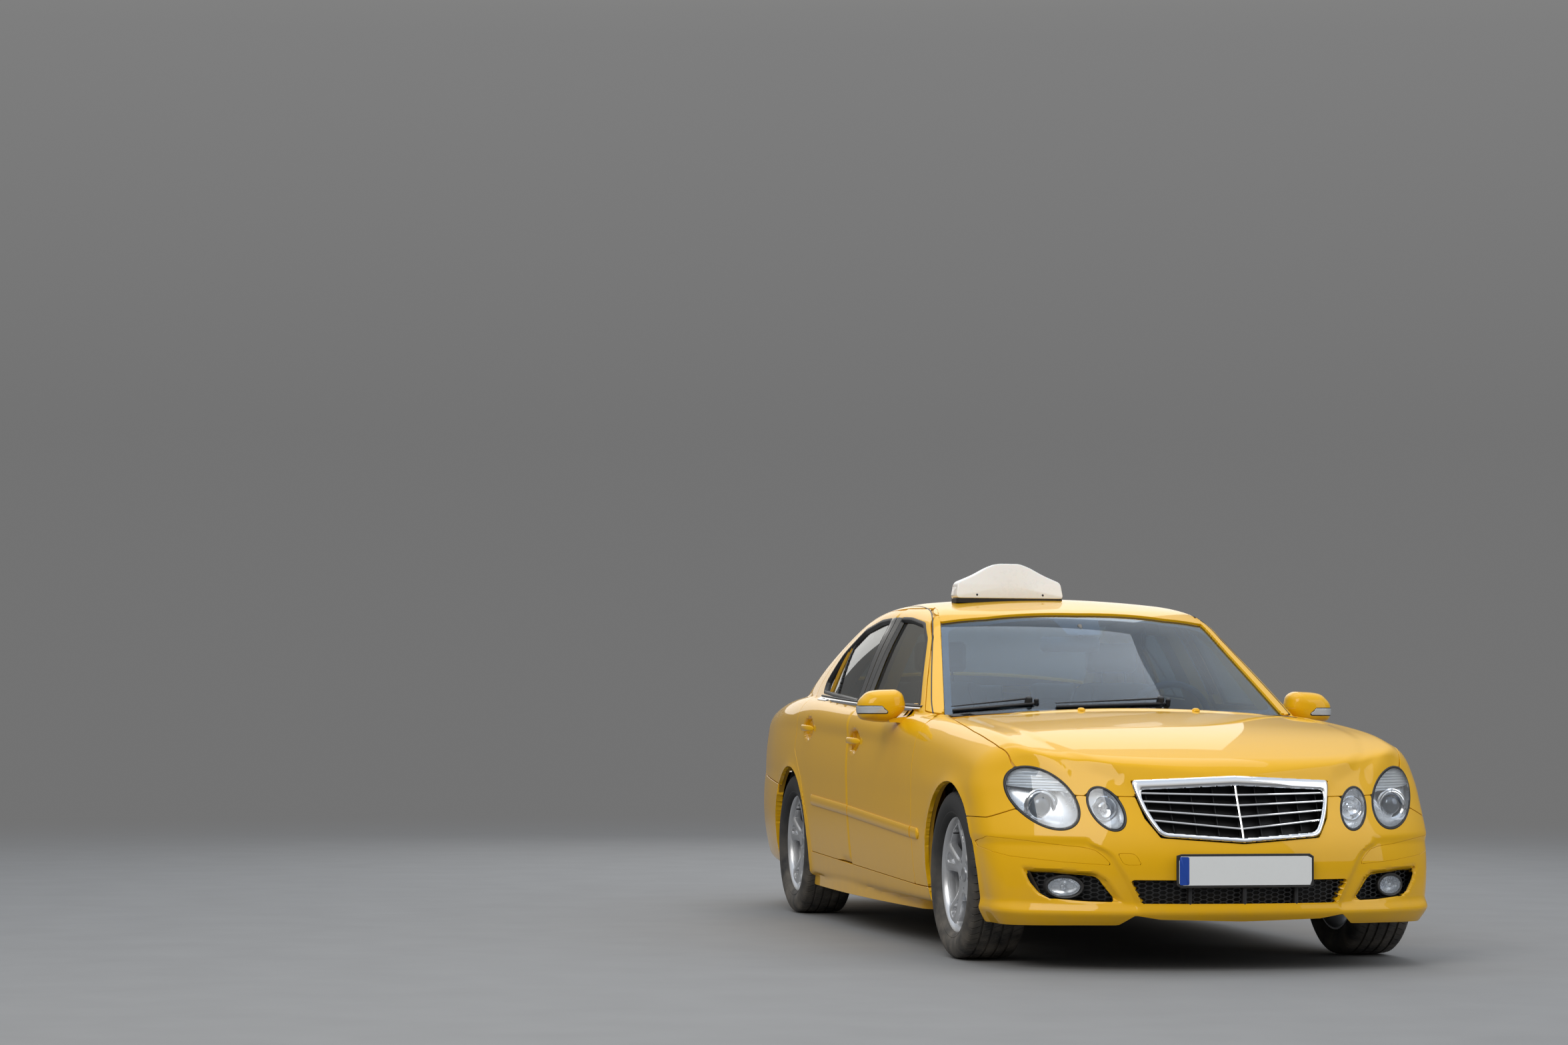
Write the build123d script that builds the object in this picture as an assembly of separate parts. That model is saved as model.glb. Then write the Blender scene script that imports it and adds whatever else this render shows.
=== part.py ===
from build123d import *
import math
import os

# Frame: +Z up, origin on the ground under the middle of the car.
# The nose points along -Y and the driver's side is +X.  All sizes are in millimetres.

# Overall sizes
LENGTH = 4856
HALF_WIDTH = 911
ROOF_HEIGHT = 1452
WHEELBASE = 2854
FRONT_OVERHANG = 855
FRONT_TRACK = 1559
REAR_TRACK = 1552
GROUND_CLEARANCE = 190

# Wheels
TYRE_RADIUS = 324
TYRE_WIDTH = 238
RIM_RADIUS = 226
RIM_WIDTH = 203
RIM_LIP = 9
SPOKE_COUNT = 5
HUB_RADIUS = 78
HUB_BORE = 30
BRAKE_DISC_RADIUS = 155
ARCH_RADIUS = 362

# Body walls and gaps
SKIN = 26
DOOR_DEPTH = 62
FRAME_LOW_Z = 1030
PILLAR_DEPTH = 130
PANEL_GAP = 7
GLASS = 5
SEAL_STEP = 45

# Door lines seen from the side
DOOR_FRONT_Y = -985
DOOR_SPLIT_Y = 80
DOOR_BOTTOM_Z = 285
HINGE_INSET = 24
HINGE_SETBACK = 42
HINGE_HEIGHTS = (400, 700)
HINGE_PIN = 6
PIN_PLAY = 0.3

# Bonnet and boot hinges, seen from the side
BONNET_HINGE = (-985, 900)
BOOT_HINGE = (1400, 950)

FRONT_Y = -LENGTH / 2
REAR_Y = LENGTH / 2
FRONT_AXLE_Y = FRONT_Y + FRONT_OVERHANG
REAR_AXLE_Y = FRONT_AXLE_Y + WHEELBASE
DOOR_HINGE_X = HALF_WIDTH - HINGE_INSET
FRONT_HINGE_Y = DOOR_FRONT_Y + HINGE_SETBACK
REAR_HINGE_Y = DOOR_SPLIT_Y + 58
# The rear door ends this far from its hinge, and its frame's front top corner is cut back to here,
# because the front door's frame passes over that corner as it opens
REAR_DOOR_REACH = 1049
FRAME_CORNER_Y = 240
FRAME_CORNER_Z = 1386

# Body sections: y, then height of the floor edge, then pairs of inset from the
# half width and height for the sill, the widest line, the shoulder crease and
# the deck edge, then the height of the crown in the middle.
BODY_SECTIONS = [
    # y, floor z, floor in, sill in, wide in, wide z, crease in, crease z, deck in, deck z, crown z
    (FRONT_Y, 10, 71, 26, 53, 560, 111, 640, 271, 688, 696),
    (FRONT_Y + 228, 10, 61, 23, 33, 580, 59, 680, 271, 766, 792),
    (FRONT_Y + 528, 10, 49, 18, 29, 600, 29, 735, 231, 852, 872),
    (FRONT_AXLE_Y, 5, 43, 15, 24, 610, 24, 775, 201, 897, 918),
    (FRONT_AXLE_Y + 523, 0, 39, 13, 23, 610, 23, 810, 151, 932, 968),
    (-300, 0, 36, 11, 19, 620, 19, 830, 71, 950, 985),
    (500, 0, 36, 11, 18, 630, 18, 850, 71, 978, 1010),
    (REAR_AXLE_Y, 5, 41, 13, 21, 640, 21, 870, 111, 1012, 1060),
    (REAR_AXLE_Y + 519, 15, 66, 31, 45, 650, 45, 870, 176, 1000, 1060),
    (REAR_Y, 40, 151, 111, 131, 650, 131, 850, 271, 945, 990),
]
# Height at which the sill line of every section lies
SILL_Z = 400

# Plan outlines of the nose and tail: z, setback of the nose, depth of its curve,
# setback of the tail, depth of its curve
PLAN_LEVELS = [
    (150, 28, 560, 60, 330),
    (330, 8, 590, 4, 380),
    (480, 22, 620, 0, 400),
    (620, 88, 630, 22, 400),
    (760, 148, 640, 40, 420),
    (1100, 308, 640, 60, 420),
]
# The plan outlines are this much wider than the sections, which set the flanks
PLAN_SPREAD = 54

# Cabin outlines at six heights: z, screen middle y, screen edge x and y, pillar
# edge x and y, side x, rear side edge x and y, rear window edge x and y, rear middle y
CABIN_LEVELS = [
    (900, -1165, 765, -930, 822, -850, 874, 800, 1640, 640, 1830, 1900),
    (1100, -870, 684, -628, 738, -560, 790, 752, 1330, 600, 1500, 1570),
    (1250, -600, 622, -398, 672, -335, 718, 690, 1040, 560, 1190, 1255),
    (1360, -410, 574, -230, 622, -165, 655, 630, 800, 520, 935, 1000),
    (1412, -310, 520, -140, 568, -75, 602, 575, 650, 480, 790, 850),
    (1458, -220, 400, -40, 440, 20, 460, 440, 480, 370, 610, 660),
]
# Roof dome: where it is highest, and its radii along and across the car
ROOF_CROWN_Y = 350
ROOF_RADIUS_LONG = 3300
ROOF_RADIUS_WIDE = 5200

# Door hinges, and the sills seen from the front and from the side
DOOR_ROOM_X = 530
HINGE_TALL = 56
BARREL_RADIUS = 11
NOTCH_RADIUS = 16
PLINTH_Z = 150
SILL_INNER_X = 742
SILL_FRONT_Y = -1250
SILL_TOP_Z = 252

# Door handles: where each one's middle is, seen from the side as (y, z), and its size
HANDLES = {"front": (26, 820), "rear": (933, 867)}
HANDLE_LENGTH = 206
HANDLE_HEIGHT = 30
HANDLE_REACH = 36
HANDLE_BAR = 14
# Rub strip along the flank: y, and the middle of its height
STRIP_LINE = [(-1107, 462), (-950, 467), (150, 519), (830, 544)]
STRIP_HALF = 23
STRIP_REACH = 8

# Line between the body side and the screens and roof, seen from above, as (x, y)
ROOF_EDGE = [
    (742, -900), (590, -262), (548, -60), (530, 300), (530, 700), (528, 900), (566, 1190), (604, 1500),
    (625, 1655),
]
SCREEN_TOP = [(590, -262), (400, -318), (0, -345)]
WINDOW_TOP = [(0, 968), (300, 950), (528, 900)]

# Front end outlines, seen from the front, as (x, z) on the +X side
BUMPER_LINE = [(1000, 552), (872, 557), (791, 589), (582, 644), (404, 641)]
GRILLE_OUTLINE = [(391, 704), (353, 567), (306, 499)]
GRILLE_TOP_Z = 722
GRILLE_TIP_Z = 478
GRILLE_RIM = 22
LOWER_GRILLE = [(427, 342), (383, 253)]
FOG_OPENING = [(766, 369), (722, 271), (436, 261), (528, 358)]
FOG_LAMP = (627, 312, 38)
# x, z, long half axis, short half axis, tilt
LARGE_LAMP = (693, 636, 134, 92, 45)
SMALL_LAMP = (485, 599, 84, 56, 64)
LAMP_DEPTH = 90
NOSE_CUT = -1985
# Bonnet edge seen from above, as (x, y)
BONNET_SIDE = [
    (740, -2600), (745, -2060), (775, -2010), (796, -1920), (800, -1780), (796, -1560), (780, -1300),
    (757, -1040),
]
BONNET_REAR = [(620, -1068), (380, -1118)]
BONNET_REAR_Y = -1140
BONNET_ARM_X = 690

# Running clearance of seated pieces, and the places of the inner structure
SEAT_GAP = 0.3
HOUSING_WALL = 14
KINGPIN_X = 705
FRONT_WHEEL_X = FRONT_TRACK / 2
REAR_WHEEL_X = REAR_TRACK / 2
SHELF_HALF = 596
TAIL_FLOOR_Z = 440

# Rear end: lid edge seen from above as (x, y), its hinge necks' inner and outer radius and lowest angle
BOOT_LID_EDGE = [(700, 1665), (688, 2300), (604, 2395), (604, 2600)]
BOOT_ARM_X = 540
BOOT_NECK = (292, 312)
BOOT_NECK_LOW = -65
REAR_BUMPER_Z = 655
REAR_BUMPER_Y = 1560
# x, y, z, radius
TAIL_PIPE = (-480, 2150, 255, 30)

# Roof sign: middle x and y, width, depth, height of its top
SIGN = (-170, 100, 490, 110, 1600)

# x, y, z, radius, grip radius, tilt
STEERING_WHEEL = (380, -400, 900, 186, 15, 24)
HUB_BACK = 22


def arc(start, middle, end):
    return Edge.make_three_point_arc(Vector(*start), Vector(*middle), Vector(*end))


def line(start, end):
    return Edge.make_line(Vector(*start), Vector(*end))


def mirror(shape):
    return shape.mirror(Plane.YZ)


def joined(shapes):
    whole = shapes[0]
    for shape in shapes[1:]:
        whole = whole + shape
    return whole


def solids_of(shape):
    if isinstance(shape, (list, tuple, ShapeList)):
        return [solid for item in shape for solid in item.solids()]
    return list(shape.solids())


def box(x0, x1, y0, y1, z0, z1):
    return Solid.make_box(x1 - x0, y1 - y0, z1 - z0).moved(Location((x0, y0, z0)))


def cylinder(start, direction, radius, length):
    return Solid.make_cylinder(radius, length, Plane(origin=start, z_dir=direction))


def outline_face(points, radius):
    if radius:
        edge_wire = FilletPolyline(*points, radius=radius, close=True)
    else:
        edge_wire = Polyline(*points, close=True)
    return Face(Wire(edge_wire.edges()))


def prism_x(outline, x0, x1, radius=0):
    """Side outline of (y, z) points carried along X."""
    face = outline_face([(x0, y, z) for y, z in outline], radius)
    return Solid.extrude(face, Vector(x1 - x0, 0, 0))


def prism_y(outline, y0, y1, radius=0):
    """Front outline of (x, z) points carried along Y."""
    face = outline_face([(x, y0, z) for x, z in outline], radius)
    return Solid.extrude(face, Vector(0, y1 - y0, 0))


def prism_z(outline, z0, z1, radius=0):
    """Plan outline of (x, y) points carried along Z."""
    face = outline_face([(x, y, z0) for x, y in outline], radius)
    return Solid.extrude(face, Vector(0, 0, z1 - z0))


def tilted_ellipse(x, z, half_long, half_short, tilt, y0, y1):
    """Ellipse in the front view, its long axis turned by tilt from +X, carried along Y."""
    angle = math.radians(tilt)
    plane = Plane(origin=(x, y0, z), x_dir=(math.cos(angle), 0, math.sin(angle)), z_dir=(0, 1, 0))
    edge = Edge.make_ellipse(half_long, half_short, plane)
    return Solid.extrude(Face(Wire([edge])), Vector(0, y1 - y0, 0))


# Master shapes of the car, each at a given depth under the outside

def body_section(row, depth):
    """One cross section: flat floor, three arcs up each side, one crown arc."""
    y, floor_rise, floor_in, sill_in, wide_in, wide_z, crease_in, crease_z, deck_in, deck_z, crown_z = row
    floor = (HALF_WIDTH - floor_in - depth, GROUND_CLEARANCE + floor_rise + depth)
    sill = (HALF_WIDTH - sill_in - depth, SILL_Z)
    wide = (HALF_WIDTH - wide_in + 15 - depth, wide_z)
    crease = (HALF_WIDTH - crease_in - 0.92 * depth, crease_z - 0.38 * depth)
    deck = (HALF_WIDTH - deck_in - 0.3 * depth, deck_z - 0.95 * depth)
    crown = crown_z - depth
    flank = ((wide[0] + crease[0]) / 2 + 6, (wide[1] + crease[1]) / 2)
    rise = deck[1] - crease[1]
    run = deck[0] - crease[0]
    shoulder = ((crease[0] + deck[0]) / 2 + 0.18 * rise, (crease[1] + deck[1]) / 2 - 0.18 * run)

    def at(point, side):
        return (side * point[0], y, point[1])

    right = [
        arc(at(floor, 1), at(sill, 1), at(wide, 1)),
        arc(at(wide, 1), at(flank, 1), at(crease, 1)),
        arc(at(crease, 1), at(shoulder, 1), at(deck, 1)),
    ]
    left = [
        arc(at(deck, -1), at(shoulder, -1), at(crease, -1)),
        arc(at(crease, -1), at(flank, -1), at(wide, -1)),
        arc(at(wide, -1), at(sill, -1), at(floor, -1)),
    ]
    across = [line(at(floor, -1), at(floor, 1)), arc(at(deck, 1), (0, y, crown), at(deck, -1))]
    return Wire([across[0]] + right + [across[1]] + left)


def plan_section(row, depth):
    """Plan outline: a curved nose and tail, each three arcs, and straight sides."""
    z, nose_back, nose_curve, tail_back, tail_curve = row
    half = HALF_WIDTH + PLAN_SPREAD - depth

    def nose(x):
        return FRONT_Y + nose_back + depth + nose_curve * (1 - math.sqrt(1 - (x / half) ** 2))

    def tail(x):
        return REAR_Y - tail_back - depth - tail_curve * (1 - math.sqrt(1 - (x / half) ** 2))

    inner, middle, outer = 0.55 * half, 0.84 * half, 0.995 * half
    edges = [
        arc((-inner, nose(inner), z), (0, nose(0), z), (inner, nose(inner), z)),
        arc((inner, nose(inner), z), (middle, nose(middle), z), (outer, nose(outer), z)),
        line((outer, nose(outer), z), (outer, tail(outer), z)),
        arc((outer, tail(outer), z), (middle, tail(middle), z), (inner, tail(inner), z)),
        arc((inner, tail(inner), z), (0, tail(0), z), (-inner, tail(inner), z)),
        arc((-inner, tail(inner), z), (-middle, tail(middle), z), (-outer, tail(outer), z)),
        line((-outer, tail(outer), z), (-outer, nose(outer), z)),
        arc((-outer, nose(outer), z), (-middle, nose(middle), z), (-inner, nose(inner), z)),
    ]
    return Wire(edges)


def cabin_section(row, depth):
    """Plan outline of the glasshouse: screen, pillar, side, rear corner and rear window arcs."""
    z, screen_y, edge_x, edge_y, pillar_x, pillar_y, side_x, back_x, back_y, rear_x, rear_y, rear_mid = row
    screen_y += 1.7 * depth
    edge_x -= depth
    edge_y += 1.4 * depth
    pillar_x -= 0.9 * depth
    pillar_y += depth
    side_x -= depth
    back_x -= depth
    back_y -= 0.9 * depth
    rear_x -= 0.8 * depth
    rear_y -= 1.8 * depth
    rear_mid -= 2.2 * depth

    def bowed(start, end, share):
        return ((start[0] + end[0]) / 2 + share * (end[1] - start[1]),
                (start[1] + end[1]) / 2 - share * (end[0] - start[0]))

    def at(point, side=1):
        return (side * point[0], point[1], z)

    edge, pillar = (edge_x, edge_y), (pillar_x, pillar_y)
    back, rear = (back_x, back_y), (rear_x, rear_y)
    front_bow = bowed(edge, pillar, 0.15)
    rear_bow = bowed(back, rear, 0.17)
    edges = [
        arc(at(edge, -1), (0, screen_y, z), at(edge)),
        arc(at(edge), at(front_bow), at(pillar)),
        arc(at(pillar), (side_x, 200, z), at(back)),
        arc(at(back), at(rear_bow), at(rear)),
        arc(at(rear), (0, rear_mid, z), at(rear, -1)),
        arc(at(rear, -1), at(rear_bow, -1), at(back, -1)),
        arc(at(back, -1), (-side_x, 200, z), at(pillar, -1)),
        arc(at(pillar, -1), at(front_bow, -1), at(edge, -1)),
    ]
    return Wire(edges)


def roof_dome(depth):
    """Barrel with a crowned profile, turned about a far axis under the car."""
    half = 900
    edge = ROOF_RADIUS_LONG - half ** 2 / (2 * ROOF_RADIUS_WIDE)
    low = ROOF_RADIUS_LONG - 900
    profile = Face(Wire([
        arc((-half, 0, edge), (0, 0, ROOF_RADIUS_LONG), (half, 0, edge)),
        line((half, 0, edge), (half, 0, low)),
        line((half, 0, low), (-half, 0, low)),
        line((-half, 0, low), (-half, 0, edge)),
    ]))
    sweep = 80
    turned = Solid.revolve(profile, sweep, Axis((0, 0, 0), (1, 0, 0)))
    turned = turned.rotate(Axis((0, 0, 0), (1, 0, 0)), -sweep / 2)
    return turned.moved(Location((0, ROOF_CROWN_Y, ROOF_HEIGHT - depth - ROOF_RADIUS_LONG)))


made_bodies = {}
made_cabins = {}


def lower_body(depth):
    if depth not in made_bodies:
        hull = Solid.make_loft([body_section(row, depth) for row in BODY_SECTIONS])
        plan = Solid.make_loft([plan_section(row, depth) for row in PLAN_LEVELS])
        made_bodies[depth] = hull & plan
    return made_bodies[depth]


def cabin(depth):
    if depth not in made_cabins:
        walls = Solid.make_loft([cabin_section(row, depth) for row in CABIN_LEVELS])
        made_cabins[depth] = walls & roof_dome(depth)
    return made_cabins[depth]


def whole_car(depth):
    return lower_body(depth) + cabin(depth)


# Outlines seen from the side, as (y, z)

def door_bottom(y):
    return DOOR_BOTTOM_Z + 0.0264 * y


def split_line(y_shift, z):
    """The line between the doors leans back with height."""
    table = [(280, 0), (600, 20), (800, 40), (950, 60), (1390, 135)]
    for (z0, s0), (z1, s1) in zip(table, table[1:]):
        if z <= z1:
            return DOOR_SPLIT_Y + s0 + (s1 - s0) * (z - z0) / (z1 - z0) + y_shift
    return DOOR_SPLIT_Y + table[-1][1] + y_shift


def front_door_outline(grow):
    g = grow
    return [
        (DOOR_FRONT_Y - g, door_bottom(DOOR_FRONT_Y) - g),
        (DOOR_FRONT_Y - g, 900 + g),
        (DOOR_FRONT_Y + 25 - g, 925 + g),
        (-792 - 0.6 * g, 950 + g),
        (-352 - 0.7 * g, 1262 + 0.7 * g),
        (-190 - g, 1358 + g),
        (-40, 1392 + g),
        (split_line(g, 1390), 1398 + g),
        (split_line(g, 950), 950),
        (split_line(g, 600), 600),
        (split_line(g, 280), door_bottom(DOOR_SPLIT_Y) - g),
    ]


def rear_door_outline(grow):
    g = grow
    start = PANEL_GAP - g
    return [
        (split_line(start, 280), door_bottom(DOOR_SPLIT_Y) - g),
        (split_line(start, 600), 600),
        (split_line(start, 950), 950),
        (split_line(start, 1390), 1398 + g),
        (500, 1392 + g),
        (800, 1348 + g),
        (1010 + g, 1236 + g),
        (REAR_AXLE_Y - 96 + g, 1060 + g),
        (REAR_AXLE_Y - 96 + g, 770 - 0.46 * g),
        (REAR_AXLE_Y - 250 + 1.3 * g, 640 - 0.2 * g),
        (REAR_AXLE_Y - 385 + g, 440),
        (REAR_AXLE_Y - 411 + g, door_bottom(870) - g),
    ]


def front_window_outline(grow):
    g = grow
    return [
        (-715 - 1.8 * g, 972 - 0.7 * g),
        (-330 - g, 1258 + g),
        (-200, 1326 + g),
        (0, 1352 + g),
        (split_line(g - 78, 1390), 1356 + g),
        (split_line(g - 66, 950), 986 - g),
    ]


def rear_window_outline(grow):
    g = grow
    return [
        (split_line(72 - g, 950), 990 - g),
        (split_line(78 - g, 1390), 1356 + g),
        (470, 1352 + g),
        (740, 1316 + g),
        (930 + g, 1210 + g),
        (1040 + g, 1080 + g),
        (1010 + g, 1032 - g),
    ]


def hinge_notch(hinge_y, height):
    """Room in a door for one fixed hinge barrel and its leaf."""
    top = height + HINGE_TALL
    room = box(DOOR_HINGE_X - 120, DOOR_HINGE_X, hinge_y - 70, hinge_y + NOTCH_RADIUS, height, top)
    front = box(DOOR_HINGE_X - 120, DOOR_HINGE_X + 9, hinge_y - 70, hinge_y, height, top)
    round_room = cylinder((DOOR_HINGE_X, hinge_y, height), (0, 0, 1), NOTCH_RADIUS, HINGE_TALL)
    return room + front + round_room


def door_pin(hinge_y, height):
    return cylinder((DOOR_HINGE_X, hinge_y, height - 12), (0, 0, 1), HINGE_PIN, HINGE_TALL + 24)


def hinge_leaf(hinge_y, height):
    """Fixed half of a hinge: a barrel round the pin and a leaf back to the pillar."""
    low = height + 6
    tall = HINGE_TALL - 12
    barrel = cylinder((DOOR_HINGE_X, hinge_y, low), (0, 0, 1), BARREL_RADIUS, tall)
    leaf = box(HALF_WIDTH - PILLAR_DEPTH + 8, DOOR_HINGE_X, hinge_y - 9, hinge_y + 3, low, low + tall)
    bore = cylinder((DOOR_HINGE_X, hinge_y, 0), (0, 0, 1), HINGE_PIN + PIN_PLAY, 1500)
    return barrel + leaf - bore


def swing_room(hinge_y, edge_setback):
    """Cylinder that a door's front edge sweeps, with running room."""
    radius = math.hypot(HINGE_INSET, edge_setback) + 6
    return cylinder((DOOR_HINGE_X, hinge_y, PLINTH_Z), (0, 0, 1), radius, 850)


FRONT_SWING = HINGE_SETBACK
REAR_SWING = REAR_HINGE_Y - DOOR_SPLIT_Y - PANEL_GAP


def build_handle(middle, bar_out, bar_in, foot_in):
    """Pull handle: a bar that follows the flank on two feet."""
    y, z = middle
    half, tall = HANDLE_LENGTH / 2, HANDLE_HEIGHT / 2
    bar = (bar_out - bar_in) & prism_x([(y - half, z - tall), (y + half, z - tall), (y + half, z + tall),
                                        (y - half, z + tall)], 600, 1100, 12)
    for end in (y - half + 18, y + half - 18):
        foot = box(600, 1100, end - 12, end + 12, z - tall + 6, z + tall - 6)
        bar = bar + ((bar_out - foot_in) & foot)
    return bar


def build_rub_strip(strip_out, strip_in, outline):
    """Raised strip along the flank, as long as the panel outline that it lies on."""
    low = [(y, z - STRIP_HALF) for y, z in STRIP_LINE]
    high = [(y, z + STRIP_HALF) for y, z in reversed(STRIP_LINE)]
    return (strip_out - strip_in) & prism_x(low + high, 600, 1100) & outline


def build_doors(outer, inner, cabin_skin):
    """Front and rear door slabs on the +X side, with windows, hinge notches, handle and rub strip."""
    edge = [(x + 8, y) for x, y in ROOF_EDGE[:7]]
    slab = (outer - inner) & prism_z([(1100, -1150), (750, -1150)] + edge + [(1100, 1190)], 200, 1405)
    strip_out, skin_low = lower_body(-STRIP_REACH), lower_body(2)
    bar_out, bar_in = lower_body(-HANDLE_REACH), lower_body(HANDLE_BAR - HANDLE_REACH)
    doors = {}
    for name, outline, window, hinge_y in (
        ("front", front_door_outline, front_window_outline, FRONT_HINGE_Y),
        ("rear", rear_door_outline, rear_window_outline, REAR_HINGE_Y),
    ):
        door = slab & prism_x(outline(0), 300, 1100)
        opening = prism_x(window(0), 300, 1100, 14)
        door = door - (opening if name == "front" else opening - division_bar(0))
        door = door - (cabin_skin & box(300, 1100, -1200, 1300, FRAME_LOW_Z, 1450))
        for height in HINGE_HEIGHTS:
            door = door - hinge_notch(hinge_y, height)
        door = door + build_rub_strip(strip_out, skin_low, prism_x(outline(0), 300, 1100))
        doors[name] = door + build_handle(HANDLES[name], bar_out, bar_in, skin_low)
    doors["front"] = doors["front"] - swing_room(REAR_HINGE_Y, REAR_SWING)
    doors["rear"] = doors["rear"] & cylinder((DOOR_HINGE_X, REAR_HINGE_Y, 100), (0, 0, 1), REAR_DOOR_REACH, 1400)
    doors["rear"] = doors["rear"] - box(300, 1100, 0, FRAME_CORNER_Y, FRAME_CORNER_Z, 1450)
    for name, hinge_y in (("front", FRONT_HINGE_Y), ("rear", REAR_HINGE_Y)):
        for height in HINGE_HEIGHTS:
            doors[name] = doors[name] + door_pin(hinge_y, height)
    return doors


def door_aperture(which):
    """Opening through the body side behind a door, inside its seal."""
    if which == "front":
        points = front_door_outline(-SEAL_STEP)
        points[0] = (DOOR_FRONT_Y + 72, points[0][1])
        points[1] = (DOOR_FRONT_Y + 72, 850)
        points[2] = (DOOR_FRONT_Y + 100, 875)
        return points
    points = rear_door_outline(-SEAL_STEP)
    for index, z in ((0, 280), (1, 600), (2, 950), (3, 1390)):
        points[index] = (split_line(122, z), points[index][1])
    return points


def build_body_side(outer, pocket_inner, deep_inner, wall_inner, fender_inside):
    """Sill, pillars, roof rail and rear quarter in one pressing, on the +X side."""
    pillar_y = DOOR_FRONT_Y - 62
    zone = prism_x([
        (SILL_FRONT_Y, PLINTH_Z), (SILL_FRONT_Y, SILL_TOP_Z), (pillar_y, SILL_TOP_Z), (pillar_y, 905),
        (DOOR_FRONT_Y - 20, 952), (-360, 1385), (-150, 1460), (760, 1460), (1300, 1230), (1640, 1078),
        (1660, 1000), (1560, 700), (1300, 600), (900, PLINTH_Z),
    ], 300, 1100)
    edge_x = ROOF_EDGE[0][0]
    flank = prism_z([(1150, -1300), (edge_x, -1300)] + ROOF_EDGE + [(1150, 1655)], 100, 1500)
    side = (zone - wall_inner) & outer & flank
    side = side - box(300, SILL_INNER_X, -1300, 1700, 100, 880)
    inner_edge = [(x + 1, y) for x, y in ROOF_EDGE[:7]]
    door_side = prism_z([(1150, -1150), (edge_x, -1150)] + inner_edge + [(1150, 1200)], 150, 1420)
    for which, outline, hinge_y, edge in (
        ("front", front_door_outline, FRONT_HINGE_Y, FRONT_SWING),
        ("rear", rear_door_outline, REAR_HINGE_Y, REAR_SWING),
    ):
        room = prism_x(outline(PANEL_GAP), DOOR_ROOM_X, 1150) & door_side
        side = side - (room - pocket_inner)
        side = side - ((room & box(300, 1150, hinge_y - 70, hinge_y + 75, 100, 1000)) - deep_inner)
        side = side - swing_room(hinge_y, edge)
        side = side - prism_x(door_aperture(which), 300, 1150)
    ahead = box(300, 1150, -1300, DOOR_FRONT_Y, SILL_TOP_Z, 1100)
    side = side - (ahead - fender_inside)
    for hinge_y in (FRONT_HINGE_Y, REAR_HINGE_Y):
        for height in HINGE_HEIGHTS:
            side = side + hinge_leaf(hinge_y, height)
    return side


def arch_cut(axle_y, radius, x0, x1):
    return cylinder((x0, axle_y, TYRE_RADIUS), (1, 0, 0), radius, x1 - x0)


def both(shape):
    return solids_of(shape) + solids_of(mirror(shape))


def left_of(points):
    """The same points on the -X side, in the opposite order."""
    return [(-x, other) for x, other in reversed(points)]


def fit(points):
    """The same outline on the -X side, joined to the +X side, round the middle."""
    return points + left_of(points)


def grille_shape(shrink, top_shrink, y0, y1):
    """Five-sided grille opening with a dropped tip."""
    side = [(x - shrink, z - (top_shrink if index == 0 else 0)) for index, (x, z) in enumerate(GRILLE_OUTLINE)]
    side[-1] = (side[-1][0], side[-1][1] + shrink)
    points = [(0, GRILLE_TOP_Z - top_shrink)] + side + [(0, GRILLE_TIP_Z + shrink)] + left_of(side)
    return prism_y(points, y0, y1)


def lamp_shape(lamp, grow, y0, y1):
    x, z, long, short, tilt = lamp
    return tilted_ellipse(x, z, long + grow, short + grow, tilt, y0, y1)


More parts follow.
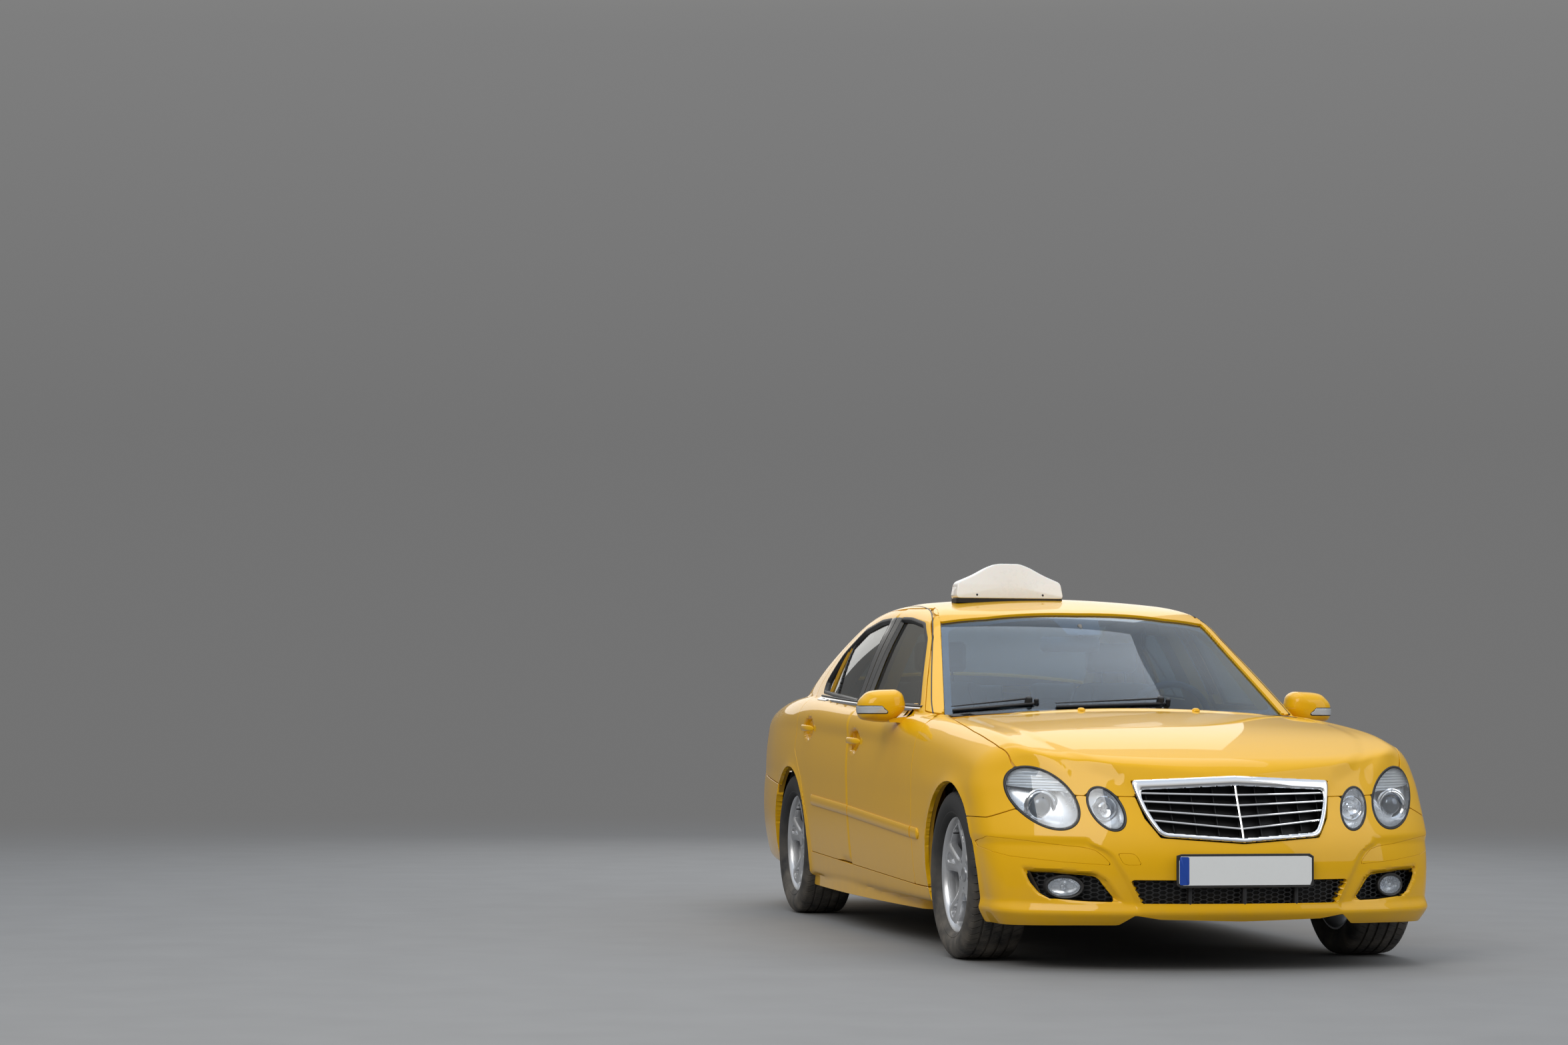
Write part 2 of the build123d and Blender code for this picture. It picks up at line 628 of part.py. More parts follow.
def build_front(nose, nose_skin):
    """Bonnet, fenders, bumper, grille and lamps, all cut from one nose shell."""
    shell = (nose - nose_skin) & box(-1100, 1100, -2500, -900, 100, 1100)
    y0, y1 = -2600, NOSE_CUT
    below = prism_y([(1100, 100)] + fit(BUMPER_LINE) + [(-1100, 100)], y0, FRONT_AXLE_Y)
    above = prism_y([(1100, 1200)] + fit([(x, z + 6) for x, z in BUMPER_LINE]) + [(-1100, 1200)], y0, -800)
    lamps = [lamp_shape(lamp, 5, y0, y1) for lamp in (LARGE_LAMP, SMALL_LAMP)]
    lamp_openings = lamps + [mirror(lamp) for lamp in lamps]

    edge = BONNET_SIDE + BONNET_REAR
    bonnet_plan = prism_z(edge + [(0, BONNET_REAR_Y)] + left_of(edge), 100, 1200)
    bonnet = shell & bonnet_plan & above
    for opening in lamp_openings + [grille_shape(-SEAT_GAP, -SEAT_GAP, y0, y1)]:
        bonnet = bonnet - opening

    grown = [(x + PANEL_GAP, y) for x, y in BONNET_SIDE]
    rear_y = DOOR_FRONT_Y - PANEL_GAP
    fender_plan = prism_z(grown + [(735, rear_y), (1100, rear_y), (1100, -2600)], 100, 1200)
    behind_wheel = box(300, 1100, FRONT_AXLE_Y, rear_y, SILL_TOP_Z + PANEL_GAP, 1200)
    fender = shell & fender_plan & (above + behind_wheel) & box(300, 1100, -2600, rear_y, 100, 1200)
    for lamp in lamps:
        fender = fender - lamp
    strip_length = box(300, 1100, STRIP_LINE[0][0], rear_y, 300, 700)
    fender = fender + build_rub_strip(lower_body(-STRIP_REACH), lower_body(2), strip_length)
    fender = fender - arch_cut(FRONT_AXLE_Y, ARCH_RADIUS, 300, 1100)
    fender = fender - swing_room(FRONT_HINGE_Y, FRONT_SWING)

    bumper = shell & below & box(-1100, 1100, -2600, FRONT_AXLE_Y - 120, 100, 700)
    for side in (1, -1):
        cut = arch_cut(FRONT_AXLE_Y, ARCH_RADIUS, 300, 1100)
        bumper = bumper - (cut if side == 1 else mirror(cut))
    fog = prism_y(FOG_OPENING, y0, y1)
    lower = prism_y(fit(LOWER_GRILLE), y0, y1)
    for opening in lamp_openings + [grille_shape(-5, -5, y0, y1), lower, fog, mirror(fog)]:
        bumper = bumper - opening
    wheel_room = [(830, -1600), (830, -2000), (700, -2060), (560, -2240)]
    bumper = bumper - prism_z(wheel_room + left_of(wheel_room), 100, 500)
    bumper = bumper + (plate_pad(0) - nose_skin)
    return bonnet, fender, bumper


def plate_pad(grow):
    """Flat seat for the front number plate."""
    return box(-266 - grow, 266 + grow, FRONT_Y, FRONT_Y + 60, 319 - grow, 433 + grow)


def ring(axis_point, direction, inner, outer, length):
    return cylinder(axis_point, direction, outer, length) - cylinder(axis_point, direction, inner, length)


def build_grille(nose_proud, nose_deep, nose_bar_deep):
    """Chrome rim with four cross bars and a centre bar, all following the nose."""
    y0, y1 = -2600, NOSE_CUT
    rim_zone = grille_shape(0, 0, y0, y1) - grille_shape(GRILLE_RIM, 30, y0, y1)
    rim = (nose_proud - nose_deep) & rim_zone
    inside = grille_shape(GRILLE_RIM - 4, 26, y0, y1)
    bars = [box(-500, 500, y0, y1, z, z + 11) for z in (525, 566, 607, 648)]
    bars.append(box(-7, 7, y0, y1, 400, 760))
    lattice = (nose_proud - nose_bar_deep) & inside
    return joined([rim] + [lattice & bar for bar in bars])


def build_lamps(nose, nose_back, nose_low, nose_low_back):
    """Twin elliptical headlamps and the round fog lamp of the +X side."""
    y0, y1 = -2600, NOSE_CUT
    lamps = [(nose - nose_back) & lamp_shape(lamp, 0, y0, y1) for lamp in (LARGE_LAMP, SMALL_LAMP)]
    x, z, radius = FOG_LAMP
    fog = (nose_low - nose_low_back) & cylinder((x, y0, z), (0, 1, 0), radius, y1 - y0)
    return lamps + [fog]


def build_bumper_grilles(plate_front, plate_back):
    """Lower centre grille and the two fog lamp bezels, seated in the bumper's openings."""
    y0, y1 = -2600, NOSE_CUT
    plate = plate_front - plate_back

    def shrunk(points):
        middle_x = sum(x for x, z in points) / len(points)
        middle_z = sum(z for x, z in points) / len(points)
        return [(x - math.copysign(SEAT_GAP, x - middle_x), z - math.copysign(SEAT_GAP, z - middle_z))
                for x, z in points]

    centre = plate & prism_y(shrunk(fit(LOWER_GRILLE)), y0, y1)
    centre = centre - plate_pad(SEAT_GAP)
    x, z, radius = FOG_LAMP
    bezel = plate & prism_y(shrunk(FOG_OPENING), y0, y1)
    bezel = bezel - cylinder((x, y0, z), (0, 1, 0), radius + SEAT_GAP, y1 - y0)
    return solids_of(centre) + both(bezel)


def build_quarter(body, body_skin):
    """Rear quarter skin behind the door, open for the tail lamp and the wheel."""
    shell = (body - body_skin) & box(300, 1100, 900, 2500, SILL_TOP_Z, 1100)
    zone = prism_x([
        (1180, SILL_TOP_Z), (1180, 1010), (1640, 1100), (2500, 1100), (2500, REAR_BUMPER_Z + PANEL_GAP),
        (REAR_BUMPER_Y, REAR_BUMPER_Z - 60), (REAR_BUMPER_Y, SILL_TOP_Z),
    ], 300, 1100)
    quarter = shell & zone
    lid = prism_z([(x + PANEL_GAP, y) for x, y in BOOT_LID_EDGE] + [(0, 2600), (0, 1665)], 100, 1200)
    quarter = quarter - lid - box(300, 625, 900, 1665, 100, 1200)
    quarter = quarter - tail_lamp_zone(0.8) - prism_x(rear_door_outline(PANEL_GAP), 300, 1150)
    return quarter - arch_cut(REAR_AXLE_Y, ARCH_RADIUS, 300, 1100)


def tail_lamp_zone(grow):
    side = prism_x([
        (2060 - 2 * grow, 842), (2230, 935 + grow), (2600, 935 + grow), (2600, 700 - grow),
        (2100 - grow, 712 - grow),
    ], 300, 1100)
    lid = [(x + PANEL_GAP - grow, y) for x, y in BOOT_LID_EDGE]
    return side - prism_z(lid + [(0, 2600), (0, 1665)], 100, 1200)


def build_boot_lid(body, body_skin):
    shell = (body - body_skin) & box(-1100, 1100, 1600, 2500, REAR_BUMPER_Z + 8, 1100)
    lid = shell & prism_z(fit(BOOT_LID_EDGE), 100, 1200)
    y, z = BOOT_HINGE
    low = math.radians(BOOT_NECK_LOW)
    reach = 700
    along = (300 * math.cos(low), 300 * math.sin(low))
    across = (-10 * math.sin(low), 10 * math.cos(low))
    for side in (1, -1):
        neck = ring((BOOT_ARM_X, y, z), (1, 0, 0), BOOT_NECK[0], BOOT_NECK[1], 20)
        sector = prism_x([
            (y, z), (y + reach * math.cos(low), z + reach * math.sin(low)), (y + reach, z + 0.45 * reach),
        ], BOOT_ARM_X - 5, BOOT_ARM_X + 25)
        neck = neck & sector
        bar = prism_x([
            (y - across[0], z - across[1]),
            (y + across[0], z + across[1]),
            (y + across[0] + along[0], z + across[1] + along[1]),
            (y - across[0] + along[0], z - across[1] + along[1]),
        ], BOOT_ARM_X, BOOT_ARM_X + 20)
        pin = cylinder((BOOT_ARM_X - 24, y, z), (1, 0, 0), 7, 60)
        arm = (neck + bar + pin) & (body_skin + box(300, 1100, 1300, 1700, 600, 1000))
        lid = lid + (arm if side == 1 else mirror(arm))
    return lid


def build_rear_bumper(body, body_skin):
    shell = (body - body_skin) & box(-1100, 1100, REAR_BUMPER_Y + 5, 2500, 100, 1000)
    zone = prism_x([
        (REAR_BUMPER_Y, 100), (REAR_BUMPER_Y, REAR_BUMPER_Z - 67), (2500, REAR_BUMPER_Z), (2500, 100),
    ], -1100, 1100)
    bumper = shell & zone
    core = prism_z([(-760, 1500), (760, 1500), (760, 2080), (600, 2270), (-600, 2270), (-760, 2080)], 100, 500)
    cut = arch_cut(REAR_AXLE_Y, ARCH_RADIUS, 300, 1100)
    x, y, z, radius = TAIL_PIPE
    room = radius + 8
    notch = cylinder((x, y, z), (0, 1, 0), room, 400) + box(x - room, x + room, y, y + 400, 100, z)
    return bumper - core - notch - cut - mirror(cut)


def build_wheel():
    """Alloy wheel about the X axis through the origin, outer face towards +X."""
    half = RIM_WIDTH / 2
    lip_radius = RIM_RADIUS + RIM_LIP
    profile = [
        (-half, lip_radius), (-half + 8, lip_radius), (-half + 14, RIM_RADIUS), (half - 14, RIM_RADIUS),
        (half - 8, lip_radius), (half, lip_radius), (half - 12, RIM_RADIUS - 12), (-half, RIM_RADIUS - 12),
    ]
    barrel = turned_profile(profile)
    hub = cylinder((half - 70, 0, 0), (1, 0, 0), HUB_RADIUS, 44)
    wheel = barrel + hub
    for index in range(SPOKE_COUNT):
        for lean in (-1, 1):
            spoke = prism_x([
                (lean * 2, 40), (lean * 44, 50), (lean * 60, 211), (lean * 30, 216), (lean * 8, 120),
            ], half - 46, half - 20)
            wheel = wheel + spoke.rotate(Axis((0, 0, 0), (1, 0, 0)), index * 360 / SPOKE_COUNT)
    disc = cylinder((half - 84, 0, 0), (1, 0, 0), BRAKE_DISC_RADIUS, 26)
    wheel = wheel + disc
    return wheel - cylinder((-half, 0, 0), (1, 0, 0), HUB_BORE, half + 40)


def turned_profile(profile):
    """Ring of (x, radius) points turned about the X axis."""
    face = Face(Wire(Polyline(*[(x, 0, z) for x, z in profile], close=True).edges()))
    return Solid.revolve(face, 360, Axis((0, 0, 0), (1, 0, 0)))


def build_tyre():
    """Tyre about the X axis through the origin: bead, bulged wall, shoulder and crown."""
    half = TYRE_WIDTH / 2
    bore = RIM_RADIUS + SEAT_GAP
    bead = RIM_WIDTH / 2 - 17
    right = [
        (bead, bore), (RIM_WIDTH / 2 - 10, RIM_RADIUS + RIM_LIP + 2), (half, TYRE_RADIUS - 52),
        (half - 16, TYRE_RADIUS - 12), (half - 60, TYRE_RADIUS),
    ]
    return turned_profile(right + [(-x, radius) for x, radius in reversed(right)])


def build_knuckle():
    """Front upright on its ball studs, with the stub axle and brake caliper, on the +X side."""
    y, z = FRONT_AXLE_Y, TYRE_RADIUS
    post = cylinder((KINGPIN_X, y, z - 92), (0, 0, 1), 24, 196)
    stub = cylinder((KINGPIN_X, y, z), (1, 0, 0), HUB_BORE - SEAT_GAP, FRONT_WHEEL_X + 30 - KINGPIN_X)
    caliper = box(FRONT_WHEEL_X - 42, FRONT_WHEEL_X - 2, y + 60, y + 130, z - 40, z + 90)
    bracket = box(KINGPIN_X - 10, FRONT_WHEEL_X - 20, y + 10, y + 90, z + 30, z + 60)
    knuckle = post + stub + box(KINGPIN_X - 24, KINGPIN_X + 10, y - 60, y + 60, z - 40, z + 40) + bracket
    bores = cylinder((KINGPIN_X, y, z - 100), (0, 0, 1), 10 + SEAT_GAP, 34)
    bores = bores + cylinder((KINGPIN_X, y, z + 78), (0, 0, 1), 10 + SEAT_GAP, 34)
    return knuckle - bores


def build_front_subframe():
    """Cross member, lower arms with ball studs, spring struts and upper links."""
    y, z = FRONT_AXLE_Y, TYRE_RADIUS
    cross = box(-400, 400, y - 70, y + 70, 165, 229.7)
    side_rails = box(350, 410, -1980, -1150, 190, 229.7)
    pieces = [cross, side_rails, mirror(side_rails)]
    for side in (1, -1):
        arm_plan = [(390, y - 60), (KINGPIN_X, y - 26), (KINGPIN_X + 24, y), (KINGPIN_X, y + 26), (390, y + 60)]
        arm = prism_z(arm_plan, z - 120, z - 98)
        stud = cylinder((KINGPIN_X, y, z - 100), (0, 0, 1), 10, 30)
        strut = cylinder((555, y, z - 110), (0, 0, 1), 24, 300) + cylinder((555, y, 470), (0, 0, 1), 38, 240)
        strut = strut & arch_cut(y, ARCH_RADIUS + 4 - SEAT_GAP, 400, 700)
        link_plan = [(540, y - 16), (KINGPIN_X, y - 16), (KINGPIN_X + 16, y), (KINGPIN_X, y + 16), (540, y + 16)]
        link = prism_z(link_plan, z + 110, z + 126)
        upper_stud = cylinder((KINGPIN_X, y, z + 84), (0, 0, 1), 10, 30)
        half = joined([arm, stud, strut, link, upper_stud])
        pieces.append(half if side == 1 else mirror(half))
    return joined(pieces)


def build_rear_subframe():
    """Cross member with differential, arms, half shafts, hub carriers and springs."""
    y, z = REAR_AXLE_Y, TYRE_RADIUS
    cross = box(-420, 420, y - 180, y - 120, 250, 320) + box(-420, 420, y + 120, y + 180, 250, 320)
    diff = box(-110, 110, y - 130, y + 130, 255, 400)
    pieces = [cross, diff]
    for side in (1, -1):
        shaft = cylinder((100, y, z), (1, 0, 0), 22, REAR_WHEEL_X - 160)
        carrier = cylinder((REAR_WHEEL_X - 110, y, z), (1, 0, 0), 70, 52)
        stub = cylinder((REAR_WHEEL_X - 60, y, z), (1, 0, 0), HUB_BORE - SEAT_GAP, 90)
        arm_ends = (380, REAR_WHEEL_X - 80)
        arms = joined([box(*arm_ends, start, start + 40, 255, 290) for start in (y - 170, y + 130)])
        link = box(REAR_WHEEL_X - 110, REAR_WHEEL_X - 80, y - 170, y + 170, 262, 300)
        spring = cylinder((520, y + 150, 285), (0, 0, 1), 55, 480 - 285 - SEAT_GAP)
        half = joined([shaft, carrier, stub, arms, link, spring])
        pieces.append(half if side == 1 else mirror(half))
    return joined(pieces)


def build_floor(body_inside):
    """Pressed floor from the toe board to the tail, with a tunnel."""
    low = [(-1120, 600), (-1120, 455), (-985, 205), (520, 205), (640, 325), (985, 350), (1030, 480),
           (1640, 480), (1700, TAIL_FLOOR_Z), (2320, TAIL_FLOOR_Z)]
    top = [(2320, TAIL_FLOOR_Z + 22), (1706, TAIL_FLOOR_Z + 22), (1646, 502), (1015, 502), (970, 372),
           (630, 347), (505, 227), (-972, 227), (-1098, 462), (-1098, 600)]
    floor = prism_x(low + top, SEAT_GAP - SILL_INNER_X, SILL_INNER_X - SEAT_GAP)
    for side in (1, -1):
        rear = box(607, 800, 895, 1700, 100, 700)
        tail = box(690, 800, 1690, 2500, 100, 700)
        for cut in (rear, tail):
            floor = floor - (cut if side == 1 else mirror(cut))
    floor = floor - box(-150, 150, -1200, 520, 100, 397)
    outer = prism_y([(-168, 205), (-125, 412), (125, 412), (168, 205)], -1119, 518)
    inner = prism_y([(-150, 190), (-111, 397), (111, 397), (150, 190)], -1200, 560)
    return (floor & body_inside) + (outer - inner)


def build_front_structure(skin_inside, beam_back, lamp_front, lamp_back):
    """Rails, wheel housings, firewall, bumper beam, lamp carriers, cross members and radiator."""
    y, z = FRONT_AXLE_Y, TYRE_RADIUS
    pieces = [
        box(-745, 745, -1142, -1120.3, 420, 880),
        box(-600, 600, -2170, -2130, 600, 640) & lamp_front,
        box(-350, 350, -2262, -2222, 250, 600),
        box(-465, 465, -2250, -2200, 400, 440),
    ]
    beam = (skin_inside - beam_back) & box(-620, 620, -2500, -2100, 400, 470)
    pieces.append(beam)
    for side in (1, -1):
        rail = box(400, 462, -2300, -1130, 400, 490) & skin_inside
        housing = ring((462, y, z), (1, 0, 0), ARCH_RADIUS + 4, ARCH_RADIUS + HOUSING_WALL, 370)
        housing = housing & skin_inside & box(400, 900, -2100, -1140, z + 90, 900)
        wall = box(452, 468, y - 360, y + 360, 500, 720)
        tower = box(468, 640, y - 90, y + 90, 700 + SEAT_GAP, 716)
        carrier = (lamp_front - lamp_back) & box(420, 800, -2400, -1940, 540, 720)
        post = box(430, 460, -2240, -2100, 500, 640) & lamp_front
        half = joined([rail, wall, housing, tower, carrier, post])
        bracket = bonnet_bracket()
        half = half + bracket
        pieces.append(half if side == 1 else mirror(half))
    return joined(pieces)


def bonnet_bracket():
    """Fixed eye for the bonnet's hinge pin, on the firewall's end."""
    y, z = BONNET_HINGE
    x0 = BONNET_ARM_X - 16
    eye = cylinder((x0, y, z), (1, 0, 0), 14, 14)
    foot = -1142
    leg = prism_x([
        (foot, z - 140), (foot + 52, z - 140), (foot + 70, z - 100), (y + 13, z - 5), (y - 10, z + 10),
        (foot, z - 50),
    ], x0, x0 + 14)
    return eye + leg - cylinder((x0 - 40, y, z), (1, 0, 0), 6 + PIN_PLAY, 90)


def bonnet_arm():
    y, z = BONNET_HINGE
    x0 = BONNET_ARM_X - 32
    outline = [
        (y - 127, z + 60), (y - 81, z + 60), (y - 40, z + 7), (y + 9, z + 7), (y + 9, z - 8), (y - 127, z - 8),
    ]
    arm = prism_x(outline, x0, x0 + 10)
    return arm + cylinder((x0, y, z), (1, 0, 0), 6, 36)


def build_rear_structure(skin_inside, beam_back):
    """Parcel shelf, bulkhead, wheel housings, tail panel, bumper beam and boot hinge eyes."""
    y, z = REAR_AXLE_Y, TYRE_RADIUS
    pieces = [
        box(-SHELF_HALF, SHELF_HALF, 1236, 1642, 985, 1000),
        box(-SHELF_HALF, SHELF_HALF, 1236, 1252, 502 + SEAT_GAP, 990),
        box(-680, 680, 2320.3, 2336, 440, 636) & skin_inside,
        (skin_inside - beam_back) & box(-640, 640, 2200, 2500, 470, 540),
        box(-420, -360, 2330, 2380, 470, 540) & skin_inside,
        box(360, 420, 2330, 2380, 470, 540) & skin_inside,
    ]
    for side in (1, -1):
        housing = ring((607.3, y, z), (1, 0, 0), ARCH_RADIUS + 4, ARCH_RADIUS + HOUSING_WALL, 250)
        housing = housing & skin_inside & box(600, 900, 900, 1700, z + 120, 900)
        wall = box(607.3, 620, y - 350, y + 350, 450, 720)
        wall = wall & cylinder((600, y, z), (1, 0, 0), ARCH_RADIUS + HOUSING_WALL, 40)
        shelf_link = box(SHELF_HALF - 6, 620, 1240, 1300, 680, 1000)
        hinge_y, hinge_z = BOOT_HINGE
        eye = cylinder((BOOT_ARM_X + 22, hinge_y, hinge_z), (1, 0, 0), 16, 12)
        leg = box(BOOT_ARM_X + 22, BOOT_ARM_X + 34, hinge_y - 12, hinge_y + 12, hinge_z, 990)
        eye = eye + leg - cylinder((BOOT_ARM_X, hinge_y, hinge_z), (1, 0, 0), 7 + PIN_PLAY, 60)
        half = joined([housing, wall, shelf_link, eye])
        pieces.append(half if side == 1 else mirror(half))
    return joined(pieces)


def build_glass(cabin_front, cabin_back):
    """Windscreen, rear window and the door glasses of the +X side, from one thin shell."""
    shell = cabin_front - cabin_back
    edge = [(x - SEAT_GAP, y) for x, y in ROOF_EDGE]
    screen_edge = [(600, -1300)] + edge[:2] + SCREEN_TOP[1:2]
    screen = shell & prism_z(screen_edge + [(0, SCREEN_TOP[2][1] - SEAT_GAP)] + left_of(screen_edge), 930, 1420)
    window_edge = [(600, 1900)] + edge[:5:-1] + [(x, y + SEAT_GAP) for x, y in WINDOW_TOP[:0:-1]]
    window_middle = [(0, WINDOW_TOP[0][1] + SEAT_GAP)]
    window = shell & prism_z(window_edge + window_middle + left_of(window_edge), 1074, 1420)
    side = shell & box(300, 1000, -900, 1200, 940, 1420)
    front = side & prism_x(front_window_outline(-SEAT_GAP), 300, 1000, 14)
    rear = side & (prism_x(rear_window_outline(-SEAT_GAP), 300, 1000, 14) - division_bar(SEAT_GAP))
    return screen, window, front, rear


def division_bar(grow):
    """Upright bar before the fixed quarter glass of the rear door."""
    return prism_x([(868 - grow, 900), (898 + grow, 900), (880 + grow, 1420), (850 - grow, 1420)], 300, 1100)


def build_roof(cabin_out, cabin_skin):
    edge = [(x - SEAT_GAP, y) for x, y in ROOF_EDGE]
    right = SCREEN_TOP[1:0:-1] + edge[1:6] + [WINDOW_TOP[1]]
    plan = prism_z([SCREEN_TOP[2]] + right + [WINDOW_TOP[0]] + left_of(right), 1200, 1500)
    return (cabin_out - cabin_skin) & plan


def build_cowl(body, body_deep, cabin_out):
    """Water-catching panel between bonnet and windscreen, open round the bonnet's hinge arms."""
    shell = (body - body_deep) & box(-735, 735, -1160, -780, 700, 1100)
    front = [(x, y + 12) for x, y in BONNET_REAR]
    right = [(735, -780), (735, -1028)] + front
    plan = prism_z(right + [(0, BONNET_REAR_Y + 12)] + left_of(right), 600, 1200)
    cowl = (shell & plan) - cabin_out
    slot = box(BONNET_ARM_X - 40, BONNET_ARM_X + 6, -1100, BONNET_HINGE[0] + 24, 800, 1000)
    return cowl - slot - mirror(slot)


def build_sign(cabin_out):
    """Roof sign with a raised middle, its foot cut to the roof."""
    x, y, wide, deep, top = SIGN
    half = wide / 2
    right = [
        (half, top - 190), (half, top - 160), (half - 17, top - 83), (half - 85, top - 52), (95, top - 15),
        (55, top),
    ]
    outline = [(x + dx, z) for dx, z in right] + [(x - dx, z) for dx, z in reversed(right)]
    return prism_y(outline, y - deep / 2, y + deep / 2) - cabin_out


def build_mirror(body_out):
    """Door mirror: a rounded housing on a short arm that meets the door skin."""
    housing = box(868, 1041, -668, -588, 930, 1040)
    housing = housing.fillet(30, housing.edges().filter_by(Axis.X))
    housing = housing.chamfer(16, None, housing.faces().sort_by(Axis.X)[-1].edges())
    arm = prism_y([(800, 948), (900, 938), (905, 968), (800, 985)], -672, -612)
    return (housing + arm) - body_out


def build_steering_wheel():
    x, y, z, radius, grip, tilt = STEERING_WHEEL
    corners = [math.radians(22.5 + 45 * index) for index in range(8)]
    rim = turned_profile([(grip * math.sin(turn), radius + grip * math.cos(turn)) for turn in corners])
    rim = rim.rotate(Axis((0, 0, 0), (0, 1, 0)), -90)
    hub = cylinder((0, 0, -HUB_BACK), (0, 0, 1), 62, 40)
    spokes = [box(-radius, radius, -16, 16, -10, 4), box(-16, 16, -radius, 0, -10, 4)]
    wheel = joined([rim, hub] + spokes)
    wheel = wheel.rotate(Axis((0, 0, 0), (1, 0, 0)), tilt - 90)
    return wheel.moved(Location((x, y, z)))


def build_dashboard(cavity):
    """Dashboard across the cabin with the steering column."""
    profile = [
        (-1060, 600), (-1060, 890), (-960, 925), (-640, 935), (-560, 880), (-600, 700), (-760, 560), (-900, 540),
    ]
    dash = prism_x(profile, -770, 770) & cavity
    x, y, z, radius, grip, tilt = STEERING_WHEEL
    angle = math.radians(tilt)
    direction = (0, -math.cos(angle), -math.sin(angle))
    reach = HUB_BACK + SEAT_GAP
    start = (x, y + reach * direction[1], z + reach * direction[2])
    console = box(-105, 105, -900, -560, 412.3, 700)
    return dash + cylinder(start, direction, 34, 330) + console


def build_seats():
    """Front seat and its head rest on the +X side, a plain closed form."""
    seat = prism_x([
        (-220, 227.3), (180, 227.3), (230, 330), (330, 380), (450, 1080), (395, 1105), (270, 640), (190, 480),
        (-280, 495), (-310, 420), (-240, 330),
    ], 172, 640, 0)
    rest = box(280, 520, 390, 480, 1110, 1265)
    posts = box(330, 345, 420, 432, 1060, 1130) + box(455, 470, 420, 432, 1060, 1130)
    return seat + rest + posts


def build_rear_bench():
    bench = prism_x([
        (570, 376.3), (952, 376.3), (998, 502.3), (1235, 502.3), (1235, 984.7), (1130, 984.7), (980, 560),
        (560, 560), (540, 480),
    ], -SHELF_HALF, SHELF_HALF)
    return bench


def build_exhaust():
    """Pipe under the tunnel and a silencer on the right at the tail."""
    route = [(-60, -1150, 175), (-60, -900, 165), (-60, 1000, 165), (-180, 1300, 205), (-420, 1800, 260)]
    path = FilletPolyline(*route[:-1], (-330, 1760, 235), radius=90)
    section = Plane(origin=route[0], z_dir=(0, 1, 0)) * Circle(27)
    pipe = sweep(section, path=path)
    silencer = box(-560, -160, 1760, 2180, 215, 395)
    silencer = silencer.fillet(60, silencer.edges().filter_by(Axis.X))
    x, y, z, radius = TAIL_PIPE
    tail = cylinder((x, y, z), (0, 1, 0), radius, 190)
    hangers = [box(x, x + 14, 1950, 1970, 380, TAIL_FLOOR_Z - SEAT_GAP) for x in (-490, -244)]
    return joined([pipe, silencer, tail] + hangers)


def build_engine():
    block = box(-240, 240, -2020, -1345, 230, 700)
    block = block.chamfer(60, None, block.edges().filter_by(Axis.Y))
    gearbox_plan = [(150, -1345), (105, -1100), (90, -560), (-90, -560), (-105, -1100), (-150, -1345)]
    gearbox = prism_z(gearbox_plan, 215, 385)
    return block + gearbox


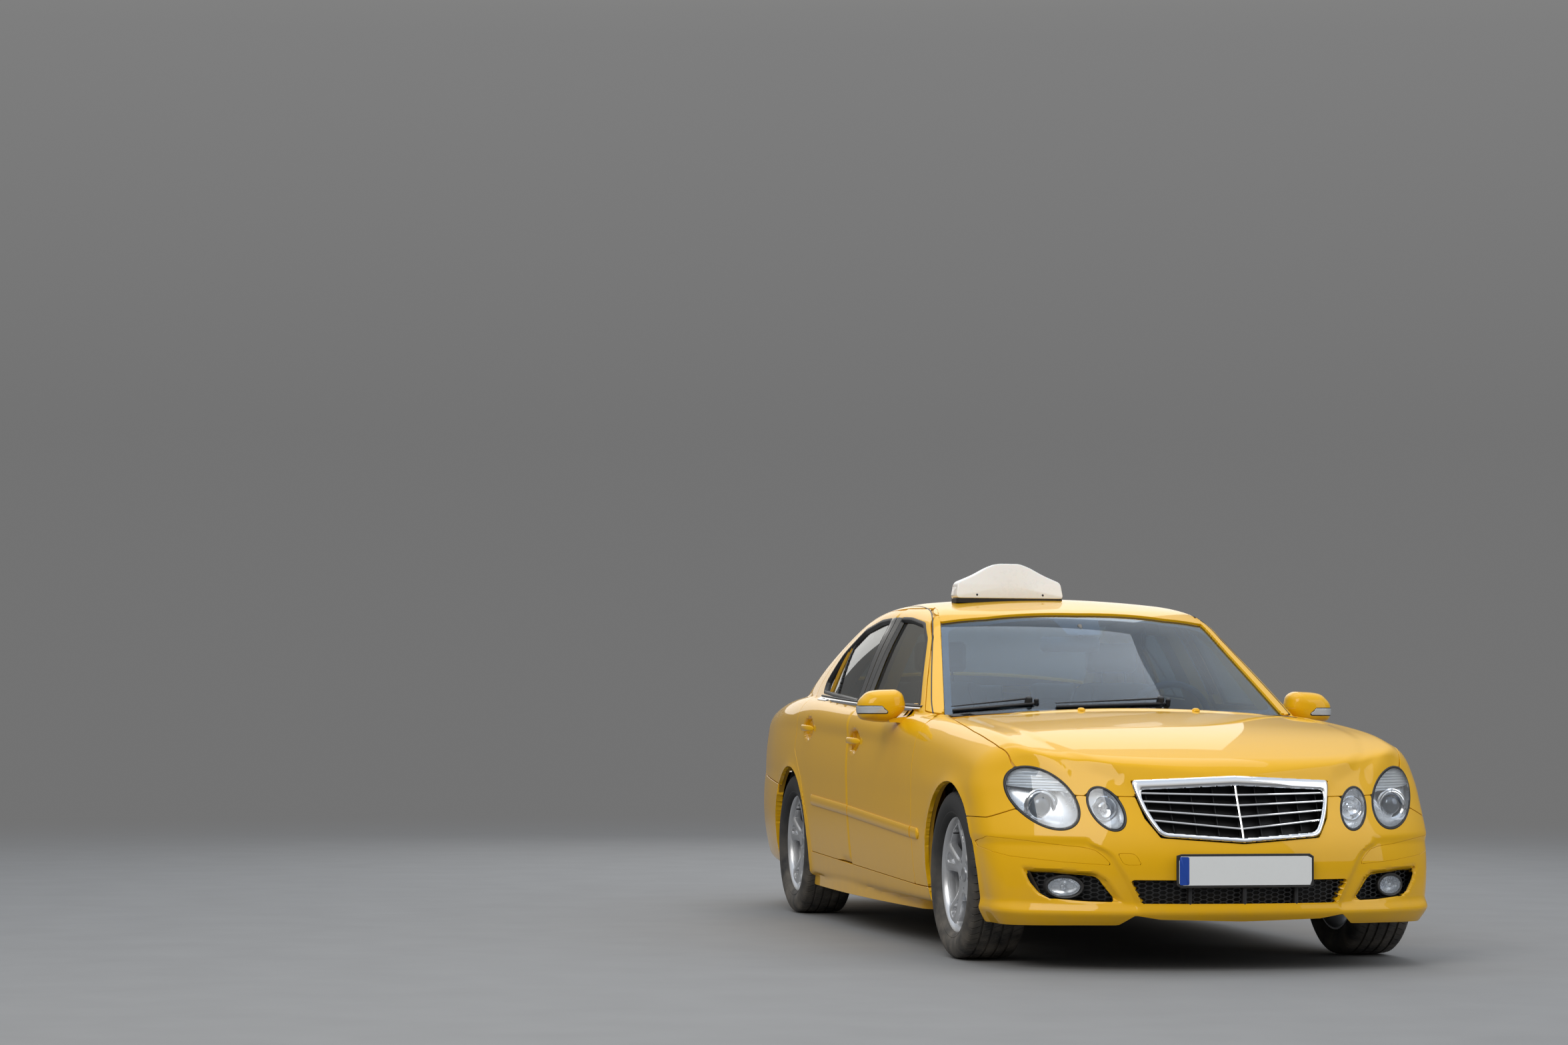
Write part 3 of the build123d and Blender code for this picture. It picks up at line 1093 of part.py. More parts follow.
def main():
    os.makedirs("parts", exist_ok=True)
    body, cab = lower_body(0), cabin(0)
    outer = body + cab
    body_skin, cab_skin = lower_body(SKIN), cabin(SKIN)
    inner = whole_car(DOOR_DEPTH)
    pocket = whole_car(DOOR_DEPTH + PANEL_GAP)
    deep = whole_car(DOOR_DEPTH + 32)
    wall = whole_car(PILLAR_DEPTH)
    inside = lower_body(SKIN + SEAT_GAP)
    cabin_front, cabin_back = cabin(12), cabin(12 + GLASS)

    bonnet, fender, bumper = build_front(body, body_skin)
    arm = bonnet_arm() & body_skin + box(300, 1100, -1060, -960, 700, 912)
    bonnet = joined([solids_of(bonnet)[0]] + both(arm))
    save("bonnet", bonnet)
    save("front_fenders", both(fender))
    save("front_bumper", bumper)
    save("radiator_grille", build_grille(lower_body(-8), lower_body(38), lower_body(22)))
    lamps = build_lamps(lower_body(1), lower_body(LAMP_DEPTH), lower_body(6), lower_body(60))
    save("headlamps", both(lamps[0]) + both(lamps[1]))
    save("fog_lamps", both(lamps[2]))
    save("bumper_grilles", build_bumper_grilles(lower_body(8), lower_body(24)))

    side = build_body_side(outer, pocket, deep, wall, inside)
    side = side + build_quarter(body, body_skin)
    for axle_y in (FRONT_AXLE_Y, REAR_AXLE_Y):
        side = side - arch_cut(axle_y, ARCH_RADIUS, 300, 1100)
        side = side - (arch_cut(axle_y, ARCH_RADIUS + HOUSING_WALL + SEAT_GAP, 300, 1100) & inside)
    save("body_side_left", side)
    save("body_side_right", mirror(side))
    save("roof_panel", build_roof(cab, cab_skin))
    save("cowl_panel", build_cowl(lower_body(2), lower_body(22), cabin(-1)))
    screen, window, front_glass, rear_glass = build_glass(cabin_front, cabin_back)
    save("windscreen", screen)
    save("rear_window", window)

    doors = build_doors(outer, inner, cab_skin)
    for name, glass in (("front", front_glass), ("rear", rear_glass)):
        save("door_" + name + "_left", doors[name])
        save("door_" + name + "_right", mirror(doors[name]))
        save("glass_" + name + "_left", glass)
        save("glass_" + name + "_right", mirror(glass))
    mirror_left = build_mirror(outer)
    save("mirror_left", mirror_left)
    save("mirror_right", mirror(mirror_left))

    save("boot_lid", build_boot_lid(body, body_skin))
    save("rear_bumper", build_rear_bumper(body, body_skin))
    save("tail_lamps", both((lower_body(0.5) - lower_body(50)) & tail_lamp_zone(0)
                            & box(300, 1100, 1900, 2500, 600, 1000)))
    save("taxi_sign", build_sign(cabin(-SEAT_GAP)))

    save("floor_pan", build_floor(inside))
    save("front_structure", build_front_structure(
        inside, lower_body(SKIN + 60), lower_body(LAMP_DEPTH + SEAT_GAP), lower_body(LAMP_DEPTH + 15)))
    save("rear_structure", build_rear_structure(inside, lower_body(SKIN + 60)))
    save("engine_block", build_engine())
    save("front_subframe", build_front_subframe())
    save("rear_subframe", build_rear_subframe())
    save("exhaust_system", build_exhaust())
    save("dashboard", build_dashboard(whole_car(PILLAR_DEPTH + 8)))
    save("front_seats", both(build_seats()))
    save("rear_bench", build_rear_bench())
    save("steering_wheel", build_steering_wheel())

    knuckle = build_knuckle()
    save("knuckle_left", knuckle)
    save("knuckle_right", mirror(knuckle))
    wheel, tyre = build_wheel(), build_tyre()
    for end, axle_y, centre_x in (("front", FRONT_AXLE_Y, FRONT_WHEEL_X), ("rear", REAR_AXLE_Y, REAR_WHEEL_X)):
        place = Location((centre_x, axle_y, TYRE_RADIUS))
        for part_name, part in (("wheel", wheel), ("tyre", tyre)):
            save(part_name + "_" + end + "_left", part.moved(place))
            save(part_name + "_" + end + "_right", mirror(part.moved(place)))


def save(name, shape):
    pieces = solids_of(shape)
    export_step(pieces[0] if len(pieces) == 1 else Compound(pieces), "parts/" + name + ".step")


main()
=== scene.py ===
import functools
import math

import bpy
import numpy as np
from mathutils import Matrix, Vector


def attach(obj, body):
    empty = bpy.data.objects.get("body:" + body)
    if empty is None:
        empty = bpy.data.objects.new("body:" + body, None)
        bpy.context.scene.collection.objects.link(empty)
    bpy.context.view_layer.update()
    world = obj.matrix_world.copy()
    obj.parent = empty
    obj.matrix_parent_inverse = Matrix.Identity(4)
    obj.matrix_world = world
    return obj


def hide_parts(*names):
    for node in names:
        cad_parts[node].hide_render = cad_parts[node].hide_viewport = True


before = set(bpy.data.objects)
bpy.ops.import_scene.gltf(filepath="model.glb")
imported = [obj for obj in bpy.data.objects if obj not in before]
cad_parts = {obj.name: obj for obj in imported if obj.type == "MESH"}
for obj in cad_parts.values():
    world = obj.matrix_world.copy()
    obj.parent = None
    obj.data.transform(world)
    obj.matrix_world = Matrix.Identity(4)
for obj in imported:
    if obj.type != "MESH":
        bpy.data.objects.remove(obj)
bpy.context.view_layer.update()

# Everything is in metres.  The nose points along -Y and the driver's side is +X.
LENGTH = 4.856
HALF_WIDTH = 0.911
ROOF_HEIGHT = 1.452
GROUND_CLEARANCE = 0.190
FRONT_Y = -LENGTH / 2
REAR_Y = LENGTH / 2
FRONT_AXLE_Y = FRONT_Y + 0.855
REAR_AXLE_Y = FRONT_AXLE_Y + 2.854
WHEEL_X = {"front": 0.7795, "rear": 0.776}
AXLE_Y = {"front": FRONT_AXLE_Y, "rear": REAR_AXLE_Y}
TYRE_RADIUS = 0.324
ARCH_RADIUS = 0.362
SILL_Z = 0.400
# Depth of a panel's turned edge, and the spacing of the grids that the panels are cut from
HEM = 0.016
GRID = 0.013

# Body sections: the columns are those of the solid model, in millimetres
BODY_SECTIONS = [
    # y, floor z and inset, sill inset, wide inset and z, crease inset and z, deck inset and z, crown z
    (-2428, 10, 71, 26, 53, 560, 111, 640, 271, 688, 696),
    (-2200, 10, 61, 23, 33, 580, 59, 680, 271, 766, 792),
    (-1900, 10, 49, 18, 29, 600, 29, 735, 231, 852, 872),
    (-1573, 5, 43, 15, 24, 610, 24, 775, 201, 897, 918),
    (-1050, 0, 39, 13, 23, 610, 23, 810, 151, 932, 968),
    (-300, 0, 36, 11, 19, 620, 19, 830, 71, 950, 985),
    (500, 0, 36, 11, 18, 630, 18, 850, 71, 978, 1010),
    (1281, 5, 41, 13, 21, 640, 21, 870, 111, 1012, 1060),
    (1800, 15, 66, 31, 45, 650, 45, 870, 176, 1000, 1060),
    (2428, 40, 151, 111, 131, 650, 131, 850, 271, 945, 990),
]
PLAN_LEVELS = [
    # z, setback of the nose, depth of its curve, setback of the tail, depth of its curve
    (150, 28, 560, 60, 330),
    (330, 8, 590, 4, 380),
    (480, 22, 620, 0, 400),
    (620, 88, 630, 22, 400),
    (760, 148, 640, 40, 420),
    (1100, 308, 640, 60, 420),
]
PLAN_HALF = HALF_WIDTH + 0.054
CABIN_LEVELS = [
    # z, screen y, edge x, edge y, pillar x, pillar y, side x, back x, back y, rear x, rear y, rear middle y
    (900, -1165, 765, -930, 822, -850, 874, 800, 1640, 640, 1830, 1900),
    (1100, -870, 684, -628, 738, -560, 790, 752, 1330, 600, 1500, 1570),
    (1250, -600, 622, -398, 672, -335, 718, 690, 1040, 560, 1190, 1255),
    (1360, -410, 574, -230, 622, -165, 655, 630, 800, 520, 935, 1000),
    (1412, -310, 520, -140, 568, -75, 602, 575, 650, 480, 790, 850),
    (1458, -220, 400, -40, 440, 20, 460, 440, 480, 370, 610, 660),
]
# Half width of the bonnet's raised middle and of its outer ridge, as (metres ahead of the middle, half width)
RIDGE_LINE = ((1.0, 1.46, 1.89, 2.10, 2.185, 2.235, 2.4), (0.665, 0.684, 0.645, 0.575, 0.502, 0.419, 0.38))
OUTER_RIDGE_LINE = ((1.2, 1.35, 1.77, 1.99, 2.09, 2.15, 2.3),
                    (0.742, 0.750, 0.762, 0.742, 0.678, 0.616, 0.560))
# Foot of the bonnet's step near the windscreen, as (half width, length)
BONNET_STEP = ((0.0, 0.119, 0.243, 0.523), (-1.174, -1.175, -1.186, -1.219))
# Edge of the bumper's middle part, as (height, half width)
BLADE_LINE = ((0.25, 0.341, 0.425, 0.446, 0.47), (0.386, 0.430, 0.478, 0.500, 0.552))
LIP_TOP_Z = 0.215
SECTION_CENTRE_Z = 0.60
CABIN_CENTRE_Y = 0.25
ROOF_CROWN_Y = 0.350
ROOF_RADIUS_LONG = 3.300
ROOF_RADIUS_WIDE = 5.200
NOSE_BLEND = 0.045
TAIL_BLEND = 0.060
ROOF_BLEND = 0.050


def spline(xs, ys, at):
    """Natural cubic spline: the second slopes solve the usual banded system, then each span is a cubic."""
    xs, ys, at = np.asarray(xs, float), np.asarray(ys, float), np.asarray(at, float)
    step = np.diff(xs)
    slope = np.diff(ys) / step
    matrix = np.eye(len(xs))
    right = np.zeros(len(xs))
    for i in range(1, len(xs) - 1):
        matrix[i, i - 1:i + 2] = step[i - 1], 2 * (step[i - 1] + step[i]), step[i]
        right[i] = 6 * (slope[i] - slope[i - 1])
    bend = np.linalg.solve(matrix, right)
    at = np.clip(at, xs[0], xs[-1])
    i = np.clip(np.searchsorted(xs, at) - 1, 0, len(xs) - 2)
    a, b = (xs[i + 1] - at) / step[i], (at - xs[i]) / step[i]
    return a * ys[i] + b * ys[i + 1] + ((a ** 3 - a) * bend[i] + (b ** 3 - b)
                                        * bend[i + 1]) * step[i] ** 2 / 6


def three_point_arcs(start, middle, end, count):
    """Points on the circle through three points, row by row: centre from the two perpendicular bisectors."""
    ax, ay = start
    bx, by = middle
    cx, cy = end
    twice = 2 * (ax * (by - cy) + bx * (cy - ay) + cx * (ay - by))
    twice = np.where(np.abs(twice) < 1e-9, 1e-9, twice)
    a2, b2, c2 = ax ** 2 + ay ** 2, bx ** 2 + by ** 2, cx ** 2 + cy ** 2
    ox = (a2 * (by - cy) + b2 * (cy - ay) + c2 * (ay - by)) / twice
    oy = (a2 * (cx - bx) + b2 * (ax - cx) + c2 * (bx - ax)) / twice
    radius = np.hypot(ax - ox, ay - oy)
    first = np.arctan2(ay - oy, ax - ox)
    through = (np.arctan2(by - oy, bx - ox) - first) % (2 * np.pi)
    last = (np.arctan2(cy - oy, cx - ox) - first) % (2 * np.pi)
    last = np.where(through > last, last - 2 * np.pi, last)
    angle = first[:, None] + last[:, None] * np.linspace(0, 1, count)
    return ox[:, None] + radius[:, None] * np.cos(angle), oy[:, None] + radius[:, None] * np.sin(angle)


def soften(table, spread, axis):
    """Gaussian blur along one axis, with the ends repeated."""
    reach = int(3 * spread) + 1
    weights = np.exp(-0.5 * (np.arange(-reach, reach + 1) / spread) ** 2)
    weights /= weights.sum()
    wide = np.take(table, np.clip(np.arange(-reach, table.shape[axis] + reach), 0, table.shape[axis] - 1),
                   axis)
    return np.apply_along_axis(lambda row: np.convolve(row, weights, "valid"), axis, wide)


class PolarTable:
    """Radius of a closed outline as a table over height or length and over the angle round a centre."""

    def __init__(self, along, angles, radii):
        """Evenly spaced rows and angles, and a radius for each pair of them."""
        self.along, self.angles, self.radii = along, angles, radii

    def radius(self, along, angle):
        """Radius at a row and an angle, evenly between the four nearest entries."""
        i = np.clip((along - self.along[0]) / (self.along[1] - self.along[0]), 0, len(self.along) - 1.001)
        j = np.clip((angle - self.angles[0]) / (self.angles[1] - self.angles[0]), 0, len(self.angles) - 1.001)
        i0, j0 = i.astype(int), j.astype(int)
        s, t = i - i0, j - j0
        low = self.radii[i0, j0] * (1 - t) + self.radii[i0, j0 + 1] * t
        high = self.radii[i0 + 1, j0] * (1 - t) + self.radii[i0 + 1, j0 + 1] * t
        return low * (1 - s) + high * s


def section_table():
    """Right half of each cross section, four arcs from floor to crown, as radius against angle."""
    rows = np.array(BODY_SECTIONS, float) / 1000
    y = np.linspace(-2.6, 2.6, 700)
    column = [spline(rows[:, 0], rows[:, k], y) for k in range(1, 11)]
    floor_rise, floor_in, sill_in, wide_in, wide_z, crease_in, crease_z, deck_in, deck_z, crown = column
    floor = (HALF_WIDTH - floor_in, GROUND_CLEARANCE + floor_rise)
    sill = (HALF_WIDTH - sill_in, np.full_like(y, SILL_Z))
    wide = (HALF_WIDTH - wide_in + 0.015, wide_z)
    crease = (HALF_WIDTH - crease_in, crease_z)
    deck = (HALF_WIDTH - deck_in, deck_z)
    flank = ((wide[0] + crease[0]) / 2 + 0.006, (wide[1] + crease[1]) / 2)
    shoulder = ((crease[0] + deck[0]) / 2 + 0.18 * (deck[1] - crease[1]),
                (crease[1] + deck[1]) / 2 - 0.18 * (deck[0] - crease[0]))
    middle = (np.zeros_like(y), crown)
    left_deck = (-deck[0], deck[1])
    pieces = [three_point_arcs(floor, sill, wide, 60), three_point_arcs(wide, flank, crease, 60),
              three_point_arcs(crease, shoulder, deck, 60), three_point_arcs(deck, middle, left_deck, 161)]
    pieces[3] = (pieces[3][0][:, :81], pieces[3][1][:, :81])
    x = np.concatenate([p[0] for p in pieces], axis=1)
    z = np.concatenate([p[1] for p in pieces], axis=1)
    bottom = np.linspace(0, 1, 40, endpoint=False)
    x = np.concatenate([x[:, :1] * bottom, x], axis=1)
    z = np.concatenate([np.repeat(z[:, :1], 40, 1), z], axis=1)
    angles = np.linspace(-np.pi / 2, np.pi / 2, 900)
    radii = np.empty((len(y), len(angles)))
    for i in range(len(y)):
        turn = np.arctan2(z[i] - SECTION_CENTRE_Z, x[i])
        radii[i] = np.interp(angles, turn, np.hypot(x[i], z[i] - SECTION_CENTRE_Z))
    radii = soften(soften(radii, 4.5, 1), 5, 0)
    return PolarTable(y, angles, radii)


def cabin_table():
    """Right half of each plan outline of the glasshouse, five arcs, as radius against angle."""
    rows = np.array(CABIN_LEVELS, float) / 1000
    z = np.linspace(0.85, 1.50, 330)
    column = [spline(rows[:, 0], rows[:, k], z) for k in range(1, 12)]
    screen_y, edge_x, edge_y, pillar_x, pillar_y, side_x, back_x, back_y, rear_x, rear_y, rear_mid = column

    def bowed(start, end, share):
        """Middle of an arc that leaves the straight line by a share of its length."""
        return ((start[0] + end[0]) / 2 + share * (end[1] - start[1]),
                (start[1] + end[1]) / 2 - share * (end[0] - start[0]))

    zero = np.zeros_like(z)
    edge, pillar, back, rear = (edge_x, edge_y), (pillar_x, pillar_y), (back_x, back_y), (rear_x, rear_y)
    across = three_point_arcs((-edge_x, edge_y), (zero, screen_y), edge, 161)
    behind = three_point_arcs(rear, (zero, rear_mid), (-rear_x, rear_y), 161)
    pieces = [(across[0][:, 80:], across[1][:, 80:]),
              three_point_arcs(edge, bowed(edge, pillar, 0.15), pillar, 30),
              three_point_arcs(pillar, (side_x, zero + 0.2), back, 160),
              three_point_arcs(back, bowed(back, rear, 0.17), rear, 40),
              (behind[0][:, :81], behind[1][:, :81])]
    x = np.concatenate([p[0] for p in pieces], axis=1)
    y = np.concatenate([p[1] for p in pieces], axis=1)
    angles = np.linspace(-np.pi / 2, np.pi / 2, 900)
    radii = np.empty((len(z), len(angles)))
    for i in range(len(z)):
        turn = np.arctan2(y[i] - CABIN_CENTRE_Y, x[i])
        radii[i] = np.interp(angles, turn, np.hypot(x[i], y[i] - CABIN_CENTRE_Y))
    radii = soften(soften(radii, 4, 1), 6, 0)
    return PolarTable(z, angles, radii)


SECTIONS = section_table()
CABIN = cabin_table()
PLAN_Z = np.linspace(0.10, 1.20, 400)
plan_rows = np.array(PLAN_LEVELS, float) / 1000
NOSE_BACK, NOSE_CURVE, TAIL_BACK, TAIL_CURVE = (spline(plan_rows[:, 0], plan_rows[:, k], PLAN_Z)
                                                for k in range(1, 5))


def smooth_max(a, b, blend):
    """The larger of two fields, rounded where they are within blend of each other."""
    h = np.clip(0.5 + 0.5 * (a - b) / blend, 0, 1)
    return b * (1 - h) + a * h + blend * h * (1 - h)


def bump(value, centre, half_width):
    """Smooth hill of height one, zero beyond half_width from its centre."""
    t = np.clip(np.abs(value - centre) / half_width, 0, 1)
    return (1 - t ** 2) ** 2


def ramp(value, low, high):
    """Smooth step from nought at low to one at high."""
    t = np.clip((value - low) / (high - low), 0, 1)
    return t * t * (3 - 2 * t)


def nose_limit(x, z):
    """Foremost y of the plan outline: a quarter of an ellipse whose depth changes with height."""
    back, curve = np.interp(z, PLAN_Z, NOSE_BACK), np.interp(z, PLAN_Z, NOSE_CURVE)
    share = np.clip(np.abs(x) / PLAN_HALF, 0, 0.999)
    return FRONT_Y + back + curve * (1 - np.sqrt(1 - share ** 2))


def tail_limit(x, z):
    """Rearmost y of the plan outline, in the same way."""
    back, curve = np.interp(z, PLAN_Z, TAIL_BACK), np.interp(z, PLAN_Z, TAIL_CURVE)
    share = np.clip(np.abs(x) / PLAN_HALF, 0, 0.999)
    return REAR_Y - back - curve * (1 - np.sqrt(1 - share ** 2))


def body_field(p):
    """Below zero inside the lower body: the section outline met by the nose and tail, with rounded joins."""
    x, y, z = np.abs(p[:, 0]), p[:, 1], p[:, 2]
    reach = np.hypot(x, z - SECTION_CENTRE_Z)
    hull = reach - SECTIONS.radius(y, np.arctan2(z - SECTION_CENTRE_Z, x))
    steep = 1 / np.sqrt(1 + (x / np.sqrt(np.clip(PLAN_HALF ** 2 - x ** 2, 0.01, 1)) * 0.65) ** 2)
    nose = (nose_limit(x, z) - y) * steep
    tail = (y - tail_limit(x, z)) * steep
    return smooth_max(smooth_max(hull, nose, NOSE_BLEND), tail, TAIL_BLEND) + body_detail(x, y, z)


def body_detail(x, y, z):
    """Pressed forms in metres outwards: bonnet ridges, bumper lip and blades, and flared wheel arches."""
    ahead = ramp(-y, 1.05, 1.35) * ramp(z, 0.66, 0.74)
    ridge = np.interp(-y, *RIDGE_LINE)
    dome = 0.009 * ramp(ridge - x, -0.02, 0.035) + 0.004 * bump(x, ridge - 0.005, 0.03)
    shoulder = 0.006 * bump(x, np.interp(-y, *OUTER_RIDGE_LINE), 0.035)
    pressed = ahead * (dome + shoulder - 0.004)
    step_line = np.interp(x, *BONNET_STEP)
    step = ramp(y, step_line - 0.008, step_line + 0.010) * ramp(0.545 - x, 0, 0.05) * ramp(-y, 1.06, 1.11)
    pressed = pressed + 0.006 * step * ramp(z, 0.80, 0.90)
    nose = ramp(-y, 1.75, 2.0)
    blade = np.interp(z, *BLADE_LINE)
    pressed = pressed - 0.009 * nose * ramp(x - blade, -0.006, 0.016) * ramp(z, 0.20, 0.26) * ramp(-z, -0.50,
                                                                                                   -0.46)
    pressed = pressed + 0.008 * nose * bump(z, 0.215, 0.045)
    for axle_y in (FRONT_AXLE_Y, REAR_AXLE_Y):
        away = np.hypot(y - axle_y, z - TYRE_RADIUS)
        lip = np.exp(-np.clip(away - ARCH_RADIUS, 0, 1) / 0.022) * (x > 0.6)
        pressed = pressed + 0.009 * lip
    return -pressed


def dome_height(x, y):
    """Roof: a shallow arc across on a long arc fore and aft."""
    profile = ROOF_RADIUS_LONG - x ** 2 / (2 * ROOF_RADIUS_WIDE)
    return ROOF_HEIGHT - ROOF_RADIUS_LONG + np.sqrt(np.clip(profile ** 2 - (y - ROOF_CROWN_Y) ** 2, 0, None))


def cabin_field(p):
    """Below zero inside the glasshouse: the plan outline at each height met by the roof dome."""
    x, y, z = np.abs(p[:, 0]), p[:, 1], p[:, 2]
    reach = np.hypot(x, y - CABIN_CENTRE_Y)
    wall = (reach - CABIN.radius(z, np.arctan2(y - CABIN_CENTRE_Y, x))) * 0.7
    return smooth_max(wall, z - dome_height(x, y), ROOF_BLEND)


def car_field(p):
    """Below zero inside the whole car: the lower of the two fields."""
    return np.minimum(body_field(p), cabin_field(p))


def gradient(field, p):
    """Unit outward direction by central differences."""
    step = 0.002
    slopes = [field(p + step * axis) - field(p - step * axis) for axis in np.eye(3)]
    slopes = np.stack(slopes, axis=1)
    return slopes / np.maximum(np.linalg.norm(slopes, axis=1, keepdims=True), 1e-9)


def hit(field, origin, direction, near, far):
    """Point on each ray where the field changes sign, found by halving the stretch from near to far."""
    low = np.full(len(origin), float(near))
    high = np.full(len(origin), float(far))
    for _ in range(26):
        middle = (low + high) / 2
        inside = field(origin + direction * middle[:, None]) < 0
        low = np.where(inside, middle, low)
        high = np.where(inside, high, middle)
    return origin + direction * ((low + high) / 2)[:, None]


def grid_faces(rows, columns, closed=False):
    """Triangles of a grid of rows by columns, facing along row direction cross column direction."""
    across = columns if closed else columns - 1
    i, j = np.meshgrid(np.arange(rows - 1), np.arange(across), indexing="ij")
    a, b = (i * columns + j).ravel(), (i * columns + (j + 1) % columns).ravel()
    c, d = a + columns, b + columns
    return np.concatenate([np.stack([a, c, b], 1), np.stack([b, c, d], 1)])


def clip(points, faces, keep):
    """The part of a triangle mesh where keep is above zero; crossed edges are cut where keep is zero."""
    keep = np.where(np.abs(keep) < 1e-6, 1e-6, keep)
    inside = keep > 0
    count = inside[faces].sum(axis=1)
    mixed = faces[(count == 1) | (count == 2)]
    whole = faces[count == 3]
    if not len(mixed):
        return points, whole
    lone_inside = inside[mixed].sum(axis=1) == 1
    first = (inside[mixed] == lone_inside[:, None]).argmax(axis=1)
    turned = np.take_along_axis(mixed, (first[:, None] + np.arange(3)) % 3, axis=1)
    a, b, c = turned.T
    edges = np.sort(np.concatenate([np.stack([a, b], 1), np.stack([a, c], 1)]), axis=1)
    code, back = np.unique(edges[:, 0] * len(points) + edges[:, 1], return_inverse=True)
    start, end = code // len(points), code % len(points)
    share = (keep[start] / (keep[start] - keep[end]))[:, None]
    cut = points[start] * (1 - share) + points[end] * share
    ids = len(points) + back.ravel()
    ab, ac = ids[:len(a)], ids[len(a):]
    lone, pair = lone_inside, ~lone_inside
    new_faces = np.concatenate([
        whole,
        np.stack([a[lone], ab[lone], ac[lone]], 1),
        np.stack([ab[pair], b[pair], c[pair]], 1),
        np.stack([ab[pair], c[pair], ac[pair]], 1),
    ])
    return np.concatenate([points, cut]), new_faces


def compact(points, faces):
    """Drops points that no face uses."""
    used, back = np.unique(faces, return_inverse=True)
    return points[used], back.reshape(faces.shape)


def face_normals(points, faces):
    """Normal of each triangle, by the cross product of two of its edges."""
    a, b, c = (points[faces[:, k]] for k in range(3))
    return np.cross(b - a, c - a)


def vertex_normals(points, faces):
    """Unit outward direction of each point: the sum of its triangles' normals."""
    normals = np.zeros_like(points)
    flat = face_normals(points, faces)
    for k in range(3):
        np.add.at(normals, faces[:, k], flat)
    return normals / np.maximum(np.linalg.norm(normals, axis=1, keepdims=True), 1e-12)


def free_edges(faces, count):
    """Directed edges that no neighbouring face runs back along."""
    edges = np.concatenate([faces[:, [0, 1]], faces[:, [1, 2]], faces[:, [2, 0]]])
    code = edges[:, 0] * count + edges[:, 1]
    return edges[~np.isin(code, edges[:, 1] * count + edges[:, 0])]


def hem(points, faces, depth=HEM, chamfer=0.0012, direction=None):
    """Turns the free edges in: a small chamfer outwards and down, then a flange along the inward normal.

    The flange's depth is one number or a function of the points."""
    points, faces = compact(points, faces)
    edges = free_edges(faces, len(points))
    normals = vertex_normals(points, faces)
    run = points[edges[:, 1]] - points[edges[:, 0]]
    side = np.cross(run, normals[edges[:, 0]])
    outward = np.zeros_like(points)
    np.add.at(outward, edges[:, 0], side)
    np.add.at(outward, edges[:, 1], side)
    rim = np.unique(edges)
    out = outward[rim]
    out /= np.maximum(np.linalg.norm(out, axis=1, keepdims=True), 1e-12)
    down = -normals[rim] if direction is None else np.broadcast_to(np.asarray(direction, float), out.shape)
    ring1 = points[rim] + chamfer * (out - normals[rim])
    ring2 = ring1 + (depth(ring1)[:, None] if callable(depth) else depth) * down
    place = np.zeros(len(points), int)
    place[rim] = np.arange(len(rim))
    first = len(points) + place[edges]
    second = first + len(rim)
    i, j = edges.T
    i1, j1 = first.T
    i2, j2 = second.T
    strips = np.concatenate([np.stack([j, i, i1], 1), np.stack([j, i1, j1], 1),
                             np.stack([j1, i1, i2], 1), np.stack([j1, i2, j2], 1)])
    return np.concatenate([points, ring1, ring2]), np.concatenate([faces, strips])


def flipped(mesh):
    """The same mesh on the other side of the car."""
    points, faces = mesh
    return points * np.array([-1.0, 1.0, 1.0]), faces[:, ::-1]


def with_twin(mesh):
    """A mesh and its like on the other side of the car, as one."""
    return joined(mesh, flipped(mesh))


def loop_area(loop):
    """Twice the signed area of a closed outline, above zero when it runs anticlockwise."""
    return np.sum(loop[:, 0] * np.roll(loop[:, 1], -1) - np.roll(loop[:, 0], -1) * loop[:, 1])


def lowest(*fields):
    """The smallest of several fields, above zero only where all of them are."""
    return functools.reduce(np.minimum, fields)


def joined(*meshes):
    """Several meshes as one, with the later ones' corner numbers moved up."""
    points, faces, start = [], [], 0
    for mesh_points, mesh_faces in meshes:
        points.append(mesh_points)
        faces.append(mesh_faces + start)
        start += len(mesh_points)
    return np.concatenate(points), np.concatenate(faces)


# Fields over an outline's plane, above zero inside the outline

def inside_polygon(a, b, outline, radius=0.0):
    """Signed distance to a closed polygon; with a radius the outer corners come out round."""
    outline = np.asarray(outline, float)
    if radius:
        outline = inset(outline, radius)
    best = np.full(a.shape, np.inf)
    inside = np.zeros(a.shape, bool)
    for (x0, y0), (x1, y1) in zip(outline, np.roll(outline, -1, axis=0)):
        dx, dy = x1 - x0, y1 - y0
        share = np.clip(((a - x0) * dx + (b - y0) * dy) / (dx * dx + dy * dy), 0, 1)
        best = np.minimum(best, np.hypot(a - x0 - share * dx, b - y0 - share * dy))
        crosses = (y0 > b) != (y1 > b)
        rise = np.where(dy == 0, 1e-12, dy)
        inside ^= crosses & (a < x0 + (b - y0) * dx / rise)
    return np.where(inside, best, -best) + radius


def inset(outline, amount):
    """Outline moved inwards: each corner goes along the sum of its two edges' inward normals."""
    before = outline - np.roll(outline, 1, axis=0)
    after = np.roll(outline, -1, axis=0) - outline
    before /= np.linalg.norm(before, axis=1, keepdims=True)
    after /= np.linalg.norm(after, axis=1, keepdims=True)
    turn = 1.0 if loop_area(outline) > 0 else -1.0
    n1 = turn * np.stack([-before[:, 1], before[:, 0]], 1)
    n2 = turn * np.stack([-after[:, 1], after[:, 0]], 1)
    both = n1 + n2
    return outline + amount * both / np.maximum(1 + np.sum(n1 * n2, axis=1), 0.2)[:, None]


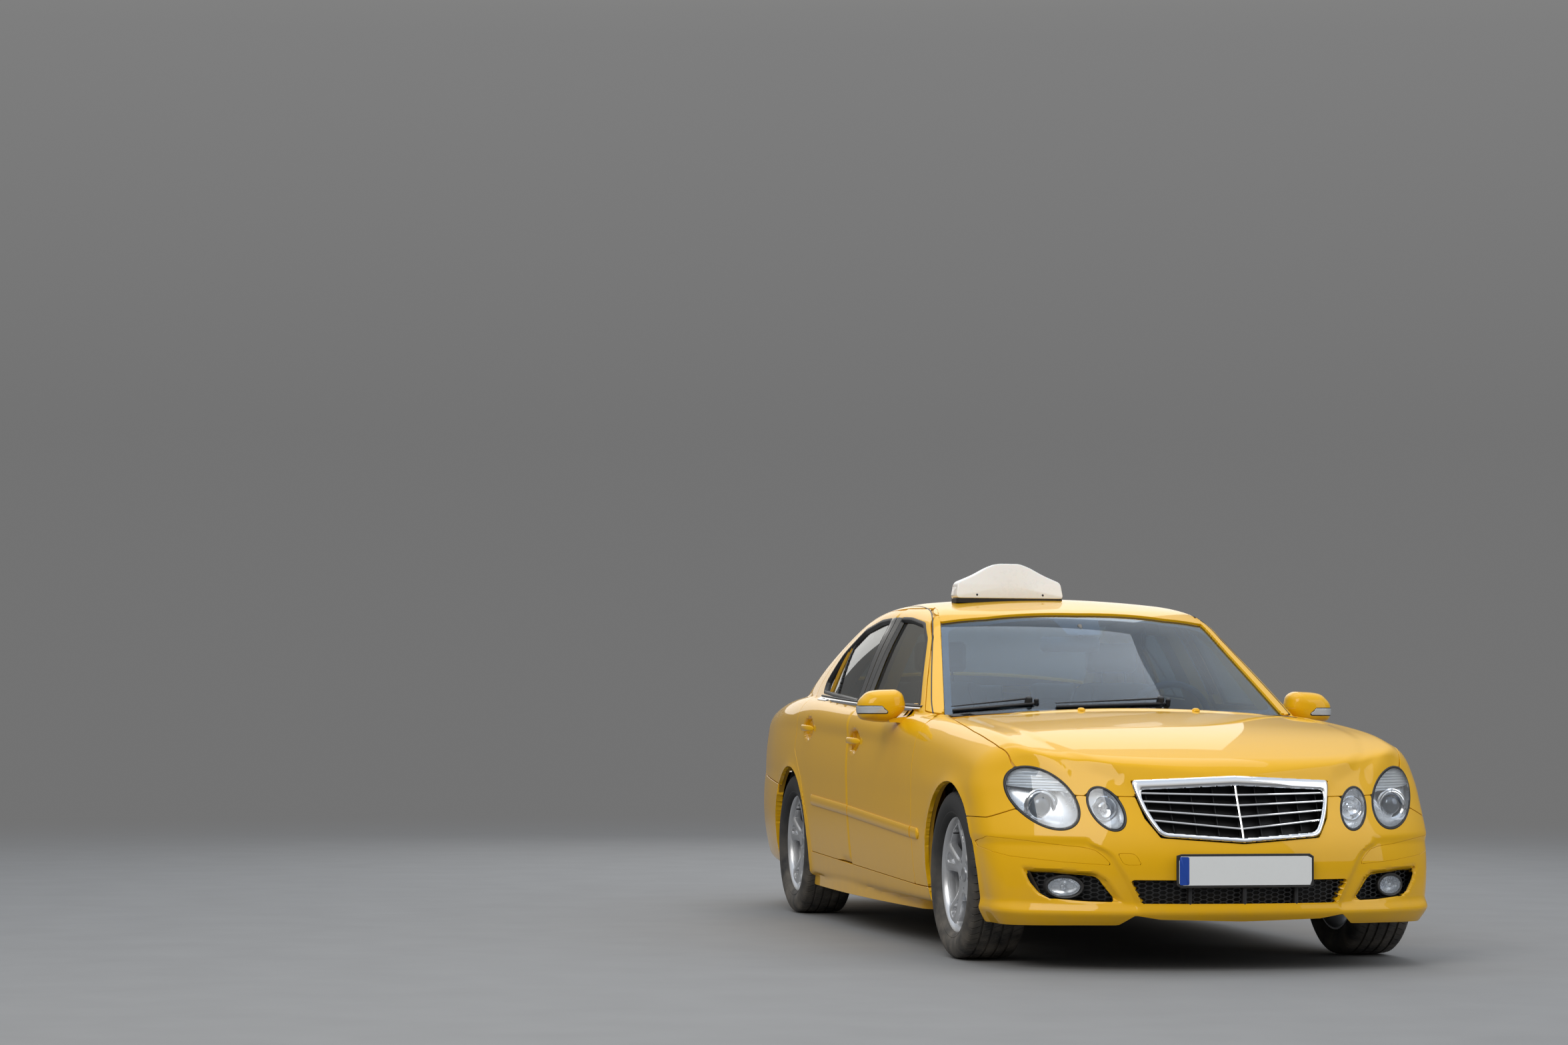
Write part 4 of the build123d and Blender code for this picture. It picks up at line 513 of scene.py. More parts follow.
def rounded(outline, radius, steps=6):
    """Outline with each corner replaced by an arc: a quadratic curve from edge to edge through the corner."""
    outline = np.asarray(outline, float)
    result = []
    for k in range(len(outline)):
        before, here, after = outline[k - 1], outline[k], outline[(k + 1) % len(outline)]
        to_before, to_after = before - here, after - here
        length_before, length_after = np.linalg.norm(to_before), np.linalg.norm(to_after)
        reach = min(radius, 0.45 * length_before, 0.45 * length_after)
        start, end = here + to_before / length_before * reach, here + to_after / length_after * reach
        for t in np.linspace(0, 1, steps):
            result.append((1 - t) ** 2 * start + 2 * t * (1 - t) * here + t ** 2 * end)
    return np.array(result)


def inside_ellipse(a, b, lamp, grow=0.0):
    """Distance, near the edge, to a tilted ellipse given as (centre a, centre b, long, short, tilt)."""
    x, z, long, short, tilt = lamp
    turn = math.radians(tilt)
    u = (a - x) * math.cos(turn) + (b - z) * math.sin(turn)
    v = -(a - x) * math.sin(turn) + (b - z) * math.cos(turn)
    r = np.sqrt((u / long) ** 2 + (v / short) ** 2)
    slope = np.sqrt((u / long ** 2) ** 2 + (v / short ** 2) ** 2) / np.maximum(r, 1e-9)
    return grow - (r - 1) / np.maximum(slope, 1e-9)


def make_object(name, mesh, body, material, smooth=35):
    """Mesh object from points and triangles, shaded smooth up to an angle, riding on its body."""
    points, faces = compact(*mesh)
    data = bpy.data.meshes.new(name)
    data.vertices.add(len(points))
    data.vertices.foreach_set("co", points.astype(np.float32).ravel())
    data.loops.add(len(faces) * 3)
    data.loops.foreach_set("vertex_index", faces.astype(np.int32).ravel())
    data.polygons.add(len(faces))
    data.polygons.foreach_set("loop_start", np.arange(0, len(faces) * 3, 3, dtype=np.int32))
    data.update(calc_edges=True)
    data.validate()
    data.shade_smooth()
    data.set_sharp_from_angle(angle=math.radians(smooth))
    data.materials.append(material)
    piece = bpy.data.objects.new(name, data)
    bpy.context.scene.collection.objects.link(piece)
    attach(piece, body)
    return piece


# Panel lines of the solid model, in millimetres, seen from the side as (y, z)
DOOR_FRONT_Y = -985
DOOR_SPLIT_Y = 80
DOOR_BOTTOM_Z = 285
DOOR_BOTTOM_RISE = 0.0264
SPLIT_LEAN = [(280, 0), (600, 20), (800, 40), (950, 60), (1390, 135)]
# Line between the body side and the screens and roof, seen from above, as (x, y)
ROOF_EDGE = [(742, -900), (590, -262), (548, -60), (530, 300), (530, 700), (528, 900), (566, 1190),
             (604, 1500), (625, 1655)]
BONNET_SIDE = [(740, -2600), (745, -2060), (775, -2010), (796, -1920), (800, -1780), (796, -1560),
               (780, -1300), (757, -1040)]
FENDER_SIDE = BONNET_SIDE + [(735, -990)]
BONNET_REAR = [(757, -1040), (620, -1068), (380, -1118), (0, -1140)]
BOOT_LID_EDGE = [(700, 1665), (688, 2300), (604, 2395), (604, 2600)]
BUMPER_LINE = [(404, 641), (582, 644), (791, 589), (872, 557), (1000, 552)]
TAIL_LAMP = [(2060, 842), (2230, 935), (2600, 935), (2600, 700), (2100, 712)]
REAR_BUMPER_LINE = [(1500, 588), (2500, 655)]
SILL_TOP_Z = 252
GRILLE_OUTLINE = [(0, 722), (391, 704), (353, 567), (306, 499), (0, 478)]
LOWER_GRILLE = [(427, 342), (383, 253)]
FOG_OPENING = [(769, 364), (675, 363), (542, 353), (524, 340), (496, 302), (461, 259), (561, 260), (694, 268),
               (723, 287), (751, 324)]
FOG_BEVEL = [(785, 385), (665, 380), (537, 370), (499, 345), (438, 255), (461, 255), (561, 256), (694, 264),
             (735, 283), (764, 322)]
FOG_LAMP = (0.640, 0.311, 0.0565, 0.0365, 0)
BUMPER_STRIP = [(895, 471), (879, 490), (831, 486), (764, 479), (671, 467), (578, 458), (539, 448),
                (510, 424), (483, 393), (645, 403), (813, 420), (864, 434), (890, 450)]
TOW_COVER = [(-466, 438), (-417, 438), (-401, 431), (-382, 396), (-436, 395), (-449, 403)]
LIP_LINE = [(0, 188), (310, 196), (404, 211), (455, 173), (592, 171), (700, 168), (880, 164), (960, 168)]
SEAM = 0.0022
PLATE_HALF_SIZE = (0.257, 0.053)
LARGE_LAMP = (0.693, 0.636, 0.134, 0.092, 45)
SMALL_LAMP = (0.485, 0.599, 0.084, 0.056, 64)


def metres(outline):
    """The same outline in metres."""
    return [(a / 1000, b / 1000) for a, b in outline]


def mirrored(outline):
    """A right half outline from the middle outwards and back, joined to its left half."""
    return outline + [(-x, z) for x, z in reversed(outline) if x]


def split_y(shift, z):
    """The line between the doors leans back with height."""
    heights, shifts = zip(*SPLIT_LEAN)
    return DOOR_SPLIT_Y + np.interp(z, heights, shifts) + shift


def door_bottom(y):
    """Height of the doors' lower edge, which rises evenly towards the rear."""
    return DOOR_BOTTOM_Z + DOOR_BOTTOM_RISE * y


FRONT_DOOR = [
    (DOOR_FRONT_Y, door_bottom(DOOR_FRONT_Y)), (DOOR_FRONT_Y, 900), (DOOR_FRONT_Y + 25, 925), (-792, 950),
    (-352, 1262), (-190, 1358), (-40, 1392), (split_y(0, 1390), 1398), (split_y(0, 950), 950),
    (split_y(0, 600), 600), (split_y(0, 280), door_bottom(DOOR_SPLIT_Y)),
]
REAR_DOOR = [
    (split_y(7, 280), door_bottom(DOOR_SPLIT_Y)), (split_y(7, 600), 600), (split_y(7, 950), 950),
    (split_y(7, 1390), 1398), (500, 1392), (800, 1348), (1010, 1236), (1185, 1060), (1185, 770), (1031, 640),
    (896, 440), (870, door_bottom(870)),
]
FRONT_WINDOW = [(-715, 972), (-330, 1258), (-200, 1326), (0, 1352), (split_y(-78, 1390), 1356),
                (split_y(-66, 950), 986)]
REAR_WINDOW = [(split_y(72, 950), 990), (split_y(78, 1390), 1356), (470, 1352), (740, 1316), (930, 1210),
               (1040, 1080), (1010, 1032)]
SIDE_ZONE = [
    (-1250, 150), (-1250, SILL_TOP_Z), (-975, SILL_TOP_Z), (-975, 935), (-900, 1000), (-200, 1500),
    (1655, 1500), (2600, 1500), (2600, 300), (1560, 300), (1560, 150),
]


def line_value(points, at):
    """Value along a broken line given as (position, value) pairs, in millimetres, read at metres."""
    positions, values = zip(*sorted(points))
    return np.interp(at * 1000, positions, values) / 1000


def half_width(line, y):
    """Half width at a length of a line seen from above, given as (x, y) pairs."""
    return line_value([(b, a) for a, b in line], y)


def bumper_top_z(x):
    """Height of the front bumper's upper edge, the same on both sides."""
    return line_value(BUMPER_LINE, np.abs(x))


def arch_field(y, z, radius=ARCH_RADIUS):
    """Above zero outside both wheel arches."""
    front = np.hypot(y - FRONT_AXLE_Y, z - TYRE_RADIUS)
    rear = np.hypot(y - REAR_AXLE_Y, z - TYRE_RADIUS)
    return np.minimum(front, rear) - radius


def lamp_field(x, z, grow):
    """Above zero outside the front lamps' openings."""
    large = -inside_ellipse(np.abs(x), z, LARGE_LAMP, grow)
    return np.minimum(large, -inside_ellipse(np.abs(x), z, SMALL_LAMP, grow))


def surface_points(field, x, y, z, direction, near, far, lift=None):
    """Points where rays from given places first cross a field, moved outwards by a lift if one is given."""
    x, y, z = np.broadcast_arrays(*(np.asarray(a, float) for a in (x, y, z)))
    origin = np.stack([x.ravel(), y.ravel(), z.ravel()], 1)
    points = hit(field, origin, np.broadcast_to(np.asarray(direction, float), origin.shape), near, far)
    if lift is None:
        return points
    return points + gradient(field, points) * np.broadcast_to(lift, x.shape).reshape(-1, 1)


def section_master(field, ys, centre_z, start, end, step):
    """Rays in planes of constant y from a line along the car, turning upwards from +X, in degrees."""
    angles = np.radians(np.arange(start, end, step))
    yy, aa = np.meshgrid(ys, angles, indexing="ij")
    origin = np.stack([np.zeros(yy.size), yy.ravel(), np.full(yy.size, centre_z)], 1)
    direction = np.stack([np.cos(aa).ravel(), np.zeros(aa.size), np.sin(aa).ravel()], 1)
    return hit(field, origin, direction, 0.02, 1.3), grid_faces(len(ys), len(angles))


def ray_master(field, xs, centre, start, end, step, far=2.0):
    """Rays in planes of constant x from a centre (y, z), turning from +Y upwards, in degrees."""
    angles = np.radians(np.arange(start, end, step))
    xx, aa = np.meshgrid(xs, angles, indexing="ij")
    origin = np.stack([xx.ravel(), np.full(xx.size, centre[0]), np.full(xx.size, centre[1])], 1)
    direction = np.stack([np.zeros(xx.size), np.cos(aa).ravel(), np.sin(aa).ravel()], 1)
    return hit(field, origin, direction, 0.02, far), grid_faces(len(xs), len(angles))[:, ::-1]


def round_master(field, centre_y, facing, spread, zs, steps):
    """Level rays from an upright line, turning spread degrees each way from facing along Y."""
    angles = np.radians(np.linspace(-spread, spread, steps))
    aa, zz = np.meshgrid(angles, zs, indexing="ij")
    origin = np.stack([np.zeros(aa.size), np.full(aa.size, centre_y), zz.ravel()], 1)
    direction = np.stack([np.sin(aa).ravel(), facing * np.cos(aa).ravel(), np.zeros(aa.size)], 1)
    faces = grid_faces(steps, len(zs))
    return hit(field, origin, direction, 0.1, 1.4), faces[:, ::-1] if facing > 0 else faces


def flank_points(y, z, lift=0.0):
    """Points on the +X flank at a height and length, moved outwards by lift."""
    return surface_points(car_field, 0.0, y, z, (1, 0, 0), 0.02, 1.1, lift)


def cad_mesh(node):
    """Points and triangles of a node of the solid model, with doubles merged by rounding."""
    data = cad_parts[node].data
    points = np.empty(len(data.vertices) * 3)
    data.vertices.foreach_get("co", points)
    data.calc_loop_triangles()
    faces = np.empty(len(data.loop_triangles) * 3, int)
    data.loop_triangles.foreach_get("vertices", faces)
    points = points.reshape(-1, 3)
    code = np.round(points * 1e5).astype(np.int64)
    _, first, back = np.unique(code, axis=0, return_index=True, return_inverse=True)
    faces = back.ravel()[faces.reshape(-1, 3)]
    good = (faces[:, 0] != faces[:, 1]) & (faces[:, 1] != faces[:, 2]) & (faces[:, 0] != faces[:, 2])
    return points[first], faces[good]


def inner_side(node, field, depth=0.005):
    """The solid model's panel without its outer skin, kept a little under the outside everywhere."""
    points, faces = cad_mesh(node)
    middle = points[faces].mean(axis=1)
    outward = gradient(field, middle)
    facing = face_normals(points, faces)
    facing /= np.maximum(np.linalg.norm(facing, axis=1, keepdims=True), 1e-12)
    outer = (field(middle) > -0.012) & (np.sum(facing * outward, axis=1) > 0.45)
    faces = faces[~outer]
    over = np.clip(field(points) + depth, 0, None)
    return compact(points - gradient(field, points) * over[:, None], faces)


# Finishes: shared effects are node groups, and each material gives them its own values

def new_group(name, inputs, outputs):
    """Empty node group with named sockets; each input is (kind, name, default)."""
    group = bpy.data.node_groups.new(name, "ShaderNodeTree")
    for kind, label, default in inputs:
        socket = group.interface.new_socket(label, in_out="INPUT", socket_type="NodeSocket" + kind)
        if default is not None:
            socket.default_value = default
    for kind, label in outputs:
        group.interface.new_socket(label, in_out="OUTPUT", socket_type="NodeSocket" + kind)
    start, end = group.nodes.new("NodeGroupInput"), group.nodes.new("NodeGroupOutput")
    return group, start, end


def node(tree, kind, values=None, **settings):
    """New shader node with its settings, and its inputs filled from numbers, colours or other sockets."""
    made = tree.nodes.new("ShaderNode" + kind)
    for key, value in settings.items():
        setattr(made, key, value)
    for key, value in (values or {}).items():
        if isinstance(value, bpy.types.NodeSocket):
            tree.links.new(value, made.inputs[key])
        else:
            made.inputs[key].default_value = value
    return made


def mottle_group():
    """Colour and roughness that drift a little over the surface: two noises of different size, added."""
    group, start, end = new_group("surface_drift", [
        ("Color", "Colour", (0.5, 0.5, 0.5, 1)), ("Float", "Scale", 6.0), ("Float", "Colour drift", 0.05),
        ("Float", "Roughness", 0.5), ("Float", "Roughness drift", 0.05),
    ], [("Color", "Colour"), ("Float", "Roughness"), ("Float", "Mask")])
    place = node(group, "TexCoord").outputs["Object"]
    coarse = node(group, "TexNoise", {"Vector": place, "Scale": start.outputs["Scale"], "Detail": 3.0})
    finer = node(group, "Math", {0: start.outputs["Scale"], 1: 9.0}, operation="MULTIPLY").outputs[0]
    fine = node(group, "TexNoise", {"Vector": place, "Scale": finer, "Detail": 2.0})
    mixed = node(group, "Math", {0: coarse.outputs["Fac"], 1: fine.outputs["Fac"]},
                 operation="ADD").outputs[0]
    signed = node(group, "Math", {0: mixed, 1: 1.0}, operation="SUBTRACT").outputs[0]
    lift = node(group, "Math", {0: signed, 1: start.outputs["Colour drift"]}, operation="MULTIPLY").outputs[0]
    value = node(group, "Math", {0: lift, 1: 1.0}, operation="ADD").outputs[0]
    colour = node(group, "HueSaturation", {"Color": start.outputs["Colour"], "Value": value}).outputs[0]
    rough = node(group, "Math", {0: signed, 1: start.outputs["Roughness drift"]},
                 operation="MULTIPLY").outputs[0]
    total = node(group, "Math", {0: rough, 1: start.outputs["Roughness"]}, operation="ADD",
                 use_clamp=True).outputs[0]
    group.links.new(colour, end.inputs["Colour"])
    group.links.new(total, end.inputs["Roughness"])
    group.links.new(signed, end.inputs["Mask"])
    return group


def dust_group():
    """Road dust: thick near the ground and thinning out with height, broken up by noise."""
    group, start, end = new_group("road_dust", [
        ("Color", "Colour", (0.5, 0.5, 0.5, 1)), ("Float", "Roughness", 0.5), ("Float", "Top", 0.45),
        ("Float", "Amount", 0.3),
    ], [("Color", "Colour"), ("Float", "Roughness")])
    place = node(group, "TexCoord").outputs["Object"]
    height = node(group, "SeparateXYZ", {0: place}).outputs["Z"]
    low = node(group, "MapRange", {"Value": height, "From Min": start.outputs["Top"], "From Max": 0.05,
                                   "To Min": 0.0, "To Max": 1.0}).outputs[0]
    noise = node(group, "TexNoise", {"Vector": place, "Scale": 14.0, "Detail": 5.0}).outputs["Fac"]
    patchy = node(group, "MapRange", {"Value": noise, "From Min": 0.3, "From Max": 0.75}).outputs[0]
    share = node(group, "Math", {0: low, 1: patchy}, operation="MULTIPLY").outputs[0]
    share = node(group, "Math", {0: share, 1: start.outputs["Amount"]}, operation="MULTIPLY",
                 use_clamp=True).outputs[0]
    colour = node(group, "Mix", {0: share, 6: start.outputs["Colour"], 7: (0.30, 0.26, 0.21, 1)},
                  data_type="RGBA")
    rough = node(group, "MapRange", {"Value": share, "To Min": start.outputs["Roughness"],
                                     "To Max": 0.85}).outputs[0]
    group.links.new(colour.outputs[2], end.inputs["Colour"])
    group.links.new(rough, end.inputs["Roughness"])
    return group


def grain_group():
    """Moulded plastic or leather grain: small cells and finer noise as a height."""
    group, start, end = new_group("fine_grain", [("Float", "Scale", 500.0)], [("Float", "Height")])
    place = node(group, "TexCoord").outputs["Object"]
    cells = node(group, "TexVoronoi", {"Vector": place, "Scale": start.outputs["Scale"]}, feature="SMOOTH_F1")
    noise = node(group, "TexNoise", {"Vector": place, "Scale": start.outputs["Scale"], "Detail": 2.0})
    height = node(group, "Math", {0: cells.outputs["Distance"], 1: noise.outputs["Fac"]},
                  operation="ADD").outputs[0]
    group.links.new(height, end.inputs["Height"])
    return group


DRIFT = mottle_group()
DUST = dust_group()
GRAIN = grain_group()


def material(name, colour, roughness, scale=5.0, drift=0.04, rough_drift=0.04, dust=0.0, dust_top=0.45,
             grain=0.0, grain_scale=500.0, flake=0.0, **shader):
    """Principled surface with drifting colour and roughness, and dust, grain and flake where asked."""
    made = bpy.data.materials.new(name)
    made.use_nodes = True
    tree = made.node_tree
    tree.nodes.clear()
    output = tree.nodes.new("ShaderNodeOutputMaterial")
    surface = tree.nodes.new("ShaderNodeBsdfPrincipled")
    tree.links.new(surface.outputs[0], output.inputs[0])
    varied = node(tree, "Group", node_tree=DRIFT)
    varied.inputs["Colour"].default_value = (*colour, 1)
    varied.inputs["Scale"].default_value = scale
    varied.inputs["Colour drift"].default_value = drift
    varied.inputs["Roughness"].default_value = roughness
    varied.inputs["Roughness drift"].default_value = rough_drift
    base, rough = varied.outputs["Colour"], varied.outputs["Roughness"]
    if flake:
        place = node(tree, "TexCoord").outputs["Object"]
        sparkle = node(tree, "TexWhiteNoise",
                       {"Vector": node(tree, "TexVoronoi", {"Vector": place, "Scale": 900.0})
                        .outputs["Position"]}).outputs["Value"]
        lift = node(tree, "MapRange", {"Value": sparkle, "To Min": 1 - flake, "To Max": 1 + flake}).outputs[0]
        base = node(tree, "HueSaturation", {"Color": base, "Value": lift}).outputs[0]
    if dust:
        dirty = node(tree, "Group", node_tree=DUST)
        dirty.inputs["Top"].default_value = dust_top
        dirty.inputs["Amount"].default_value = dust
        tree.links.new(base, dirty.inputs["Colour"])
        tree.links.new(rough, dirty.inputs["Roughness"])
        base, rough = dirty.outputs["Colour"], dirty.outputs["Roughness"]
    tree.links.new(base, surface.inputs["Base Color"])
    tree.links.new(rough, surface.inputs["Roughness"])
    if grain:
        cells = node(tree, "Group", node_tree=GRAIN)
        cells.inputs["Scale"].default_value = grain_scale
        bumped = node(tree, "Bump", {"Height": cells.outputs["Height"], "Strength": grain,
                                     "Distance": 0.0004})
        tree.links.new(bumped.outputs[0], surface.inputs["Normal"])
    for key, value in shader.items():
        surface.inputs[key.replace("_", " ")].default_value = value
    return made


def glass_material(name, colour, roughness=0.0, drift=0.03, **shader):
    """Clear or tinted glass, for closed sheets and lenses."""
    made = material(name, colour, roughness, drift=drift, rough_drift=0.01, **shader)
    surface = next(n for n in made.node_tree.nodes if n.type == "BSDF_PRINCIPLED")
    surface.inputs["Transmission Weight"].default_value = 1.0
    surface.inputs["IOR"].default_value = GLASS_IOR
    return made


GLASS_IOR = 1.4
YELLOW = (0.80, 0.43, 0.003)
PAINT = material("yellow_paint", YELLOW, 0.45, scale=3.0, drift=0.03, rough_drift=0.05, dust=0.12,
                 dust_top=0.42, Coat_Weight=0.8, Coat_Roughness=0.03, Coat_IOR=1.4, Specular_IOR_Level=0.08)
PAINT_INNER = material("yellow_primer", (0.62, 0.33, 0.02), 0.55, scale=8.0, drift=0.06, dust=0.25,
                       dust_top=0.6)
CHROME = material("chrome_plate", (0.80, 0.81, 0.83), 0.09, scale=9.0, drift=0.05, rough_drift=0.05,
                  Metallic=1.0)
SATIN = material("satin_metal", (0.55, 0.56, 0.58), 0.32, scale=20.0, drift=0.08, Metallic=1.0)
ALLOY = material("silver_alloy", (0.60, 0.61, 0.63), 0.30, scale=12.0, drift=0.05, rough_drift=0.08,
                 dust=0.18, dust_top=0.5, flake=0.06, Metallic=0.75, Coat_Weight=0.4, Coat_Roughness=0.1)
RUBBER = material("tyre_rubber", (0.022, 0.022, 0.023), 0.72, scale=18.0, drift=0.25, rough_drift=0.12,
                  dust=0.55, dust_top=0.5, grain=0.35, grain_scale=380.0)
SEAL = material("seal_rubber", (0.012, 0.012, 0.013), 0.42, scale=30.0, drift=0.2, grain=0.2,
                grain_scale=700.0)
GLOSS_BLACK = material("gloss_black", (0.008, 0.008, 0.009), 0.12, scale=10.0, drift=0.2, Coat_Weight=0.6,
                       Coat_Roughness=0.04)
BLACK_PLASTIC = material("black_plastic", (0.016, 0.016, 0.017), 0.48, scale=16.0, drift=0.18, dust=0.3,
                         dust_top=0.4, grain=0.45, grain_scale=520.0)
DARK_MESH = material("mesh_plastic", (0.010, 0.010, 0.011), 0.55, scale=22.0, drift=0.25, grain=0.2)
UNDERBODY = material("underbody_coat", (0.035, 0.034, 0.033), 0.8, scale=7.0, drift=0.35, dust=0.6,
                     dust_top=0.7, grain=0.6, grain_scale=220.0)
CAST = material("cast_metal", (0.16, 0.16, 0.165), 0.55, scale=14.0, drift=0.3, dust=0.5, dust_top=0.6,
                grain=0.5, grain_scale=260.0, Metallic=0.6)
EXHAUST = material("exhaust_metal", (0.30, 0.28, 0.26), 0.45, scale=9.0, drift=0.35, dust=0.4, dust_top=0.4,
                   Metallic=0.9)
DASH = material("dash_plastic", (0.045, 0.044, 0.045), 0.6, scale=12.0, drift=0.12, grain=0.5,
                grain_scale=420.0)
TRIM = material("cabin_trim", (0.20, 0.185, 0.165), 0.7, scale=10.0, drift=0.1, grain=0.4, grain_scale=420.0)
HEADLINING = material("headlining", (0.42, 0.40, 0.37), 0.9, scale=14.0, drift=0.08, grain=0.5,
                      grain_scale=900.0)
LEATHER = material("seat_leather", (0.055, 0.052, 0.050), 0.5, scale=8.0, drift=0.15, rough_drift=0.1,
                   grain=0.55, grain_scale=330.0)
SIGN_WHITE = material("sign_white", (0.80, 0.80, 0.78), 0.28, scale=6.0, drift=0.03, Coat_Weight=0.5,
                      Coat_Roughness=0.08, Subsurface_Weight=0.1)
PLATE_WHITE = material("plate_white", (0.78, 0.79, 0.78), 0.35, scale=9.0, drift=0.03)
PLATE_BLUE = material("plate_blue", (0.01, 0.06, 0.36), 0.35, scale=9.0, drift=0.05)
WINDOW = glass_material("window_glass", (0.34, 0.38, 0.37))
SCREEN = glass_material("screen_glass", (0.36, 0.50, 0.64))
LENS = glass_material("lamp_lens", (0.93, 0.95, 0.97))
RED_LENS = material("red_lens", (0.40, 0.010, 0.012), 0.22, scale=25.0, drift=0.15, Coat_Weight=1.0,
                    Coat_Roughness=0.02)
LAMP_BOWL = material("lamp_bowl", (0.86, 0.88, 0.91), 0.26, scale=16.0, drift=0.06, rough_drift=0.08,
                     Metallic=0.6)
RIB_PLASTIC = material("rib_plastic", (0.62, 0.65, 0.68), 0.18, scale=25.0, drift=0.08, Metallic=0.35,
                       Coat_Weight=0.8, Coat_Roughness=0.03)
DOME_GLASS = material("dome_glass", (0.10, 0.13, 0.17), 0.06, scale=25.0, drift=0.15, Metallic=0.4,
                      Coat_Weight=1.0, Coat_Roughness=0.02)
REFLECTOR = material("lamp_reflector", (0.82, 0.84, 0.87), 0.08, scale=20.0, drift=0.08, Metallic=1.0)


# Outer panels: each master grid is cut along the panel lines, and its edges are turned in

def slab(mesh, thickness):
    """Closed sheet: the surface, the same surface moved in by the thickness, and the edge between."""
    points, faces = compact(*mesh)
    edges = free_edges(faces, len(points))
    normals = vertex_normals(points, faces)
    count = len(points)
    i, j = edges.T
    walls = np.concatenate([np.stack([j, i, i + count], 1), np.stack([j, i + count, j + count], 1)])
    return np.concatenate([points, points - thickness * normals]), np.concatenate([faces, faces[:, ::-1]
                                                                                   + count, walls])


def dented(points, place, size, depth):
    """Points of the flank pushed in along X by a smooth dish of the given half sizes round a place (y, z)."""
    reach = np.hypot((points[:, 1] - place[0]) / size[0], (points[:, 2] - place[1]) / size[1])
    shift = depth * (1 - ramp(reach, 0.68, 1.0))
    return points - np.stack([shift, 0 * shift, 0 * shift], 1)


def both_sides(name, mesh, body, material, replaces=None, smooth=35):
    """One piece each side of the car; a body or node name ends in its side's name where it has a star."""
    made = []
    for side, half in (("left", mesh), ("right", flipped(mesh))):
        piece = make_object(name + "_" + side, half, body.replace("*", side), material, smooth)
        if replaces:
            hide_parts(*[n.replace("*", side) for n in replaces])
        made.append(piece)
    return made


SIDE_CENTRE_Z = 0.62
side_ys = np.concatenate([np.arange(-1.26, 2.0, GRID), np.arange(2.0, 2.43, 0.007)])
SIDE = section_master(car_field, side_ys, SIDE_CENTRE_Z, -33, 62, 0.7)
SIDE_X, SIDE_Y, SIDE_Z = SIDE[0].T
DOOR_OUTLINES = {"front": FRONT_DOOR, "rear": REAR_DOOR}
WINDOW_OUTLINES = {"front": FRONT_WINDOW, "rear": REAR_WINDOW}
HANDLES = {"front": (0.026, 0.820), "rear": (0.933, 0.867)}
EDGE_OF_SIDE = ROOF_EDGE + [(707, 1665), (695, 2300), (611, 2395), (611, 2600)]
WINDOW_RADIUS = 0.014

# Half size and depth of the dish behind a door handle, and half size of the shell's opening round it
DISH_HALF_SIZE = (0.104, 0.053)
DISH_DEPTH = 0.022
SHELL_OPENING = (0.125, 0.075)

# The rear door's front edge stands back, is rounded in and has no turned edge between these lengths,
# so that it swings clear of the front door
REAR_DOOR_SETBACK = 0.0045
REAR_DOOR_ROUNDING = 0.006
NO_FLANGE = (0.06, 0.25)

# A door or lid reaches past its outline by the first, and the panel beside it begins at the second
PAST_LINE = 0.001
BESIDE_LINE = 0.006

# Ahead of these lengths the bumper's upper edge, the grille and the headlamps bound the panels
FENDER_NOSE_Y = -1.6
BONNET_NOSE_Y = -1.8
FACE_Y = -1.9

# Ends of the panels: the fender's foot, the bumpers' ends, the boot lid's front and foot, and the deck strip
FENDER_FOOT_Z = 0.258
FRONT_BUMPER_END_Y = -1.693
REAR_BUMPER_START_Y = 1.567
BOOT_FRONT_Y = 1.664
BOOT_FOOT_Z = 0.662
DECK_REAR_Y = 1.657
DECK_HALF_WIDTH = 0.622
DECK_FRONT_Y = 1.50

# Front and rear edge of the roof panel, as (x, y) of the right half
ROOF_FRONT = [(0, -345), (400, -318), (590, -262)]
ROOF_REAR = [(0, 968), (300, 950), (528, 900)]


def door_flange(points):
    """None where the rear door's front edge swings in behind the front door, else the usual depth."""
    return np.where((points[:, 1] > NO_FLANGE[0]) & (points[:, 1] < NO_FLANGE[1]), 0.0005, HEM)


for end in ("front", "rear"):
    setback = REAR_DOOR_SETBACK * (1 - ramp(SIDE_Y, 0.25, 0.40)) if end == "rear" else 0.0
    inside_door = inside_polygon(SIDE_Y, SIDE_Z, metres(DOOR_OUTLINES[end])) + PAST_LINE - setback
    outside_window = -inside_polygon(SIDE_Y, SIDE_Z, metres(WINDOW_OUTLINES[end]), WINDOW_RADIUS)
    beyond_roof = SIDE_X - half_width(ROOF_EDGE, SIDE_Y) - 0.008
    points, faces = clip(*SIDE, lowest(inside_door, outside_window, beyond_roof))
    points = dented(points, HANDLES[end], DISH_HALF_SIZE, DISH_DEPTH)
    if end == "rear":
        from_edge = inside_polygon(points[:, 1], points[:, 2], metres(REAR_DOOR)) - REAR_DOOR_SETBACK
        rounding = (1 - ramp(from_edge, 0.0, 0.022)) * (1 - ramp(points[:, 1], 0.20, 0.30))
        points[:, 0] -= REAR_DOOR_ROUNDING * rounding
    both_sides("door_skin_" + end, hem(points, faces, door_flange), "door_" + end + "_*", PAINT,
               ["door_" + end + "_*"])
    shell_points, shell_faces = inner_side("door_" + end + "_left", car_field)
    from_handle = np.hypot((shell_points[:, 1] - HANDLES[end][0]) / SHELL_OPENING[0],
                           (shell_points[:, 2] - HANDLES[end][1]) / SHELL_OPENING[1])
    away = np.maximum(from_handle - 1, -0.03 - car_field(shell_points))
    both_sides("door_shell_" + end, clip(shell_points, shell_faces, away), "door_" + end + "_*", PAINT_INNER,
               smooth=30)

